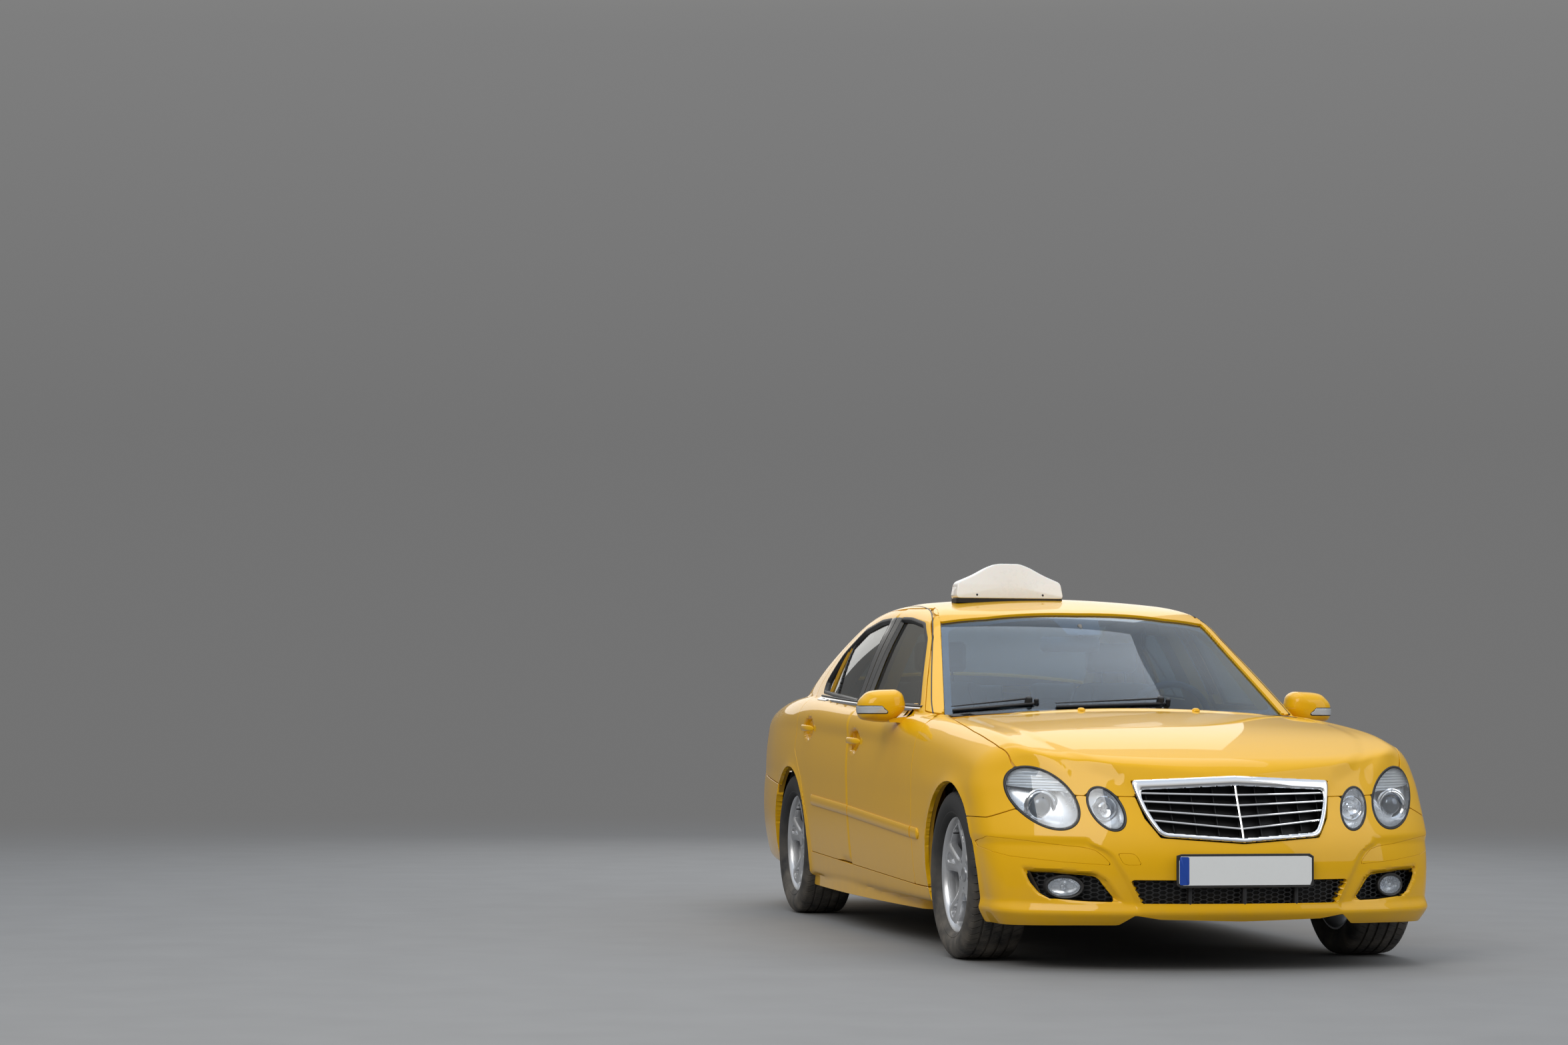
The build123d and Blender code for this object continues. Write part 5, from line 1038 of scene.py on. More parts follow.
doors_grown = np.maximum(inside_polygon(SIDE_Y, SIDE_Z, metres(FRONT_DOOR)),
                         inside_polygon(SIDE_Y, SIDE_Z, metres(REAR_DOOR))) + BESIDE_LINE
bumper_edge = line_value(REAR_BUMPER_LINE, SIDE_Y) + 0.007
side_keep = lowest(inside_polygon(SIDE_Y, SIDE_Z, metres(SIDE_ZONE)),
                   -doors_grown,
                   SIDE_X - half_width(EDGE_OF_SIDE, SIDE_Y) + PAST_LINE,
                   arch_field(SIDE_Y, SIDE_Z),
                   -inside_polygon(SIDE_Y, SIDE_Z, metres(TAIL_LAMP)) - PAST_LINE,
                   np.where(SIDE_Y > 1.3, SIDE_Z - bumper_edge, 1.0))
points, faces = clip(*SIDE, side_keep)
both_sides("body_side_skin", hem(points, faces), "body", PAINT, ["body_side_*"])
both_sides("body_side_shell", inner_side("body_side_left", car_field), "body", PAINT_INNER,
           smooth=30)

fender_ys = np.concatenate([np.arange(-2.36, FACE_Y, 0.008), np.arange(FACE_Y, -0.98, GRID)])
FENDER = section_master(body_field, fender_ys, 0.50, -32, 66, 0.62)
x, y, z = FENDER[0].T
keep = lowest(x - half_width(FENDER_SIDE, y) - BESIDE_LINE,
              np.where(y < FENDER_NOSE_Y, z - bumper_top_z(x) - BESIDE_LINE, 1.0),
              -(y * 1000 - DOOR_FRONT_Y) / 1000 - BESIDE_LINE,
              z - FENDER_FOOT_Z,
              arch_field(y, z),
              np.where(y < FACE_Y, lamp_field(x, z, 0.004), 1.0))
points, faces = clip(*FENDER, keep)
fenders = hem(points, faces)
fender_piece = make_object("fender_skins", with_twin(fenders), "body", PAINT)
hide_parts("front_fenders")
make_object("fender_shells", inner_side("front_fenders", body_field), "body", PAINT_INNER,
            smooth=30)

BONNET = ray_master(body_field, np.arange(-0.816, 0.817, 0.013), (-1.55, 0.50), 48, 178, 0.56)
x, y, z = BONNET[0].T
grille = metres(mirrored(GRILLE_OUTLINE))
at_nose = lowest(z - bumper_top_z(x) - 0.005, lamp_field(x, z, 0.004), -inside_polygon(x, z, grille))
keep = lowest(half_width(BONNET_SIDE, y) - np.abs(x) + PAST_LINE,
              line_value(BONNET_REAR, np.abs(x)) - y + PAST_LINE,
              np.where(y < BONNET_NOSE_Y, at_nose, 1.0))
points, faces = clip(*BONNET, keep)
bonnet_piece = make_object("bonnet_skin", hem(points, faces), "bonnet", PAINT)
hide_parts("bonnet")
make_object("bonnet_shell", inner_side("bonnet", body_field), "bonnet", PAINT_INNER, smooth=30)


def bumper_field(p):
    """The nose carried down below the floor of the body, tucked in by half of that depth."""
    low = np.clip(LIP_TOP_Z - p[:, 2], 0, None)
    return body_field(np.stack([p[:, 0], p[:, 1], p[:, 2] + low], 1)) + 0.5 * low


FRONT_BUMPER = round_master(bumper_field, -1.45, -1, 88, np.arange(0.155, 0.661, 0.008), 290)
points = FRONT_BUMPER[0]
bevel = inside_polygon(np.abs(points[:, 0]), points[:, 2], metres(FOG_BEVEL))
points[:, 1] += 0.020 * ramp(bevel, 0.0, 0.020) * (points[:, 1] < FACE_Y)
x, y, z = points.T
lower_outline = metres(mirrored(LOWER_GRILLE))
strip_field = inside_polygon(np.abs(x), z, metres(BUMPER_STRIP), 0.004)
cover_field = inside_polygon(x, z, metres(TOW_COVER), 0.004)
keep = lowest(bumper_top_z(x) - z + PAST_LINE,
              FRONT_BUMPER_END_Y - y,
              z - line_value(LIP_LINE, np.abs(x)),
              arch_field(y, z),
              lamp_field(x, z, 0.004),
              -inside_polygon(x, z, grille) - BESIDE_LINE,
              -inside_polygon(x, z, lower_outline, 0.01),
              -inside_polygon(np.abs(x), z, metres(FOG_OPENING), 0.012),
              -strip_field - SEAM / 2,
              -cover_field - SEAM / 2)
bumper_skin = hem(*clip(*FRONT_BUMPER, keep), 0.03)
strip_skin = hem(*clip(*FRONT_BUMPER, np.minimum(strip_field - SEAM / 2, FACE_Y - y)), 0.008, 0.0006)
cover_skin = hem(*clip(*FRONT_BUMPER, np.minimum(cover_field - SEAM / 2, FACE_Y - y)), 0.008, 0.0006)
bumper_piece = make_object("front_bumper_skin", joined(bumper_skin, strip_skin, cover_skin), "body", PAINT)
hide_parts("front_bumper")
make_object("front_bumper_shell", inner_side("front_bumper", body_field), "body", BLACK_PLASTIC,
            smooth=30)

# Painted shade: a black strip tucked 35 mm in under the bumper's lower edge stands in for the shadow beneath
# the bumper
UNDER_LIP_SHADE_GRID = round_master(lambda p: bumper_field(p) + 0.035, -1.45, -1, 60, np.linspace(0.158, 0.235, 12), 200)
x, y, z = UNDER_LIP_SHADE_GRID[0].T
# The front wheels reach forward to this length when they are steered, so the painted shade strip stops short
# of it
SHADE_STRIP_BACK = -1.87
make_object("bumper_shade_strip", hem(*clip(*UNDER_LIP_SHADE_GRID, np.minimum(0.80 - np.abs(x), SHADE_STRIP_BACK - y)), 0.05),
            "body", BLACK_PLASTIC)

REAR_BUMPER = round_master(body_field, 1.45, 1, 88, np.linspace(0.20, 0.66, 42), 240)
x, y, z = REAR_BUMPER[0].T
# Middle and half width of the notch for the tailpipe
tail_x, tail_y, tail_z = -0.480, 2.150, 0.255
NOTCH_RADIUS = 0.038
notch = np.maximum(NOTCH_RADIUS - np.hypot(x - tail_x, z - tail_z),
                   np.minimum(NOTCH_RADIUS - np.abs(x - tail_x), tail_z - z))
keep = lowest(line_value(REAR_BUMPER_LINE, y) - z, y - REAR_BUMPER_START_Y, arch_field(y, z),
              np.where(y > tail_y, -notch, 1.0))
points, faces = clip(*REAR_BUMPER, keep)
rear_bumper_piece = make_object("rear_bumper_skin", hem(points, faces, 0.03), "body", PAINT)
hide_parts("rear_bumper")
make_object("rear_bumper_shell", inner_side("rear_bumper", body_field), "body", BLACK_PLASTIC,
            smooth=30)

ROOF = section_master(cabin_field, np.arange(-0.40, 1.02, 0.014), 0.9, 30, 150, 1.2)
x, y, z = ROOF[0].T
keep = lowest(half_width(ROOF_EDGE, y) - np.abs(x), y - line_value(ROOF_FRONT, np.abs(x)),
              line_value(ROOF_REAR, np.abs(x)) - y)
points, faces = clip(*ROOF, keep)
roof_piece = make_object("roof_skin", hem(points, faces, 0.010), "body", PAINT)
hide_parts("roof_panel")
make_object("roof_lining", inner_side("roof_panel", cabin_field, 0.012), "body", HEADLINING,
            smooth=30)

BOOT = ray_master(body_field, np.arange(-0.71, 0.711, 0.0135), (1.75, 0.72), -12, 112, 0.84)
x, y, z = BOOT[0].T
keep = lowest(half_width(BOOT_LID_EDGE, y) - np.abs(x) + PAST_LINE, y - BOOT_FRONT_Y, z - BOOT_FOOT_Z)
points, faces = clip(*BOOT, keep)
boot_piece = make_object("boot_lid_skin", hem(points, faces), "boot_lid", PAINT)
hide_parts("boot_lid")
make_object("boot_lid_shell", inner_side("boot_lid", body_field), "boot_lid", PAINT_INNER,
            smooth=30)

DECK = ray_master(car_field, np.arange(-0.63, 0.631, 0.0135), (1.4, 0.72), 48, 95, 0.7)
x, y, z = DECK[0].T
points, faces = clip(*DECK, lowest(DECK_REAR_Y - y, DECK_HALF_WIDTH - np.abs(x), y - DECK_FRONT_Y))
make_object("deck_strip", hem(points, faces, 0.02), "body", PAINT)


# Glass follows the glasshouse 12 mm under its outside

GLASS_DEPTH = 0.012
GLASS_THICKNESS = 0.0048
GLASS_GAP = 0.0003
SCREEN_FOOT_Z = 0.931
REAR_WINDOW_FOOT_Z = 1.0745


def glass_field(p):
    """The glasshouse's field moved in to the outside of the glass."""
    return cabin_field(p) + GLASS_DEPTH


SIDE_GLASS = section_master(glass_field, np.arange(-0.86, 1.2, 0.016), SIDE_CENTRE_Z, 15, 60, 0.8)
x, y, z = SIDE_GLASS[0].T
for end in ("front", "rear"):
    keep = inside_polygon(y, z, metres(WINDOW_OUTLINES[end]), WINDOW_RADIUS) - GLASS_GAP
    both_sides("window_" + end, slab(clip(*SIDE_GLASS, keep), GLASS_THICKNESS), "door_" + end + "_*", WINDOW,
               ["glass_" + end + "_*"])

SCREEN_GRID = ray_master(glass_field, np.arange(-0.75, 0.751, 0.016), (0.3, 0.80), 95, 178, 0.8)
x, y, z = SCREEN_GRID[0].T
keep = lowest(half_width(ROOF_EDGE, y) - np.abs(x) - GLASS_GAP, z - SCREEN_FOOT_Z,
              line_value(ROOF_FRONT, np.abs(x)) - y)
WINDSCREEN = clip(*SCREEN_GRID, keep)
screen_piece = make_object("windscreen_glass", slab(WINDSCREEN, GLASS_THICKNESS), "body", SCREEN)
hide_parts("windscreen")

REAR_GRID = ray_master(glass_field, np.arange(-0.62, 0.621, 0.016), (0.5, 0.80), 2, 90, 0.8)
x, y, z = REAR_GRID[0].T
keep = lowest(half_width(ROOF_EDGE, y) - np.abs(x) - GLASS_GAP, z - REAR_WINDOW_FOOT_Z,
              y - line_value(ROOF_REAR, np.abs(x)))
rear_window_piece = make_object("rear_window_glass", slab(clip(*REAR_GRID, keep), GLASS_THICKNESS), "body",
                                WINDOW)
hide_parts("rear_window")


# Shapes that several pieces share

def welded(mesh):
    """Merges points that lie on each other, such as a pole's, and drops the empty triangles."""
    points, faces = mesh
    _, first, back = np.unique(np.round(points * 1e6).astype(np.int64), axis=0, return_index=True,
                               return_inverse=True)
    faces = back.ravel()[faces]
    good = (faces[:, 0] != faces[:, 1]) & (faces[:, 1] != faces[:, 2]) & (faces[:, 0] != faces[:, 2])
    return points[first], faces[good]


def turned(profile, centre, axis, count=48):
    """Profile of (radius, height) points turned about an axis; from the tip down it faces out."""
    profile = np.asarray(profile, float)
    axis = np.asarray(axis, float) / np.linalg.norm(axis)
    helper = np.array([0.0, 0, 1]) if abs(axis[2]) < 0.9 else np.array([1.0, 0, 0])
    first = np.cross(helper, axis)
    first /= np.linalg.norm(first)
    second = np.cross(axis, first)
    angle = np.linspace(0, 2 * np.pi, count, endpoint=False)
    spoke = np.cos(angle)[:, None] * first + np.sin(angle)[:, None] * second
    points = np.asarray(centre, float) + profile[:, None, :1] * spoke[None] + profile[:, None, 1:] * axis
    return welded((points.reshape(-1, 3), grid_faces(len(profile), count, closed=True)))


def closed_form(outlines):
    """Closed outlines of equal length joined in turn, with filled ends, facing outwards."""
    outlines = np.asarray(outlines, float)
    rings, count = outlines.shape[:2]
    total, base = rings * count, (rings - 1) * count
    ring = np.arange(count)
    after = (ring + 1) % count
    points = np.concatenate([outlines.reshape(-1, 3), outlines[0].mean(axis=0, keepdims=True),
                             outlines[-1].mean(axis=0, keepdims=True)])
    faces = np.concatenate([grid_faces(rings, count, closed=True),
                            np.stack([np.full(count, total), ring, after], 1),
                            np.stack([np.full(count, total + 1), base + after, base + ring], 1)])
    a, b, c = (points[faces[:, k]] for k in range(3))
    return points, faces[:, ::-1] if np.sum(a * np.cross(b, c)) < 0 else faces


def tube(path, radius, count=10, flat=1.0, up=(0, 0, 1)):
    """Round or flattened rod along a path: a circle across the path's direction at each point."""
    path = np.asarray(path, float)
    radius = np.broadcast_to(np.asarray(radius, float), len(path))
    run = np.gradient(path, axis=0)
    run /= np.linalg.norm(run, axis=1, keepdims=True)
    side = np.cross(run, np.asarray(up, float))
    side /= np.linalg.norm(side, axis=1, keepdims=True)
    over = np.cross(side, run)
    angle = np.linspace(0, 2 * np.pi, count, endpoint=False)
    ring = np.cos(angle)[None, :, None] * side[:, None] + flat * np.sin(angle)[None, :, None] * over[:, None]
    return closed_form(path[:, None] + radius[:, None, None] * ring)


def smooth_path(corners, count):
    """Even points along a natural spline through the corners, measured by the length run so far."""
    corners = np.asarray(corners, float)
    run = np.concatenate([[0], np.cumsum(np.linalg.norm(np.diff(corners, axis=0), axis=1))])
    at = np.linspace(0, run[-1], count)
    return np.stack([spline(run, corners[:, k], at) for k in range(3)], 1)


def resampled(outline, count):
    """Closed outline with its points spread evenly along it."""
    outline = np.asarray(outline, float)
    loop = np.concatenate([outline, outline[:1]])
    run = np.concatenate([[0], np.cumsum(np.linalg.norm(np.diff(loop, axis=0), axis=1))])
    at = np.linspace(0, run[-1], count, endpoint=False)
    return np.stack([np.interp(at, run, loop[:, k]) for k in range(2)], 1)


def nose_points(x, z, depth=0.0):
    """Points of the nose at x and z as seen from ahead, moved back along Y by a depth."""
    x, z, depth = np.broadcast_arrays(np.asarray(x, float), np.asarray(z, float), np.asarray(depth, float))
    points = surface_points(body_field, x, -1.5, z, (0, -1, 0), 0.0, 1.1)
    points[:, 1] += depth.ravel()
    return points


def plane_grid(x0, x1, z0, z1, step):
    """Flat grid of x and z facing ahead, with its triangles."""
    xs = np.linspace(x0, x1, max(int(round((x1 - x0) / step)), 2) + 1)
    zs = np.linspace(z0, z1, max(int(round((z1 - z0) / step)), 2) + 1)
    x, z = np.meshgrid(xs, zs, indexing="ij")
    return x.ravel(), z.ravel(), grid_faces(len(xs), len(zs))


# Front lamps: gasket, clear lens, bright bowl, ribbed indicator and projector

def lamp_ring(lamp, grow, share, turn):
    """Front-view x and z on a lamp's ellipse grown by a distance, at a share of its radius."""
    x, z, long, short, tilt = lamp
    tilt = math.radians(tilt)
    u, v = share * (long + grow) * np.cos(turn), share * (short + grow) * np.sin(turn)
    return x + u * math.cos(tilt) - v * math.sin(tilt), z + u * math.sin(tilt) + v * math.cos(tilt)


def lamp_surface(lamp, grows, shares, depths, count=96):
    """Rings of a lamp's ellipse, each with its growth, share of radius and depth behind the nose."""
    turn, grow = np.meshgrid(np.linspace(0, 2 * np.pi, count, endpoint=False), grows)
    x, z = lamp_ring(lamp, grow, np.asarray(shares, float)[:, None], turn)
    points = nose_points(x, z, np.broadcast_to(np.asarray(depths, float)[:, None], x.shape))
    return points, grid_faces(len(depths), count, closed=True)


LENS_RINGS = np.array([0.02, 0.15, 0.3, 0.45, 0.6, 0.72, 0.82, 0.9, 0.96, 1.0])
BOWL_RINGS = [(0.02, 0.060), (0.3, 0.059), (0.55, 0.056), (0.78, 0.050), (0.90, 0.040), (0.96, 0.024),
              (1.0, 0.005)]
BOWL_SHARES, BOWL_DEPTHS = np.array(BOWL_RINGS).T
LENS_SWELL = 0.003 * (1 - LENS_RINGS ** 2)
lens_parts, gasket_parts, bowl_parts = [], [], []
for lamp in (LARGE_LAMP, SMALL_LAMP):
    surface = lamp_surface(lamp, np.full(len(LENS_RINGS), -0.004), LENS_RINGS, -0.0015 - LENS_SWELL)
    lens_parts.append(slab(surface, 0.003))
    across = np.linspace(0, 1, 7)
    gasket_parts.append(lamp_surface(lamp, -0.007 + 0.0125 * across, np.ones(7),
                                     0.003 - 0.0055 * np.sin(np.pi * across)))
    bowl_parts.append(lamp_surface(lamp, np.full(len(BOWL_SHARES), -0.005), BOWL_SHARES, BOWL_DEPTHS))
lens_mesh = joined(*lens_parts)
lens_piece = make_object("headlamp_lenses", with_twin(lens_mesh), "body", LENS)
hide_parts("headlamps")
gasket_mesh = joined(*gasket_parts)
make_object("headlamp_gaskets", with_twin(gasket_mesh), "body", SEAL)
bowl_mesh = joined(*bowl_parts)
make_object("headlamp_bowls", with_twin(bowl_mesh), "body", LAMP_BOWL)

RIB_LOW_Z = 0.668
x, z, faces = plane_grid(0.56, 0.83, 0.64, 0.76, 0.0023)
ribs = 0.5 + 0.5 * np.cos((z - RIB_LOW_Z) / 0.0105 * 2 * np.pi)
low_edge = RIB_LOW_Z + 0.012 * (x - 0.70) / 0.1
keep = np.minimum(inside_ellipse(x, z, LARGE_LAMP, -0.007), z - low_edge)
points = nose_points(x, z, 0.011 + 0.0035 * ribs)
rib_mesh = hem(*clip(points, faces, keep), depth=0.02, chamfer=0.0005, direction=(0, 1, 0))
make_object("indicator_ribs", with_twin(rib_mesh), "body", RIB_PLASTIC)

PROJECTOR_PLACE = (0.695, 0.606)
SHIELD_PROFILE = [(0.037, -0.012), (0.042, -0.004), (0.047, 0.002), (0.051, 0.0045), (0.055, 0.003),
                  (0.058, -0.003), (0.059, -0.03)]
DOME_PROFILE = [(0.0, 0.010), (0.012, 0.009), (0.022, 0.006), (0.030, 0.0005), (0.035, -0.007),
                (0.037, -0.014)]
REFLECTOR_PROFILE = [(0.0, -0.030), (0.012, -0.029), (0.024, -0.024), (0.034, -0.014), (0.040, -0.002),
                     (0.043, 0.001), (0.046, -0.002)]
BULB_PROFILE = [(0.0, 0.0), (0.006, -0.001), (0.010, -0.005), (0.011, -0.012), (0.011, -0.026)]
projector_eye = nose_points(PROJECTOR_PLACE[0], PROJECTOR_PLACE[1], 0.026)[0]
aim = (0.12, -1.0, 0.0)
shield = joined(turned(SHIELD_PROFILE, projector_eye, aim),
                turned([(0.055, 0.0), (0.060, 0.002), (0.064, 0.0)],
                       projector_eye + np.array([0, 0.004, 0]), aim))
dome = turned(DOME_PROFILE, projector_eye, aim)
small_eye = nose_points(SMALL_LAMP[0], SMALL_LAMP[1], 0.024)[0]
small_bowl = turned(REFLECTOR_PROFILE, small_eye, aim)
small_bulb = turned(BULB_PROFILE, small_eye + np.array([0, 0.006, 0]), aim)
chrome_parts = joined(shield, small_bowl, small_bulb)
make_object("projector_shields", with_twin(chrome_parts), "body", REFLECTOR)
make_object("projector_domes", with_twin(dome), "body", DOME_GLASS)


# Radiator grille on the bonnet: chrome surround, four bars, centre bar, dark blades and fins

# Region that holds the grille, as x and z limits
GRILLE_BOX = (-0.40, 0.40, 0.47, 0.73)
GRILLE_WIDTHS = {"top": 0.036, "side": 0.017, "bottom": 0.016}
# Height of each bar in the middle and its rise 0.3 m out
GRILLE_BARS = [(0.528, 0.028), (0.571, 0.020), (0.613, 0.012), (0.651, 0.005)]


def line_distance(x, z, start, end):
    """Distance to the right of a straight line from start to end, seen from ahead."""
    (x0, z0), (x1, z1) = start, end
    length = math.hypot(x1 - x0, z1 - z0)
    return ((x - x0) * (z1 - z0) - (z - z0) * (x1 - x0)) / length


def smooth_min(a, b, blend):
    """The smaller of two values, rounded over where they come within the blend."""
    return -smooth_max(-a, -b, blend)


def grille_share(x, z):
    """Nought on the surround's outer edge and one on its inner edge, with rounded corners."""
    x = np.abs(x)
    tip, corner, knee, foot, low = metres(GRILLE_OUTLINE)
    top = line_distance(x, z, tip, corner) / GRILLE_WIDTHS["top"]
    side = smooth_min(line_distance(x, z, corner, knee), line_distance(x, z, knee, foot),
                      0.02) / GRILLE_WIDTHS["side"]
    bottom = line_distance(x, z, foot, low) / GRILLE_WIDTHS["bottom"]
    return smooth_min(smooth_min(top, side, 1.1), bottom, 1.1)


x, z, faces = plane_grid(*GRILLE_BOX, 0.0028)
share = grille_share(x, z)
crown = np.sqrt(np.clip(1 - (2 * np.clip(share, 0, 1) - 1) ** 2, 0, 1))
points = nose_points(x, z, -0.002 - 0.009 * crown)
surround = hem(*clip(points, faces, np.minimum(share, 1 - share)), depth=0.022, chamfer=0.0004,
               direction=(0, 1, 0))


def grille_half_width(z):
    """Half width of the grille's opening at a height, inside the surround."""
    xs = np.linspace(0, 0.4, 800)
    return xs[np.nonzero(grille_share(xs, np.full(800, z)) > 0.7)[0][-1]]


def across_bar(height, rise, profile, count=61):
    """Bar across the grille: a section of (depth, height) points carried along X on the nose."""
    half = grille_half_width(height + rise)
    x = np.linspace(-half, half, count)
    z = height + rise * np.abs(x) / 0.3
    section = np.asarray(profile, float)
    y = nose_points(x, z)[:, 1]
    rings = np.empty((count, len(section), 3))
    rings[:, :, 0] = x[:, None]
    rings[:, :, 1] = y[:, None] + section[None, :, 0]
    rings[:, :, 2] = z[:, None] + section[None, :, 1]
    return closed_form(rings)


BAR_SECTION = [(0.004, 0.0), (0.005, 0.0030), (0.008, 0.0046), (0.013, 0.0050), (0.020, 0.0040),
               (0.020, -0.0040), (0.013, -0.0050), (0.008, -0.0046), (0.005, -0.0030)]
BLADE_SECTION = [(0.018, 0.0035), (0.050, 0.0020), (0.050, -0.0020), (0.018, -0.0035)]
bars = [across_bar(height, rise, BAR_SECTION) for height, rise in GRILLE_BARS]
blades = [across_bar(height, rise, BLADE_SECTION) for height, rise in GRILLE_BARS]
upright_z = np.linspace(0.488, 0.700, 40)
upright_y = nose_points(np.zeros(40), upright_z)[:, 1]
centre_rings = np.stack([[(a, y - 0.001 + b, z) for a, b in ((-0.005, 0.006), (-0.0035, 0.001), (0, -0.001),
                                                             (0.0035, 0.001), (0.005, 0.006), (0.004, 0.03),
                                                             (-0.004, 0.03))]
                         for y, z in zip(upright_y, upright_z)])
chrome_mesh = joined(surround, *bars, closed_form(centre_rings))
grille_piece = make_object("grille_chrome", chrome_mesh, "bonnet", CHROME)
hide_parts("radiator_grille")

fins = []
for x_fin in np.arange(-0.332, 0.333, 0.083):
    tall = np.linspace(0.490, 0.695, 24)
    tall = tall[grille_share(np.full(24, x_fin), tall) > 0.8]
    if len(tall) > 2:
        y_fin = nose_points(np.full(len(tall), x_fin), tall)[:, 1]
        fins.append(closed_form(np.stack([
            [(x_fin + a, y + b, z) for a, b in ((-0.0012, 0.026), (0.0012, 0.026), (0.0012, 0.052),
                                                (-0.0012, 0.052))]
            for y, z in zip(y_fin, tall)])))
x, z, faces = plane_grid(*GRILLE_BOX, 0.01)
back = clip(nose_points(x, z, 0.055), faces, grille_share(x, z) - 0.3)
make_object("grille_blades", joined(*blades, *fins, back), "bonnet", DARK_MESH)


# Honeycomb in the lower openings, with ribs, fog lamps and the plate

def honeycomb(x0, x1, z0, z1, pitch, wall):
    """Lattice of six-sided cells in the front plane: each cell is a ring between two hexagons."""
    columns = np.arange(int((x1 - x0) / (pitch * math.sqrt(3) / 2)) + 2)
    rows = np.arange(int((z1 - z0) / pitch) + 2)
    i, j = np.meshgrid(columns, rows, indexing="ij")
    cx = x0 + i.ravel() * pitch * math.sqrt(3) / 2
    cz = z0 + (j.ravel() + 0.5 * (i.ravel() % 2)) * pitch
    angle = np.arange(6) * math.pi / 3
    outer, inner = pitch / math.sqrt(3), (pitch - wall) / math.sqrt(3)
    ring = np.concatenate([outer * np.stack([np.cos(angle), np.sin(angle)], 1),
                           inner * np.stack([np.cos(angle), np.sin(angle)], 1)])
    x = (cx[:, None] + ring[None, :, 0]).ravel()
    z = (cz[:, None] + ring[None, :, 1]).ravel()
    a = np.arange(6)
    b = (a + 1) % 6
    one = np.concatenate([np.stack([a + 6, a, b], 1), np.stack([a + 6, b, b + 6], 1)])
    faces = (np.arange(len(cx))[:, None, None] * 12 + one[None]).reshape(-1, 3)
    return x, z, faces


CELL_STRETCH = 1.75


def mesh_panel(outline, depth, radius=0.0):
    """Honeycomb sheet cut to an outline and laid at a depth behind the nose."""
    xs, zs = zip(*outline)
    x, z, faces = honeycomb(min(xs) / CELL_STRETCH, max(xs) / CELL_STRETCH, min(zs), max(zs), 0.0165, 0.0030)
    x = x * CELL_STRETCH
    return hem(*clip(nose_points(x, z, depth), faces, inside_polygon(x, z, outline, radius)), depth=0.006,
               chamfer=0.0003, direction=(0, 1, 0))


def opening_wall(outline, depth, lift=0.0, count=220):
    """Wall that runs back from an opening's edge."""
    loop = resampled(rounded(outline, 0.014), count)
    rings = [nose_points(loop[:, 0], loop[:, 1], d) for d in np.linspace(lift, depth, 5)]
    points = np.concatenate(rings)
    faces = grid_faces(5, count, closed=True)
    return points, faces if loop_area(loop) < 0 else faces[:, ::-1]


def opening_back(outline, depth):
    """Flat sheet behind an opening of the nose, at a depth."""
    xs, zs = zip(*outline)
    x, z, faces = plane_grid(min(xs), max(xs), min(zs), max(zs), 0.012)
    return clip(nose_points(x, z, depth), faces, inside_polygon(x, z, outline))


fog_outline = metres(FOG_OPENING)
fog_mesh_sheet = mesh_panel(fog_outline, 0.030)
fog_mesh_sheet = clip(*fog_mesh_sheet, -inside_ellipse(fog_mesh_sheet[0][:, 0], fog_mesh_sheet[0][:, 2],
                                                       FOG_LAMP, 0.008))
dark_parts = [mesh_panel(lower_outline, 0.016), opening_wall(lower_outline, 0.05),
              opening_back(lower_outline, 0.05)]
for part in (fog_mesh_sheet, opening_wall(fog_outline, 0.065, 0.018), opening_back(fog_outline, 0.065)):
    dark_parts += [part, flipped(part)]
for x_rib in (-0.206, 0, 0.206):
    y_rib = nose_points(x_rib, 0.30)[0][1]
    rib = np.stack([[(x_rib + a, y_rib + b, z) for a, b in ((-0.010, 0.03), (-0.007, 0.006), (0, 0.003),
                                                            (0.007, 0.006), (0.010, 0.03))]
                    for z in np.linspace(0.252, 0.342, 8)])
    dark_parts.append(closed_form(rib))
grilles_piece = make_object("bumper_honeycomb", joined(*dark_parts), "body", DARK_MESH)
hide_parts("bumper_grilles")

fog_lens = slab(lamp_surface(FOG_LAMP, np.full(len(LENS_RINGS), -0.003), LENS_RINGS, 0.016 - LENS_SWELL),
                0.002)
fog_bowl = lamp_surface(FOG_LAMP, np.full(len(BOWL_SHARES), -0.003), BOWL_SHARES, 0.018 + 0.6 * BOWL_DEPTHS)
fog_bulb = turned(BULB_PROFILE, nose_points(FOG_LAMP[0], FOG_LAMP[1], 0.026)[0], aim)
fog_bowl = joined(fog_bowl, fog_bulb)
fog_ring = lamp_surface(FOG_LAMP, np.array([-0.004, -0.001, 0.004, 0.008, 0.010]), np.ones(5),
                        np.array([0.022, 0.014, 0.012, 0.016, 0.032]))
fog_piece = make_object("fog_lenses", with_twin(fog_lens), "body", LENS)
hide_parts("fog_lamps")
make_object("fog_bowls", with_twin(fog_bowl), "body", LAMP_BOWL)
make_object("fog_rings", with_twin(fog_ring), "body", BLACK_PLASTIC)


def round_box_outline(half_wide, half_high, radius, count=60):
    """Rectangle with round corners, its points spread evenly, seen from ahead."""
    w, h = half_wide, half_high
    return resampled(rounded([(-w, -h), (w, -h), (w, h), (-w, h)], radius, 8), count)


def plate_layer(centre, facing, half_wide, half_high, radius, thick, edge):
    """Flat plate with a chamfered edge: stacked outlines from its back to its face."""
    rings = []
    for depth, shrink in ((0.0, 0.0), (thick - edge, 0.0), (thick, edge)):
        loop = round_box_outline(half_wide - shrink, half_high - shrink, radius)
        ring = np.stack([loop[:, 0], np.full(len(loop), facing * depth), loop[:, 1]], 1)
        rings.append(np.asarray(centre) + ring)
    return closed_form(rings)


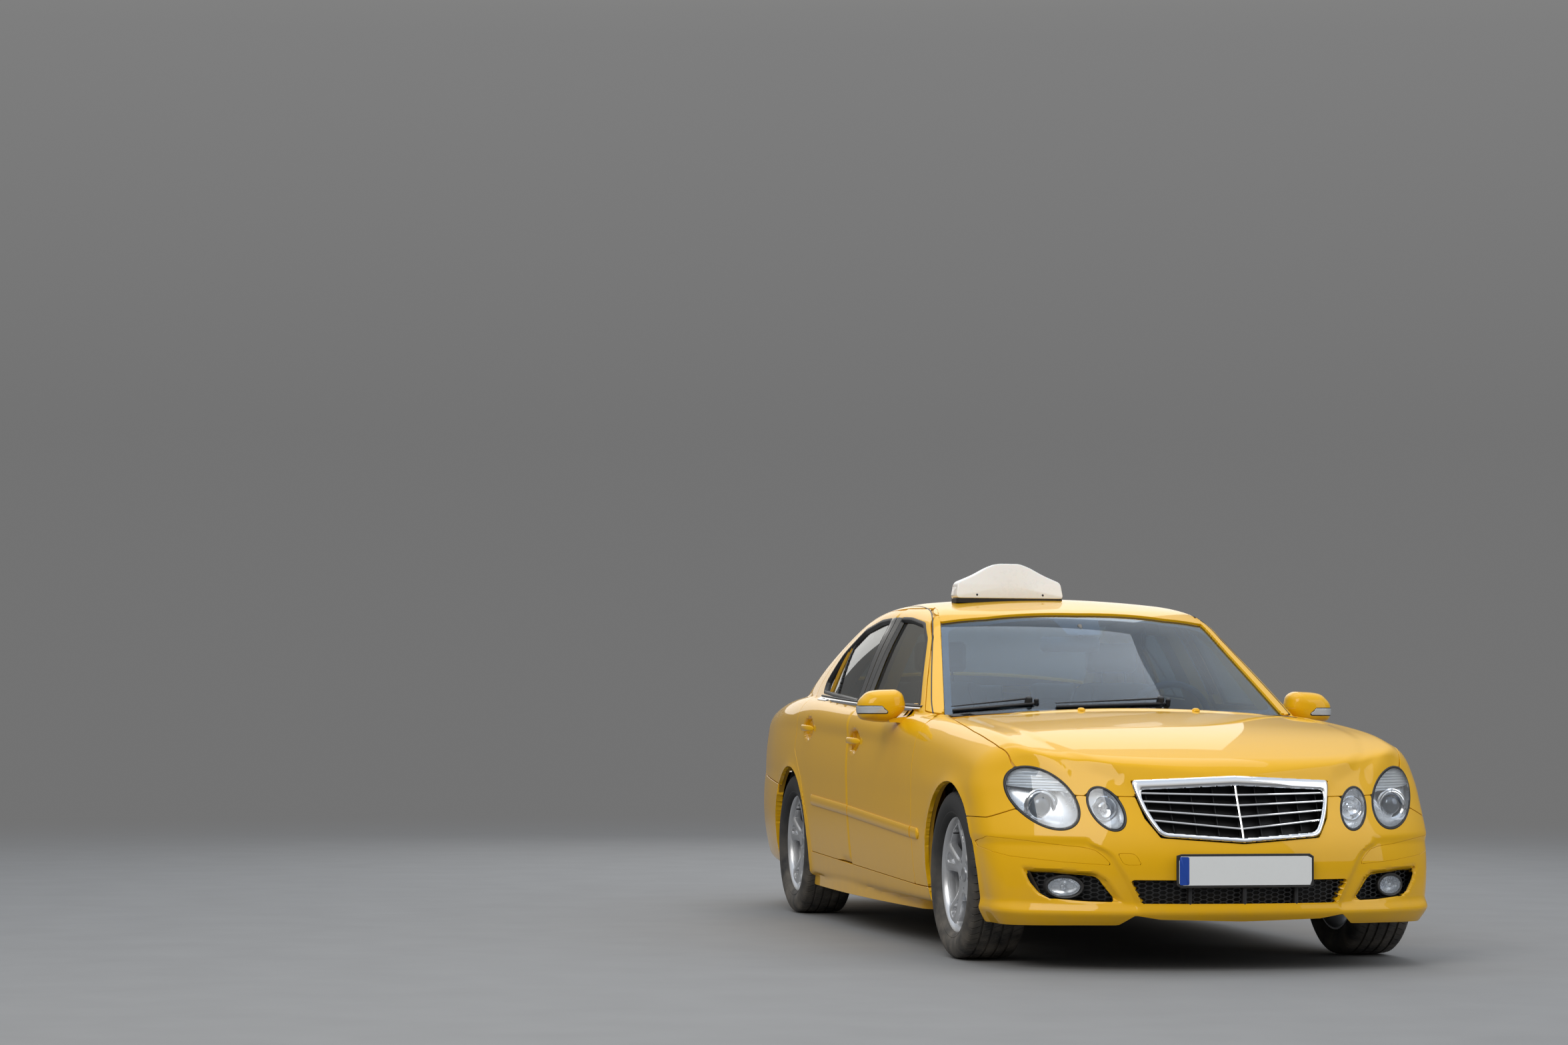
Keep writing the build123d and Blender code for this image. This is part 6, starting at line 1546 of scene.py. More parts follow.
FRONT_PLATE_PLACE = (0, -2.4165, 0.376)
make_object("front_plate_frame", plate_layer(FRONT_PLATE_PLACE, -1, 0.266, 0.062, 0.010, 0.006, 0.002),
            "body", BLACK_PLASTIC)
front_plate_at = np.array(FRONT_PLATE_PLACE) + np.array([0, -0.0062, 0])
make_object("front_plate", plate_layer(front_plate_at, -1, *PLATE_HALF_SIZE, 0.007, 0.0012, 0.0005), "body",
            PLATE_WHITE)
band_at = front_plate_at + np.array([-0.237, -0.0013, 0])
make_object("front_plate_band", plate_layer(band_at, -1, 0.0185, 0.0515, 0.006, 0.0004, 0.0001), "body",
            PLATE_BLUE)


# Wheels: forked spokes, rim, brake disc and tyre, drawn round the origin with the outside along +X

SPOKES = 5
SPOKE_TURN = math.radians(90)
FACE_X = 0.082
FACE_DISH = 0.022
HUB_RADIUS = 0.075
RIM_EDGE = 0.203
# Half width of a spoke and of the pocket in its fork, as (radii, half widths)
SPOKE_HALF = ((0.05, 0.08, 0.11, 0.15, 0.19, 0.215), (0.034, 0.030, 0.031, 0.040, 0.052, 0.058))
POCKET_HALF = ((0.108, 0.112, 0.130, 0.160, 0.188, 0.199, 0.203),
               (-0.01, 0.0, 0.006, 0.015, 0.021, 0.013, -0.01))
BOLT_CIRCLE = 0.056
BOLT_HOLE = 0.0085
RIM_PROFILE = [
    (0.2135, 0.0845), (0.2165, 0.0885), (0.2215, 0.0905), (0.2255, 0.0880), (0.2260, 0.0800),
    (0.2180, 0.0760), (0.2120, 0.0600), (0.2080, 0.0), (0.2120, -0.080), (0.2255, -0.092), (0.2255, -0.1010),
    (0.2190, -0.1010), (0.2080, -0.088), (0.2030, 0.0), (0.2060, 0.070), (0.2100, 0.0800), (0.2135, 0.0845),
]
CAP_PROFILE = [(0.0, 0.0668), (0.008, 0.0668), (0.009, 0.0662), (0.020, 0.0655), (0.021, 0.0662),
               (0.025, 0.0655), (0.0290, 0.0630), (0.0295, 0.055)]
WHEEL_BOLT_PROFILE = [(0.0, -0.001), (0.003, -0.001), (0.0035, 0.0), (0.0060, 0.0), (0.0070, -0.0015),
                      (0.0070, -0.012)]
DISC_PROFILE = [(0.0, 0.0312), (0.060, 0.0312), (0.069, 0.028), (0.071, 0.015), (0.145, 0.015),
                (0.148, 0.013), (0.148, 0.005), (0.145, 0.003), (0.080, 0.003)]


def nearest_spoke(radius, turn, first_turn):
    """Distance out along the nearest of the evenly turned spokes and distance to its side."""
    step = 2 * np.pi / SPOKES
    away = turn - first_turn
    away = away - np.round(away / step) * step
    return radius * np.cos(away), radius * np.sin(away)


def wheel_face():
    """Spokes, hub and outer ring as one dished sheet whose window edges run back, and the pockets' floors."""
    radii = np.concatenate([np.arange(0.026, 0.080, 0.003), np.arange(0.080, 0.2165, 0.0045)])
    around = np.linspace(0, 2 * np.pi, 220, endpoint=False)
    radius, turn = (a.ravel() for a in np.meshgrid(radii, around, indexing="ij"))
    _, aside = nearest_spoke(radius, turn, SPOKE_TURN)
    half = np.interp(radius, *SPOKE_HALF)
    solid = smooth_max(smooth_max(half - np.abs(aside), HUB_RADIUS - radius, 0.020), radius - RIM_EDGE, 0.014)
    pocket = np.interp(radius, *POCKET_HALF) - np.abs(aside)
    along, aside_bolt = nearest_spoke(radius, turn, SPOKE_TURN + np.pi / SPOKES)
    bolt = BOLT_HOLE - np.hypot(along - BOLT_CIRCLE, aside_bolt)
    edge = smooth_min(solid, -pocket, 0.004)
    crown = np.clip(0.006 * (aside / half) ** 2 * ramp(radius, 0.07, 0.11), 0, 0.008)
    x = FACE_X - FACE_DISH * (1 - (radius / 0.215) ** 2) - crown - 0.004 * (1 - ramp(edge, 0, 0.007))
    points = np.stack([x, radius * np.cos(turn), radius * np.sin(turn)], 1)
    faces = grid_faces(len(radii), len(around), closed=True)
    face = hem(*clip(points, faces, np.minimum(edge, -bolt)), depth=0.026, chamfer=0.0006,
               direction=(-1, 0, 0))
    floor = clip(points - np.array([0.014, 0, 0]), faces, pocket + 0.003)
    return joined(face, floor)


TREAD_HALF = 0.098
TREAD_BLOCKS = 64
GROOVES = (0.060, 0.021, -0.021, -0.060)
TYRE_SIDE = [(0.2225, 0.088), (0.228, 0.1000), (0.236, 0.1070), (0.2405, 0.1100), (0.244, 0.1095),
             (0.248, 0.1120), (0.262, 0.1175), (0.276, 0.1190), (0.290, 0.1170), (0.303, 0.1120),
             (0.3125, 0.1060), (0.3185, 0.0990)]
# Share of a tread block's length, and share of the cut's depth there
BLOCK_STEPS = [(0.0, 0.0), (0.05, 1.0), (0.13, 1.0), (0.18, 0.0)]


def tyre():
    """Closed ring: side walls with a rim guard, and a tread with four grooves and slanted cuts across."""
    tread = [0.092, 0.080, 0.070]
    for groove in GROOVES:
        tread += [groove + 0.0048, groove + 0.0032, groove - 0.0032, groove - 0.0048]
        tread.append(groove - 0.0195)
    tread = np.array(tread[:-1] + [-0.070, -0.080, -0.092])
    depth = np.where(np.min(np.abs(tread[:, None] - np.array(GROOVES)), axis=1) < 0.004, 0.007, 0.0)
    top = TYRE_RADIUS - 0.0042 * (tread / TREAD_HALF) ** 2 - depth
    side = np.array(TYRE_SIDE)
    profile = np.concatenate([side, np.stack([top, tread], 1), side[::-1] * [1, -1], side[:1]])
    radius, x = profile.T
    cut = np.where(np.abs(x) > 0.066, 0.005, 0.003) * ramp(radius, 0.300, 0.316)
    cut = np.where(radius < TYRE_RADIUS - 0.0065, 0.4 * cut * (np.abs(x) > 0.1), cut)
    places, shares = np.array(BLOCK_STEPS).T
    turn = ((np.arange(TREAD_BLOCKS)[:, None] + places) / TREAD_BLOCKS * 2 * np.pi).ravel()
    pattern = np.tile(shares, TREAD_BLOCKS)
    slant = 0.5 * np.clip(x, -TREAD_HALF, TREAD_HALF) / TYRE_RADIUS
    angle = turn[None, :] + slant[:, None]
    reach = radius[:, None] - cut[:, None] * pattern
    points = np.stack([np.broadcast_to(x[:, None], reach.shape), reach * np.cos(angle),
                       reach * np.sin(angle)], -1)
    return welded((points.reshape(-1, 3), grid_faces(len(profile), len(turn), closed=True)))


def moved(mesh, place):
    """The same mesh shifted to a place."""
    return mesh[0] + np.asarray(place, float), mesh[1]


AXLE = (1, 0, 0)
wheel_mesh = joined(wheel_face(), turned(RIM_PROFILE, (0, 0, 0), AXLE, 120))
bolt_turns = SPOKE_TURN + np.pi / SPOKES + np.arange(SPOKES) * 2 * np.pi / SPOKES
wheel_bolts = [turned(WHEEL_BOLT_PROFILE, (0.0555, BOLT_CIRCLE * math.cos(turn),
                                           BOLT_CIRCLE * math.sin(turn)), AXLE, 6)
               for turn in bolt_turns]
valve = turned([(0.0, 0.012), (0.0022, 0.0115), (0.0030, 0.009), (0.0034, -0.012)],
               (0.062, 0.192 * math.cos(0.94), 0.192 * math.sin(0.94)), AXLE, 12)
cap_mesh = joined(turned(CAP_PROFILE, (0, 0, 0), AXLE, 48), *wheel_bolts)
tyre_mesh = tyre()
disc_mesh = turned(DISC_PROFILE, (0, 0, 0), AXLE, 90)
caliper_turn = np.radians(np.linspace(-22, 28, 14))
CALIPER_SECTION = [(0.128, 0.018), (0.128, 0.023), (0.140, 0.026), (0.158, 0.025), (0.166, 0.019),
                   (0.166, -0.036), (0.152, -0.042), (0.152, 0.018)]
caliper_mesh = closed_form(np.stack([
    [(a, r * math.cos(turn), r * math.sin(turn)) for r, a in CALIPER_SECTION] for turn in caliper_turn]))
for end in ("front", "rear"):
    place = (WHEEL_X[end], AXLE_Y[end], TYRE_RADIUS)
    body = "wheel_" + end + "_*"
    both_sides("wheel_" + end, moved(wheel_mesh, place), body, ALLOY, [body], 40)
    both_sides("wheel_cap_" + end, moved(cap_mesh, place), body, SATIN)
    both_sides("wheel_valve_" + end, moved(valve, place), body, SEAL)
    both_sides("brake_disc_" + end, moved(disc_mesh, place), body, SATIN)
    both_sides("tyre_" + end, moved(tyre_mesh, place), body, RUBBER, ["tyre_" + end + "_*"],
               30)
    both_sides("brake_caliper_" + end, moved(caliper_mesh, place), "knuckle_*" if end == "front" else "body",
               CAST)


# Door mirrors: a body-coloured housing and foot, an indicator band and the glass

MIRROR_CENTRE = (0.935, 0.972)
MIRROR_OUTLINE = [(-103, -5), (-88, 52), (-61, 70), (20, 67), (60, 60), (97, 23), (104, -13), (94, -55),
                  (30, -66), (-28, -68), (-75, -40)]
MIRROR_FOOT = [(915, 921), (834, 928), (805, 950), (790, 990), (783, 925), (812, 893), (881, 905), (915, 905)]
# Depth ahead of the housing's back edge and share of the outline's size
MIRROR_RINGS = [(0.0, 0.90), (0.003, 0.955), (0.010, 0.985), (0.022, 1.0), (0.040, 1.0), (0.058, 0.975),
                (0.074, 0.925), (0.088, 0.84), (0.099, 0.71), (0.106, 0.54), (0.110, 0.34), (0.1115, 0.15)]
MIRROR_BACK_Y = -0.583


def mirror_ring(share, y, count=96):
    """Outline of the mirror housing at a length, scaled by a share."""
    loop = resampled(rounded(metres(MIRROR_OUTLINE), 0.03), count) * share
    return np.stack([MIRROR_CENTRE[0] + loop[:, 0], np.full(count, y), MIRROR_CENTRE[1] + loop[:, 1]], 1)


mirror_rings = [mirror_ring(share, MIRROR_BACK_Y - depth) for depth, share in MIRROR_RINGS]
housing = closed_form([mirror_ring(0.88, MIRROR_BACK_Y - 0.012)] + mirror_rings)
foot_loop = rounded(metres(MIRROR_FOOT), 0.012)
foot = closed_form([np.stack([foot_loop[:, 0], np.full(len(foot_loop), y), foot_loop[:, 1]], 1)
                    for y in (-0.606, -0.612, -0.662, -0.668)])
both_sides("mirror_housing", joined(housing, foot), "door_front_*", PAINT, ["mirror_*"], 40)
mirror_glass = closed_form([mirror_ring(0.86, MIRROR_BACK_Y - 0.008),
                            mirror_ring(0.86, MIRROR_BACK_Y - 0.0035),
                            mirror_ring(0.845, MIRROR_BACK_Y - 0.002)])
both_sides("mirror_glass", mirror_glass, "door_front_*", REFLECTOR)
band_points, band_faces = housing
band_points = band_points + 0.0016 * vertex_normals(*housing)
x, y, z = band_points.T
slant = x - 0.950 + 1.1 * (0.969 - z)
ahead_of_back = MIRROR_BACK_Y - 0.02 - y
band_edge = hem(*clip(band_points, band_faces,
                      lowest(z - 0.940, 0.973 - z, slant + 0.003, ahead_of_back + 0.004)), 0.003)
both_sides("mirror_band_edge", band_edge, "door_front_*", SEAL)
band_points = band_points + 0.0010 * vertex_normals(*housing)
x, y, z = band_points.T
band = hem(*clip(band_points, band_faces, lowest(z - 0.9435, 0.9695 - z, slant, ahead_of_back)), 0.003)
both_sides("mirror_band", band, "door_front_*", RIB_PLASTIC)


# Door trim: seals, pillar covers, belt strip, handles and rub strips, each on its own door

def along_flank(ys, zs, section, grow=1.0, lift=0.0):
    """Closed bar along the flank: a section of (height, lift) points carried from place to place."""
    ys, zs = np.asarray(ys, float), np.broadcast_to(np.asarray(zs, float), len(ys))
    section = np.asarray(section, float)
    grow, lift = (np.broadcast_to(a, len(ys))[:, None] for a in (grow, lift))
    y = np.repeat(ys, len(section))
    z = (zs[:, None] + grow * section[:, 0]).ravel()
    rings = flank_points(y, z, (grow * section[:, 1] + lift).ravel()).reshape(len(ys), len(section), 3)
    return closed_form(rings)


def flank_loop(outline, rings, count=260):
    """Strip round a window: each ring is a distance inside the outline and a lift off the flank."""
    loop = resampled(rounded(metres(outline), 0.022), count)
    points = np.concatenate([flank_points(*inset(loop, away).T, lift) for away, lift in rings])
    faces = grid_faces(len(rings), count, closed=True)
    return points, faces[:, ::-1] if loop_area(loop) > 0 else faces


def flank_patch(outline, lift, depth=0.004):
    """Patch of the flank inside an outline, lifted off it, with its edges turned in."""
    keep = inside_polygon(SIDE_Y, SIDE_Z, metres(outline))
    points, faces = clip(*SIDE, keep)
    points, faces = compact(points, faces)
    return hem(points + lift * gradient(car_field, points), faces, depth, 0.0008)


SEAL_RINGS = [(-0.006, -0.001), (-0.005, 0.0018), (0.000, 0.0030), (0.006, 0.0015), (0.010, -0.004),
              (0.014, -0.0125)]
PILLAR_COVERS = {
    "front": [(split_y(-62, 950), 992), (split_y(-2, 950), 992), (split_y(-2, 1390), 1362),
              (split_y(-76, 1390), 1358)],
    "rear": [(split_y(9, 950), 994), (split_y(70, 950), 994), (split_y(77, 1390), 1358),
             (split_y(9, 1390), 1362)],
}
BELT_ENDS = {"front": (-0.742, 0.128), "rear": (0.142, 1.030)}
BELT_LINE = ((-0.742, 0.131, 1.030), (0.966, 0.983, 1.012))
BELT_SECTION = [(-0.0155, -0.002), (-0.0150, 0.0030), (-0.0110, 0.0058), (-0.0050, 0.0062), (-0.0015, 0.0040),
                (-0.0010, -0.002)]
WIPE_SECTION = [(0.0, -0.003), (0.0005, 0.0035), (0.0050, 0.0045), (0.0090, 0.0015), (0.0100, -0.012)]
HANDLE_LENGTH = 0.206
HANDLE_REACH = 0.023
STRIP_LINE = ((-1.107, -0.950, 0.150, 0.830), (0.462, 0.467, 0.519, 0.544))
STRIP_SECTION = [(-0.023, -0.002), (-0.0225, 0.0035), (-0.017, 0.0070), (-0.006, 0.0080), (0.008, 0.0080),
                 (0.018, 0.0065), (0.0225, 0.0030), (0.023, -0.002)]
STRIP_ENDS = {"front": (-0.981, 0.083), "rear": (0.093, 0.830)}

for end in ("front", "rear"):
    body = "door_" + end + "_*"
    belt_y = np.linspace(*BELT_ENDS[end], 60)
    belt_z = np.interp(belt_y, *BELT_LINE)
    seal = joined(flank_loop(WINDOW_OUTLINES[end], SEAL_RINGS), along_flank(belt_y, belt_z, WIPE_SECTION))
    both_sides("window_seal_" + end, seal, body, SEAL)
    both_sides("pillar_cover_" + end, flank_patch(PILLAR_COVERS[end], 0.0022), body, GLOSS_BLACK)
    belt = along_flank(belt_y, belt_z, BELT_SECTION)
    both_sides("belt_strip_" + end, belt, body, CHROME)
    share = np.linspace(-1, 1, 33)
    handle_y, handle_z = HANDLES[end]
    swell = np.sqrt(np.clip(1 - share ** 8, 0.02, 1))
    angle = np.linspace(0, 2 * np.pi, 16, endpoint=False)
    grip = np.stack([0.0150 * np.cos(angle), 0.0062 * np.sin(angle)], 1)
    bar = along_flank(handle_y + share * HANDLE_LENGTH / 2, handle_z + 0.002 * share, grip, swell,
                      HANDLE_REACH * (1 - np.abs(share) ** 3.2) - 0.001)
    both_sides("door_handle_" + end, bar, body, PAINT)
    strip_y = np.linspace(*STRIP_ENDS[end], 70)
    taper = ramp(0.834 - strip_y, 0, 0.030) * 0.85 + 0.15
    strip = along_flank(strip_y, np.interp(strip_y, *STRIP_LINE), STRIP_SECTION, taper)
    both_sides("rub_strip_" + end, strip, body, PAINT)
strip_y = np.linspace(-1.107, -0.995, 20)
fender_strip = along_flank(strip_y, np.interp(strip_y, *STRIP_LINE), STRIP_SECTION,
                           ramp(strip_y, -1.112, -1.085) * 0.85 + 0.15)
both_sides("rub_strip_fender", fender_strip, "body", PAINT)
DIVIDER = [(690, 992), (706, 992), (862, 1308), (846, 1308)]
both_sides("window_divider", flank_patch(DIVIDER, -0.0075, 0.005), "door_rear_*", SEAL)


def top_points(x, y, lift=0.0):
    """Points of the roof, pillars and screens seen from above, lifted off the surface."""
    return surface_points(car_field, x, y, 0.88, (0, 0, 1), 0.0, 0.7, lift)


# How far outside the roof's edge the drip line runs, as (length, distance)
DRIP_LINE = ((-0.80, -0.578, -0.27, 0.90, 1.40), (0.050, 0.044, 0.030, 0.028, 0.030))
drip_y = np.linspace(-0.845, 1.40, 150)
drip_x = half_width(ROOF_EDGE, drip_y) + np.interp(drip_y, *DRIP_LINE)
drip_x = np.convolve(np.pad(drip_x, 6, mode="edge"), np.ones(13) / 13, "valid")
drip = closed_form(np.stack([top_points(drip_x + a, drip_y, b) for a, b in (
    (-0.0030, -0.003), (-0.0024, 0.0009), (0.0024, 0.0009), (0.0030, -0.003))], 1))
both_sides("drip_line", drip, "body", SEAL)


# Windscreen: black border, inner mirror, wipers and washer jets

def along_screen(mesh, depth):
    """The same mesh moved in along its normals by a depth."""
    return mesh[0] - depth * vertex_normals(*mesh), mesh[1]


screen_mesh = compact(*WINDSCREEN)
x, y, z = screen_mesh[0].T
side_way = (half_width(ROOF_EDGE, y) - np.abs(x)) * 0.9
top_way = (line_value(ROOF_FRONT, np.abs(x)) - y) * 1.1
foot_way = (z - SCREEN_FOOT_Z) * 2.2
POD_OUTLINE = [(-0.150, -0.25), (0.100, -0.25), (0.068, -0.425), (0.050, -0.520), (0.030, -0.530),
               (-0.080, -0.530), (-0.100, -0.520), (-0.118, -0.425)]
clear = smooth_min(smooth_min(side_way - 0.030, top_way - 0.055, 0.05), foot_way - 0.075, 0.05)
clear = smooth_min(clear, -inside_polygon(x, y, POD_OUTLINE), 0.012)
frit = slab(along_screen(clip(*screen_mesh, -clear), GLASS_THICKNESS + 0.0008), 0.0006)
make_object("windscreen_border", frit, "body", GLOSS_BLACK)

INNER_MIRROR = (-0.075, -0.470, 1.235)
inner_rings = []
for depth, shrink in ((0.0, 0.006), (0.003, 0.0), (0.010, 0.0), (0.024, 0.010), (0.030, 0.022)):
    loop = round_box_outline(0.132 - shrink, 0.033 - shrink, 0.024, 60)
    bow = 0.10 * loop[:, 0] ** 2
    inner_rings.append(np.stack([loop[:, 0], -depth + bow, loop[:, 1] - 0.004 * depth], 1) + INNER_MIRROR)
inner_stem = tube(smooth_path([(-0.030, -0.485, 1.250), (-0.026, -0.480, 1.285), (-0.026, -0.455, 1.318)],
                              12), 0.010)
make_object("inner_mirror", joined(closed_form(inner_rings), inner_stem), "body", TRIM)


def screen_points(x, z, lift):
    """Points of the windscreen at x and z, lifted off the glass."""
    return surface_points(glass_field, x, 0.1, z, (0, -1, 0), 0.0, 1.6, lift)


# Each wiper: place of its pivot and of its tip, as x and z on the glass
WIPERS = [((-0.400, 0.987), (-0.695, 0.958)), ((0.145, 0.990), (-0.300, 0.974))]
WIPER_AXIS = (0, -0.35, 1)
wiper_parts = []
for (pivot_x, pivot_z), (tip_x, tip_z) in WIPERS:
    share = np.linspace(0, 1, 24)
    arm_z = pivot_z + (tip_z - pivot_z) * share
    arm = screen_points(pivot_x + (tip_x - pivot_x) * share, arm_z + 0.004, 0.019 - 0.007 * share)
    wiper_parts.append(tube(arm, 0.0075 - 0.004 * share, 8, 0.6))
    blade = screen_points(pivot_x + 0.02 + (tip_x - 0.02 - pivot_x) * share, arm_z - 0.006, 0.006)
    wiper_parts.append(tube(blade, 0.0050, 8, 1.2))
    knob = screen_points(pivot_x, pivot_z, 0.004)[0]
    wiper_parts.append(turned([(0, 0.026), (0.008, 0.0255), (0.013, 0.022), (0.015, 0.015), (0.017, -0.012)],
                              knob, WIPER_AXIS))
    wiper_parts.append(turned([(0, 0.017), (0.006, 0.0165), (0.010, 0.013), (0.011, -0.012)],
                              knob + np.array([0.032, -0.004, 0]), WIPER_AXIS))
make_object("wipers", joined(*wiper_parts), "body", BLACK_PLASTIC)

JET_Y = -1.176
jet_parts = []
for x_jet in (-0.243, 0.243):
    place = surface_points(body_field, x_jet, JET_Y, 0.6, (0, 0, 1), 0.0, 0.6)[0]
    jet_parts.append(turned([(0, 0.0085), (0.008, 0.008), (0.013, 0.0055), (0.016, 0.0010), (0.017, -0.003)],
                            place, (0, -0.1, 1), 24))
make_object("washer_jets", joined(*jet_parts), "bonnet", PAINT)


# Roof sign, left bare

SIGN_MIDDLE = (-0.188, 0.100)
SIGN_FOOT_Z = 1.446
SIGN_HALF = [(0.0, 1.600), (0.050, 1.600), (0.092, 1.585), (0.160, 1.548), (0.228, 1.519), (0.236, 1.508),
             (0.245, 1.446)]
SIGN_EDGE = [(-1.0, 0.0060), (-0.97, 0.0022), (-0.90, 0.0), (0.90, 0.0), (0.97, 0.0022), (1.0, 0.0060)]
sign_loop = resampled(rounded(mirrored(SIGN_HALF), 0.018, 8), 160)


def sign_depth(z):
    """Half depth of the sign at a height."""
    return 0.054 - 0.033 * (z - SIGN_FOOT_Z) / 0.154


sign_rings = []
for share, shrink in SIGN_EDGE:
    ring = inset(sign_loop, shrink)
    sign_rings.append(np.stack([SIGN_MIDDLE[0] + ring[:, 0], SIGN_MIDDLE[1] + share * sign_depth(ring[:, 1]),
                                ring[:, 1]], 1))
sign_piece = make_object("taxi_sign_cover", closed_form(sign_rings), "body", SIGN_WHITE)
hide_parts("taxi_sign")
base_rings = []
for z_base, shrink in ((1.426, 0.004), (1.4440, 0.004), (1.4470, 0.007)):
    loop = resampled(rounded([(-0.245, -0.055), (0.245, -0.055), (0.245, 0.055), (-0.245, 0.055)], 0.012), 80)
    loop = inset(loop, shrink)
    base_rings.append(np.stack([SIGN_MIDDLE[0] + loop[:, 0], SIGN_MIDDLE[1] + loop[:, 1],
                                np.full(80, z_base)], 1))
make_object("taxi_sign_base", closed_form(base_rings), "body", SEAL)
screws = []
for x_screw in (-0.150, 0.150):
    for facing in (-1, 1):
        z_screw = 1.4615
        at = (SIGN_MIDDLE[0] + x_screw, SIGN_MIDDLE[1] + facing * sign_depth(z_screw), z_screw)
        screws.append(turned([(0, 0.0016), (0.0030, 0.0015), (0.0048, 0.0006), (0.0052, -0.002)], at,
                             (0, facing, 0.2), 18))
make_object("taxi_sign_screws", joined(*screws), "body", SEAL)


# Seats and rear bench: every cushion is a crowned, sewn form of its own

SEAM_STEPS = np.array([-0.05, -0.025, -0.010, 0.0, 0.010, 0.025, 0.05])


def pad(centre, half, lean, thick, facing, seams=(), cross_seams=(), crown=0.014, steps=11, power=5.0):
    """Rounded box with a swelling broad face, sides that pull in and sewn channels in that face."""
    even = np.tan(np.linspace(-math.pi / 4, math.pi / 4, steps))
    fine = [s + SEAM_STEPS for s in list(seams) + list(cross_seams)]
    side = np.unique(np.round(np.concatenate([even] + fine), 4))
    side = side[np.abs(side) <= 1.0]
    u, v = (a.ravel() for a in np.meshgrid(side, side, indexing="ij"))
    sheets = []
    for axis in range(3):
        for sign in (-1, 1):
            cube = np.empty((len(u), 3))
            cube[:, axis] = sign
            cube[:, (axis + 1) % 3] = u * sign
            cube[:, (axis + 2) % 3] = v
            sheets.append((cube, grid_faces(len(side), len(side))))
    cube, faces = welded(joined(*sheets))
    unit = cube / np.sum(np.abs(cube) ** power, axis=1, keepdims=True) ** (1 / power)
    points = unit * np.asarray(half, float)
    wide = [k for k in range(3) if k != thick]
    hill = (1 - unit[:, wide[0]] ** 2) * (1 - unit[:, wide[1]] ** 2)
    points[:, thick] += crown * hill * np.sign(unit[:, thick])
    for k, other in (wide, wide[::-1]):
        points[:, k] -= 0.010 * (1 - unit[:, other] ** 2) * unit[:, k] ** 3
    broad = np.clip(unit[:, thick] * facing * 1.6 - 0.5, 0, 1)
    groove = sum(bump(cube[:, wide[0]], s, 0.028) for s in seams) + sum(bump(cube[:, wide[1]], s, 0.028)
                                                                        for s in cross_seams)
    edge_seam = bump(unit[:, thick] * facing, 0.45, 0.10)
    points[:, thick] -= facing * 0.007 * np.clip(groove, 0, 1) * broad
    points -= 0.0035 * edge_seam[:, None] * unit
    tilt = math.radians(lean)
    y, z = points[:, 1].copy(), points[:, 2].copy()
    points[:, 1] = y * math.cos(tilt) + z * math.sin(tilt)
    points[:, 2] = z * math.cos(tilt) - y * math.sin(tilt)
    return points + np.asarray(centre, float), faces


SEAT_X = 0.406
SEAT_PADS = [
    # name, centre, half size, lean, thick axis, facing, seams across X, seams along the other way
    ("seat_cushion", (SEAT_X, -0.035, 0.420), (0.228, 0.262, 0.074), -4, 2, 1, (-0.6, 0.6),
     (-0.35, 0.1, 0.55)),
    ("seat_back", (SEAT_X, 0.338, 0.770), (0.222, 0.058, 0.325), 14, 1, -1, (-0.6, 0.6), (-0.5, -0.1, 0.3)),
    ("seat_head_rest", (SEAT_X - 0.006, 0.436, 1.190), (0.122, 0.043, 0.073), 8, 1, -1, (), ()),
]
BENCH_PADS = [
    ("bench_cushion", (0, 0.765, 0.492), (0.590, 0.215, 0.066), -3, 2, 1, (-0.36, 0.36), (0.45,)),
    ("bench_back", (0, 1.125, 0.765), (0.586, 0.056, 0.215), 18, 1, -1, (-0.36, 0.36), (-0.45,)),
    ("bench_head_rest_left", (0.36, 1.190, 1.035), (0.118, 0.038, 0.050), 14, 1, -1, (), ()),
    ("bench_head_rest_right", (-0.36, 1.190, 1.035), (0.118, 0.038, 0.050), 14, 1, -1, (), ()),
    ("bench_head_rest_middle", (0, 1.190, 1.030), (0.110, 0.036, 0.044), 14, 1, -1, (), ()),
]
for name, centre, half, lean, thick, facing, seams, cross_seams in SEAT_PADS:
    mesh = pad(centre, half, lean, thick, facing, seams, cross_seams)
    for piece in both_sides(name, mesh, "body", LEATHER, ["front_seats"], 60):
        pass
for name, centre, half, lean, thick, facing, seams, cross_seams in BENCH_PADS:
    piece = make_object(name, pad(centre, half, lean, thick, facing, seams, cross_seams), "body", LEATHER,
                        60)
    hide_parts("rear_bench")
frame_parts = []
for x_post in (-0.055, 0.055):
    frame_parts.append(tube(smooth_path([(SEAT_X + x_post, 0.405, 1.060), (SEAT_X + x_post, 0.420, 1.130)],
                                        6), 0.006))
seat_frame = [tuple(p) for p in rounded([(0.19, -0.23), (0.62, -0.23), (0.62, 0.20), (0.19, 0.20)], 0.05)]
frame_parts.append(closed_form([[(a, b, z) for a, b in seat_frame] for z in (0.2285, 0.262, 0.338)]))
both_sides("seat_frame", joined(*frame_parts), "body", BLACK_PLASTIC)


# Steering wheel

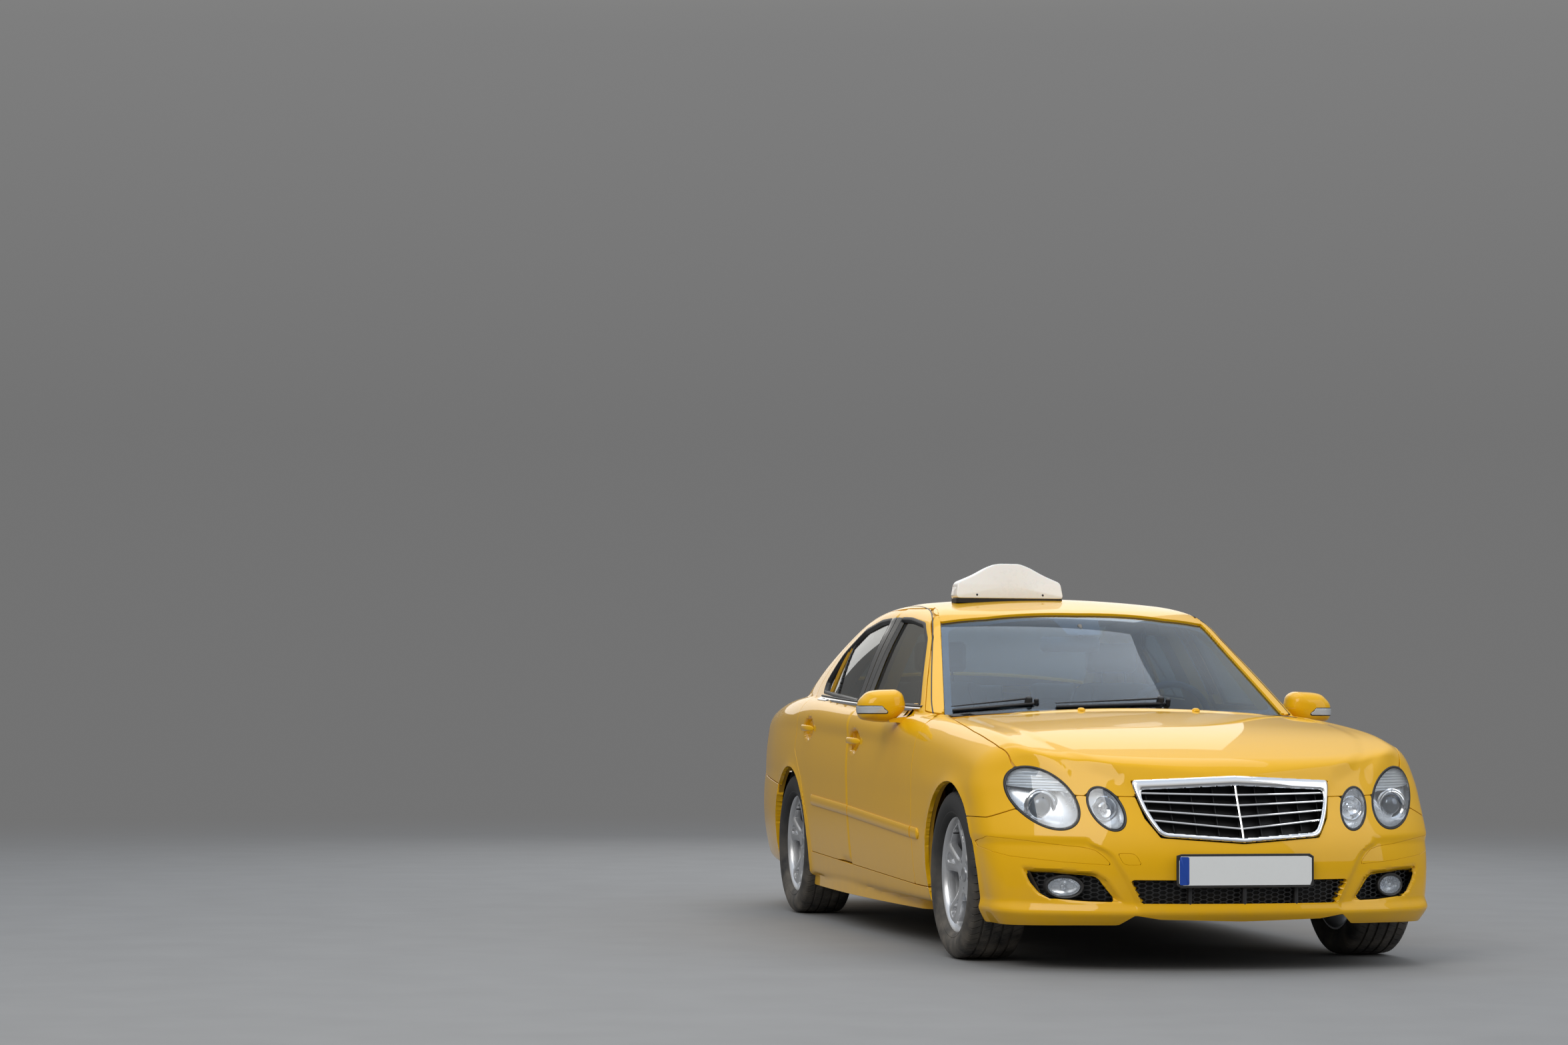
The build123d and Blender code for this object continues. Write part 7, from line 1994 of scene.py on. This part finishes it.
WHEEL_PLACE = (0.38, -0.40, 0.90)
WHEEL_TILT = math.radians(24)
steer_axis = np.array([0, math.cos(WHEEL_TILT), math.sin(WHEEL_TILT)])
steer_up = np.array([0, -math.sin(WHEEL_TILT), math.cos(WHEEL_TILT)])
grip_turn = np.linspace(0, -2 * np.pi, 15)
grip_profile = [(0.186 + 0.0150 * math.cos(t), 0.0150 * math.sin(t)) for t in grip_turn]
steer_parts = [turned(grip_profile[::-1], WHEEL_PLACE, steer_axis, 72),
               turned([(0, 0.012), (0.030, 0.011), (0.052, 0.004), (0.060, -0.010), (0.058, -0.028),
                       (0.0, -0.030)],
                      WHEEL_PLACE, steer_axis, 40)]
for turn in np.radians([10, 170, 255, 285]):
    outward = np.array([math.cos(turn), 0, 0]) + math.sin(turn) * steer_up
    path = [np.array(WHEEL_PLACE) + outward * r - steer_axis * s for r,
            s in ((0.045, 0.010), (0.11, 0.014), (0.176, 0.002))]
    steer_parts.append(tube(smooth_path(path, 12), 0.014, 12, 0.5, steer_axis))
steer_piece = make_object("steering_wheel_trim", joined(*steer_parts), "steering_wheel", DASH)
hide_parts("steering_wheel")


# Rear plate on the boot lid

REAR_PLATE_Z = 0.80
rear_face = surface_points(body_field, 0.0, 1.6, REAR_PLATE_Z, (0, 1, 0), 0.0, 1.0)[0]
rear_plate_at = np.array([0, rear_face[1] - 0.001, REAR_PLATE_Z])
make_object("rear_plate_frame", plate_layer(rear_plate_at, 1, 0.266, 0.062, 0.010, 0.007, 0.002), "boot_lid",
            BLACK_PLASTIC)
make_object("rear_plate", plate_layer(rear_plate_at + np.array([0, 0.0072, 0]), 1, *PLATE_HALF_SIZE, 0.007,
                                      0.0012, 0.0005),
            "boot_lid", PLATE_WHITE)


# Materials of the nodes that stay as they are

CAD_FINISHES = {
    "floor_pan": UNDERBODY, "front_structure": UNDERBODY, "rear_structure": UNDERBODY, "front_subframe": CAST,
    "rear_subframe": CAST, "engine_block": CAST, "exhaust_system": EXHAUST, "knuckle_left": CAST,
    "knuckle_right": CAST, "cowl_panel": BLACK_PLASTIC, "dashboard": DASH, "tail_lamps": RED_LENS,
}
for name, finish in CAD_FINISHES.items():
    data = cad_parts[name].data
    data.materials.clear()
    data.materials.append(finish)
    data.set_sharp_from_angle(angle=math.radians(30))


# Floor, lights and camera

HORIZON_GREY = 0.17


def backdrop_material():
    """Grey floor that keeps the shadow near the car and turns into the horizon's grey farther out."""
    made = bpy.data.materials.new("studio_floor")
    made.use_nodes = True
    tree = made.node_tree
    surface = next(n for n in tree.nodes if n.type == "BSDF_PRINCIPLED")
    output = next(n for n in tree.nodes if n.type == "OUTPUT_MATERIAL")
    place = node(tree, "TexCoord").outputs["Object"]
    noise = node(tree, "TexNoise", {"Vector": place, "Scale": 3.0, "Detail": 4.0}).outputs["Fac"]
    shade = node(tree, "MapRange", {"Value": noise, "To Min": 0.20, "To Max": 0.24}).outputs[0]
    tree.links.new(shade, surface.inputs["Base Color"])
    surface.inputs["Roughness"].default_value = 0.8
    away = node(tree, "VectorMath", {0: place}, operation="LENGTH").outputs["Value"]
    far = node(tree, "MapRange", {"Value": away, "From Min": 4.5, "From Max": 15.0},
               interpolation_type="SMOOTHSTEP")
    glow = node(tree, "Emission", {"Color": (HORIZON_GREY, HORIZON_GREY, HORIZON_GREY, 1)})
    mixed = node(tree, "MixShader", {0: far.outputs[0], 1: surface.outputs[0], 2: glow.outputs[0]})
    tree.links.new(mixed.outputs[0], output.inputs[0])
    return made


floor_half = 24.0
floor_data = bpy.data.meshes.new("studio_floor")
floor_data.from_pydata([(-floor_half, -floor_half, 0), (floor_half, -floor_half, 0),
                        (floor_half, floor_half, 0), (-floor_half, floor_half, 0)], [], [(0, 1, 2, 3)])
floor_piece = bpy.data.objects.new("studio_floor", floor_data)
floor_data.materials.append(backdrop_material())
bpy.context.scene.collection.objects.link(floor_piece)

world = bpy.data.worlds.new("studio_world")
bpy.context.scene.world = world
world.use_nodes = True
tree = world.node_tree
tree.nodes.clear()
world_out = tree.nodes.new("ShaderNodeOutputWorld")
height = node(tree, "SeparateXYZ", {0: node(tree, "TexCoord").outputs["Generated"]}).outputs["Z"]
# The grey horizon, a little lighter where the camera looks, and a pale sky, as paint and glass mirror them
sky_colours = node(tree, "ValToRGB", {"Fac": node(tree, "MapRange",
                                                  {"Value": height, "From Min": -1.0}).outputs[0]})
SKY_STOPS = [(0.0, 0.16, 0.16, 0.16), (0.50, HORIZON_GREY, HORIZON_GREY, HORIZON_GREY),
             (0.54, 0.17, 0.17, 0.17), (0.60, 0.21, 0.21, 0.21), (0.70, 0.60, 0.58, 0.54),
             (0.82, 0.84, 0.88, 0.93), (1.0, 0.66, 0.75, 0.88)]
elements = sky_colours.color_ramp.elements
while len(elements) < len(SKY_STOPS):
    elements.new(0.5)
for element, (place, *colour) in zip(elements, SKY_STOPS):
    element.position = place
    element.color = (*colour, 1)
sky = node(tree, "Background", {"Color": sky_colours.outputs[0], "Strength": 1.0}).outputs[0]
tree.links.new(sky, world_out.inputs[0])

LAMPS = [
    # name, place, size, energy in watts, colour
    ("key_light", (-5.5, -7.0, 6.5), 5.0, 355, (1.0, 0.97, 0.92)),
    ("fill_light", (6.5, -6.0, 4.0), 6.0, 146, (0.90, 0.94, 1.0)),
    ("top_light", (0.0, 0.5, 7.0), 6.0, 137, (0.95, 0.97, 1.0)),
    ("back_light", (1.0, 8.0, 4.5), 6.0, 119, (1.0, 0.98, 0.95)),
]
AIM_AT = np.array([0.0, 0.0, 0.6])
for name, place, size, energy, colour in LAMPS:
    light = bpy.data.lights.new(name, "AREA")
    light.size = size
    light.energy = energy
    light.color = colour
    lamp = bpy.data.objects.new(name, light)
    lamp.location = place
    lamp.rotation_euler = Vector(AIM_AT - np.array(place)).to_track_quat("-Z", "Y").to_euler()
    bpy.context.scene.collection.objects.link(lamp)

CAMERA_PLACE = Vector((-4.292, -14.159, 0.994))
CAMERA_YAW = math.radians(-12.247)
CAMERA_PITCH = math.radians(3.036)
CAMERA_ROLL = math.radians(0.284)
CAMERA_LENS = 76.97
ahead = Vector((-math.sin(CAMERA_YAW) * math.cos(CAMERA_PITCH), math.cos(CAMERA_YAW) * math.cos(CAMERA_PITCH),
                math.sin(CAMERA_PITCH)))
level = Vector((math.cos(CAMERA_YAW), math.sin(CAMERA_YAW), 0))
upright = level.cross(ahead)
right = level * math.cos(CAMERA_ROLL) + upright * math.sin(CAMERA_ROLL)
up = upright * math.cos(CAMERA_ROLL) - level * math.sin(CAMERA_ROLL)
camera_data = bpy.data.cameras.new("camera")
camera_data.lens = CAMERA_LENS
camera_data.sensor_width = 36
camera_data.clip_end = 200
camera = bpy.data.objects.new("camera", camera_data)
turn = Matrix((right, up, -ahead)).transposed().to_4x4()
camera.matrix_world = Matrix.Translation(CAMERA_PLACE) @ turn
bpy.context.scene.collection.objects.link(camera)
bpy.context.scene.camera = camera
bpy.context.scene.view_settings.view_transform = "Standard"
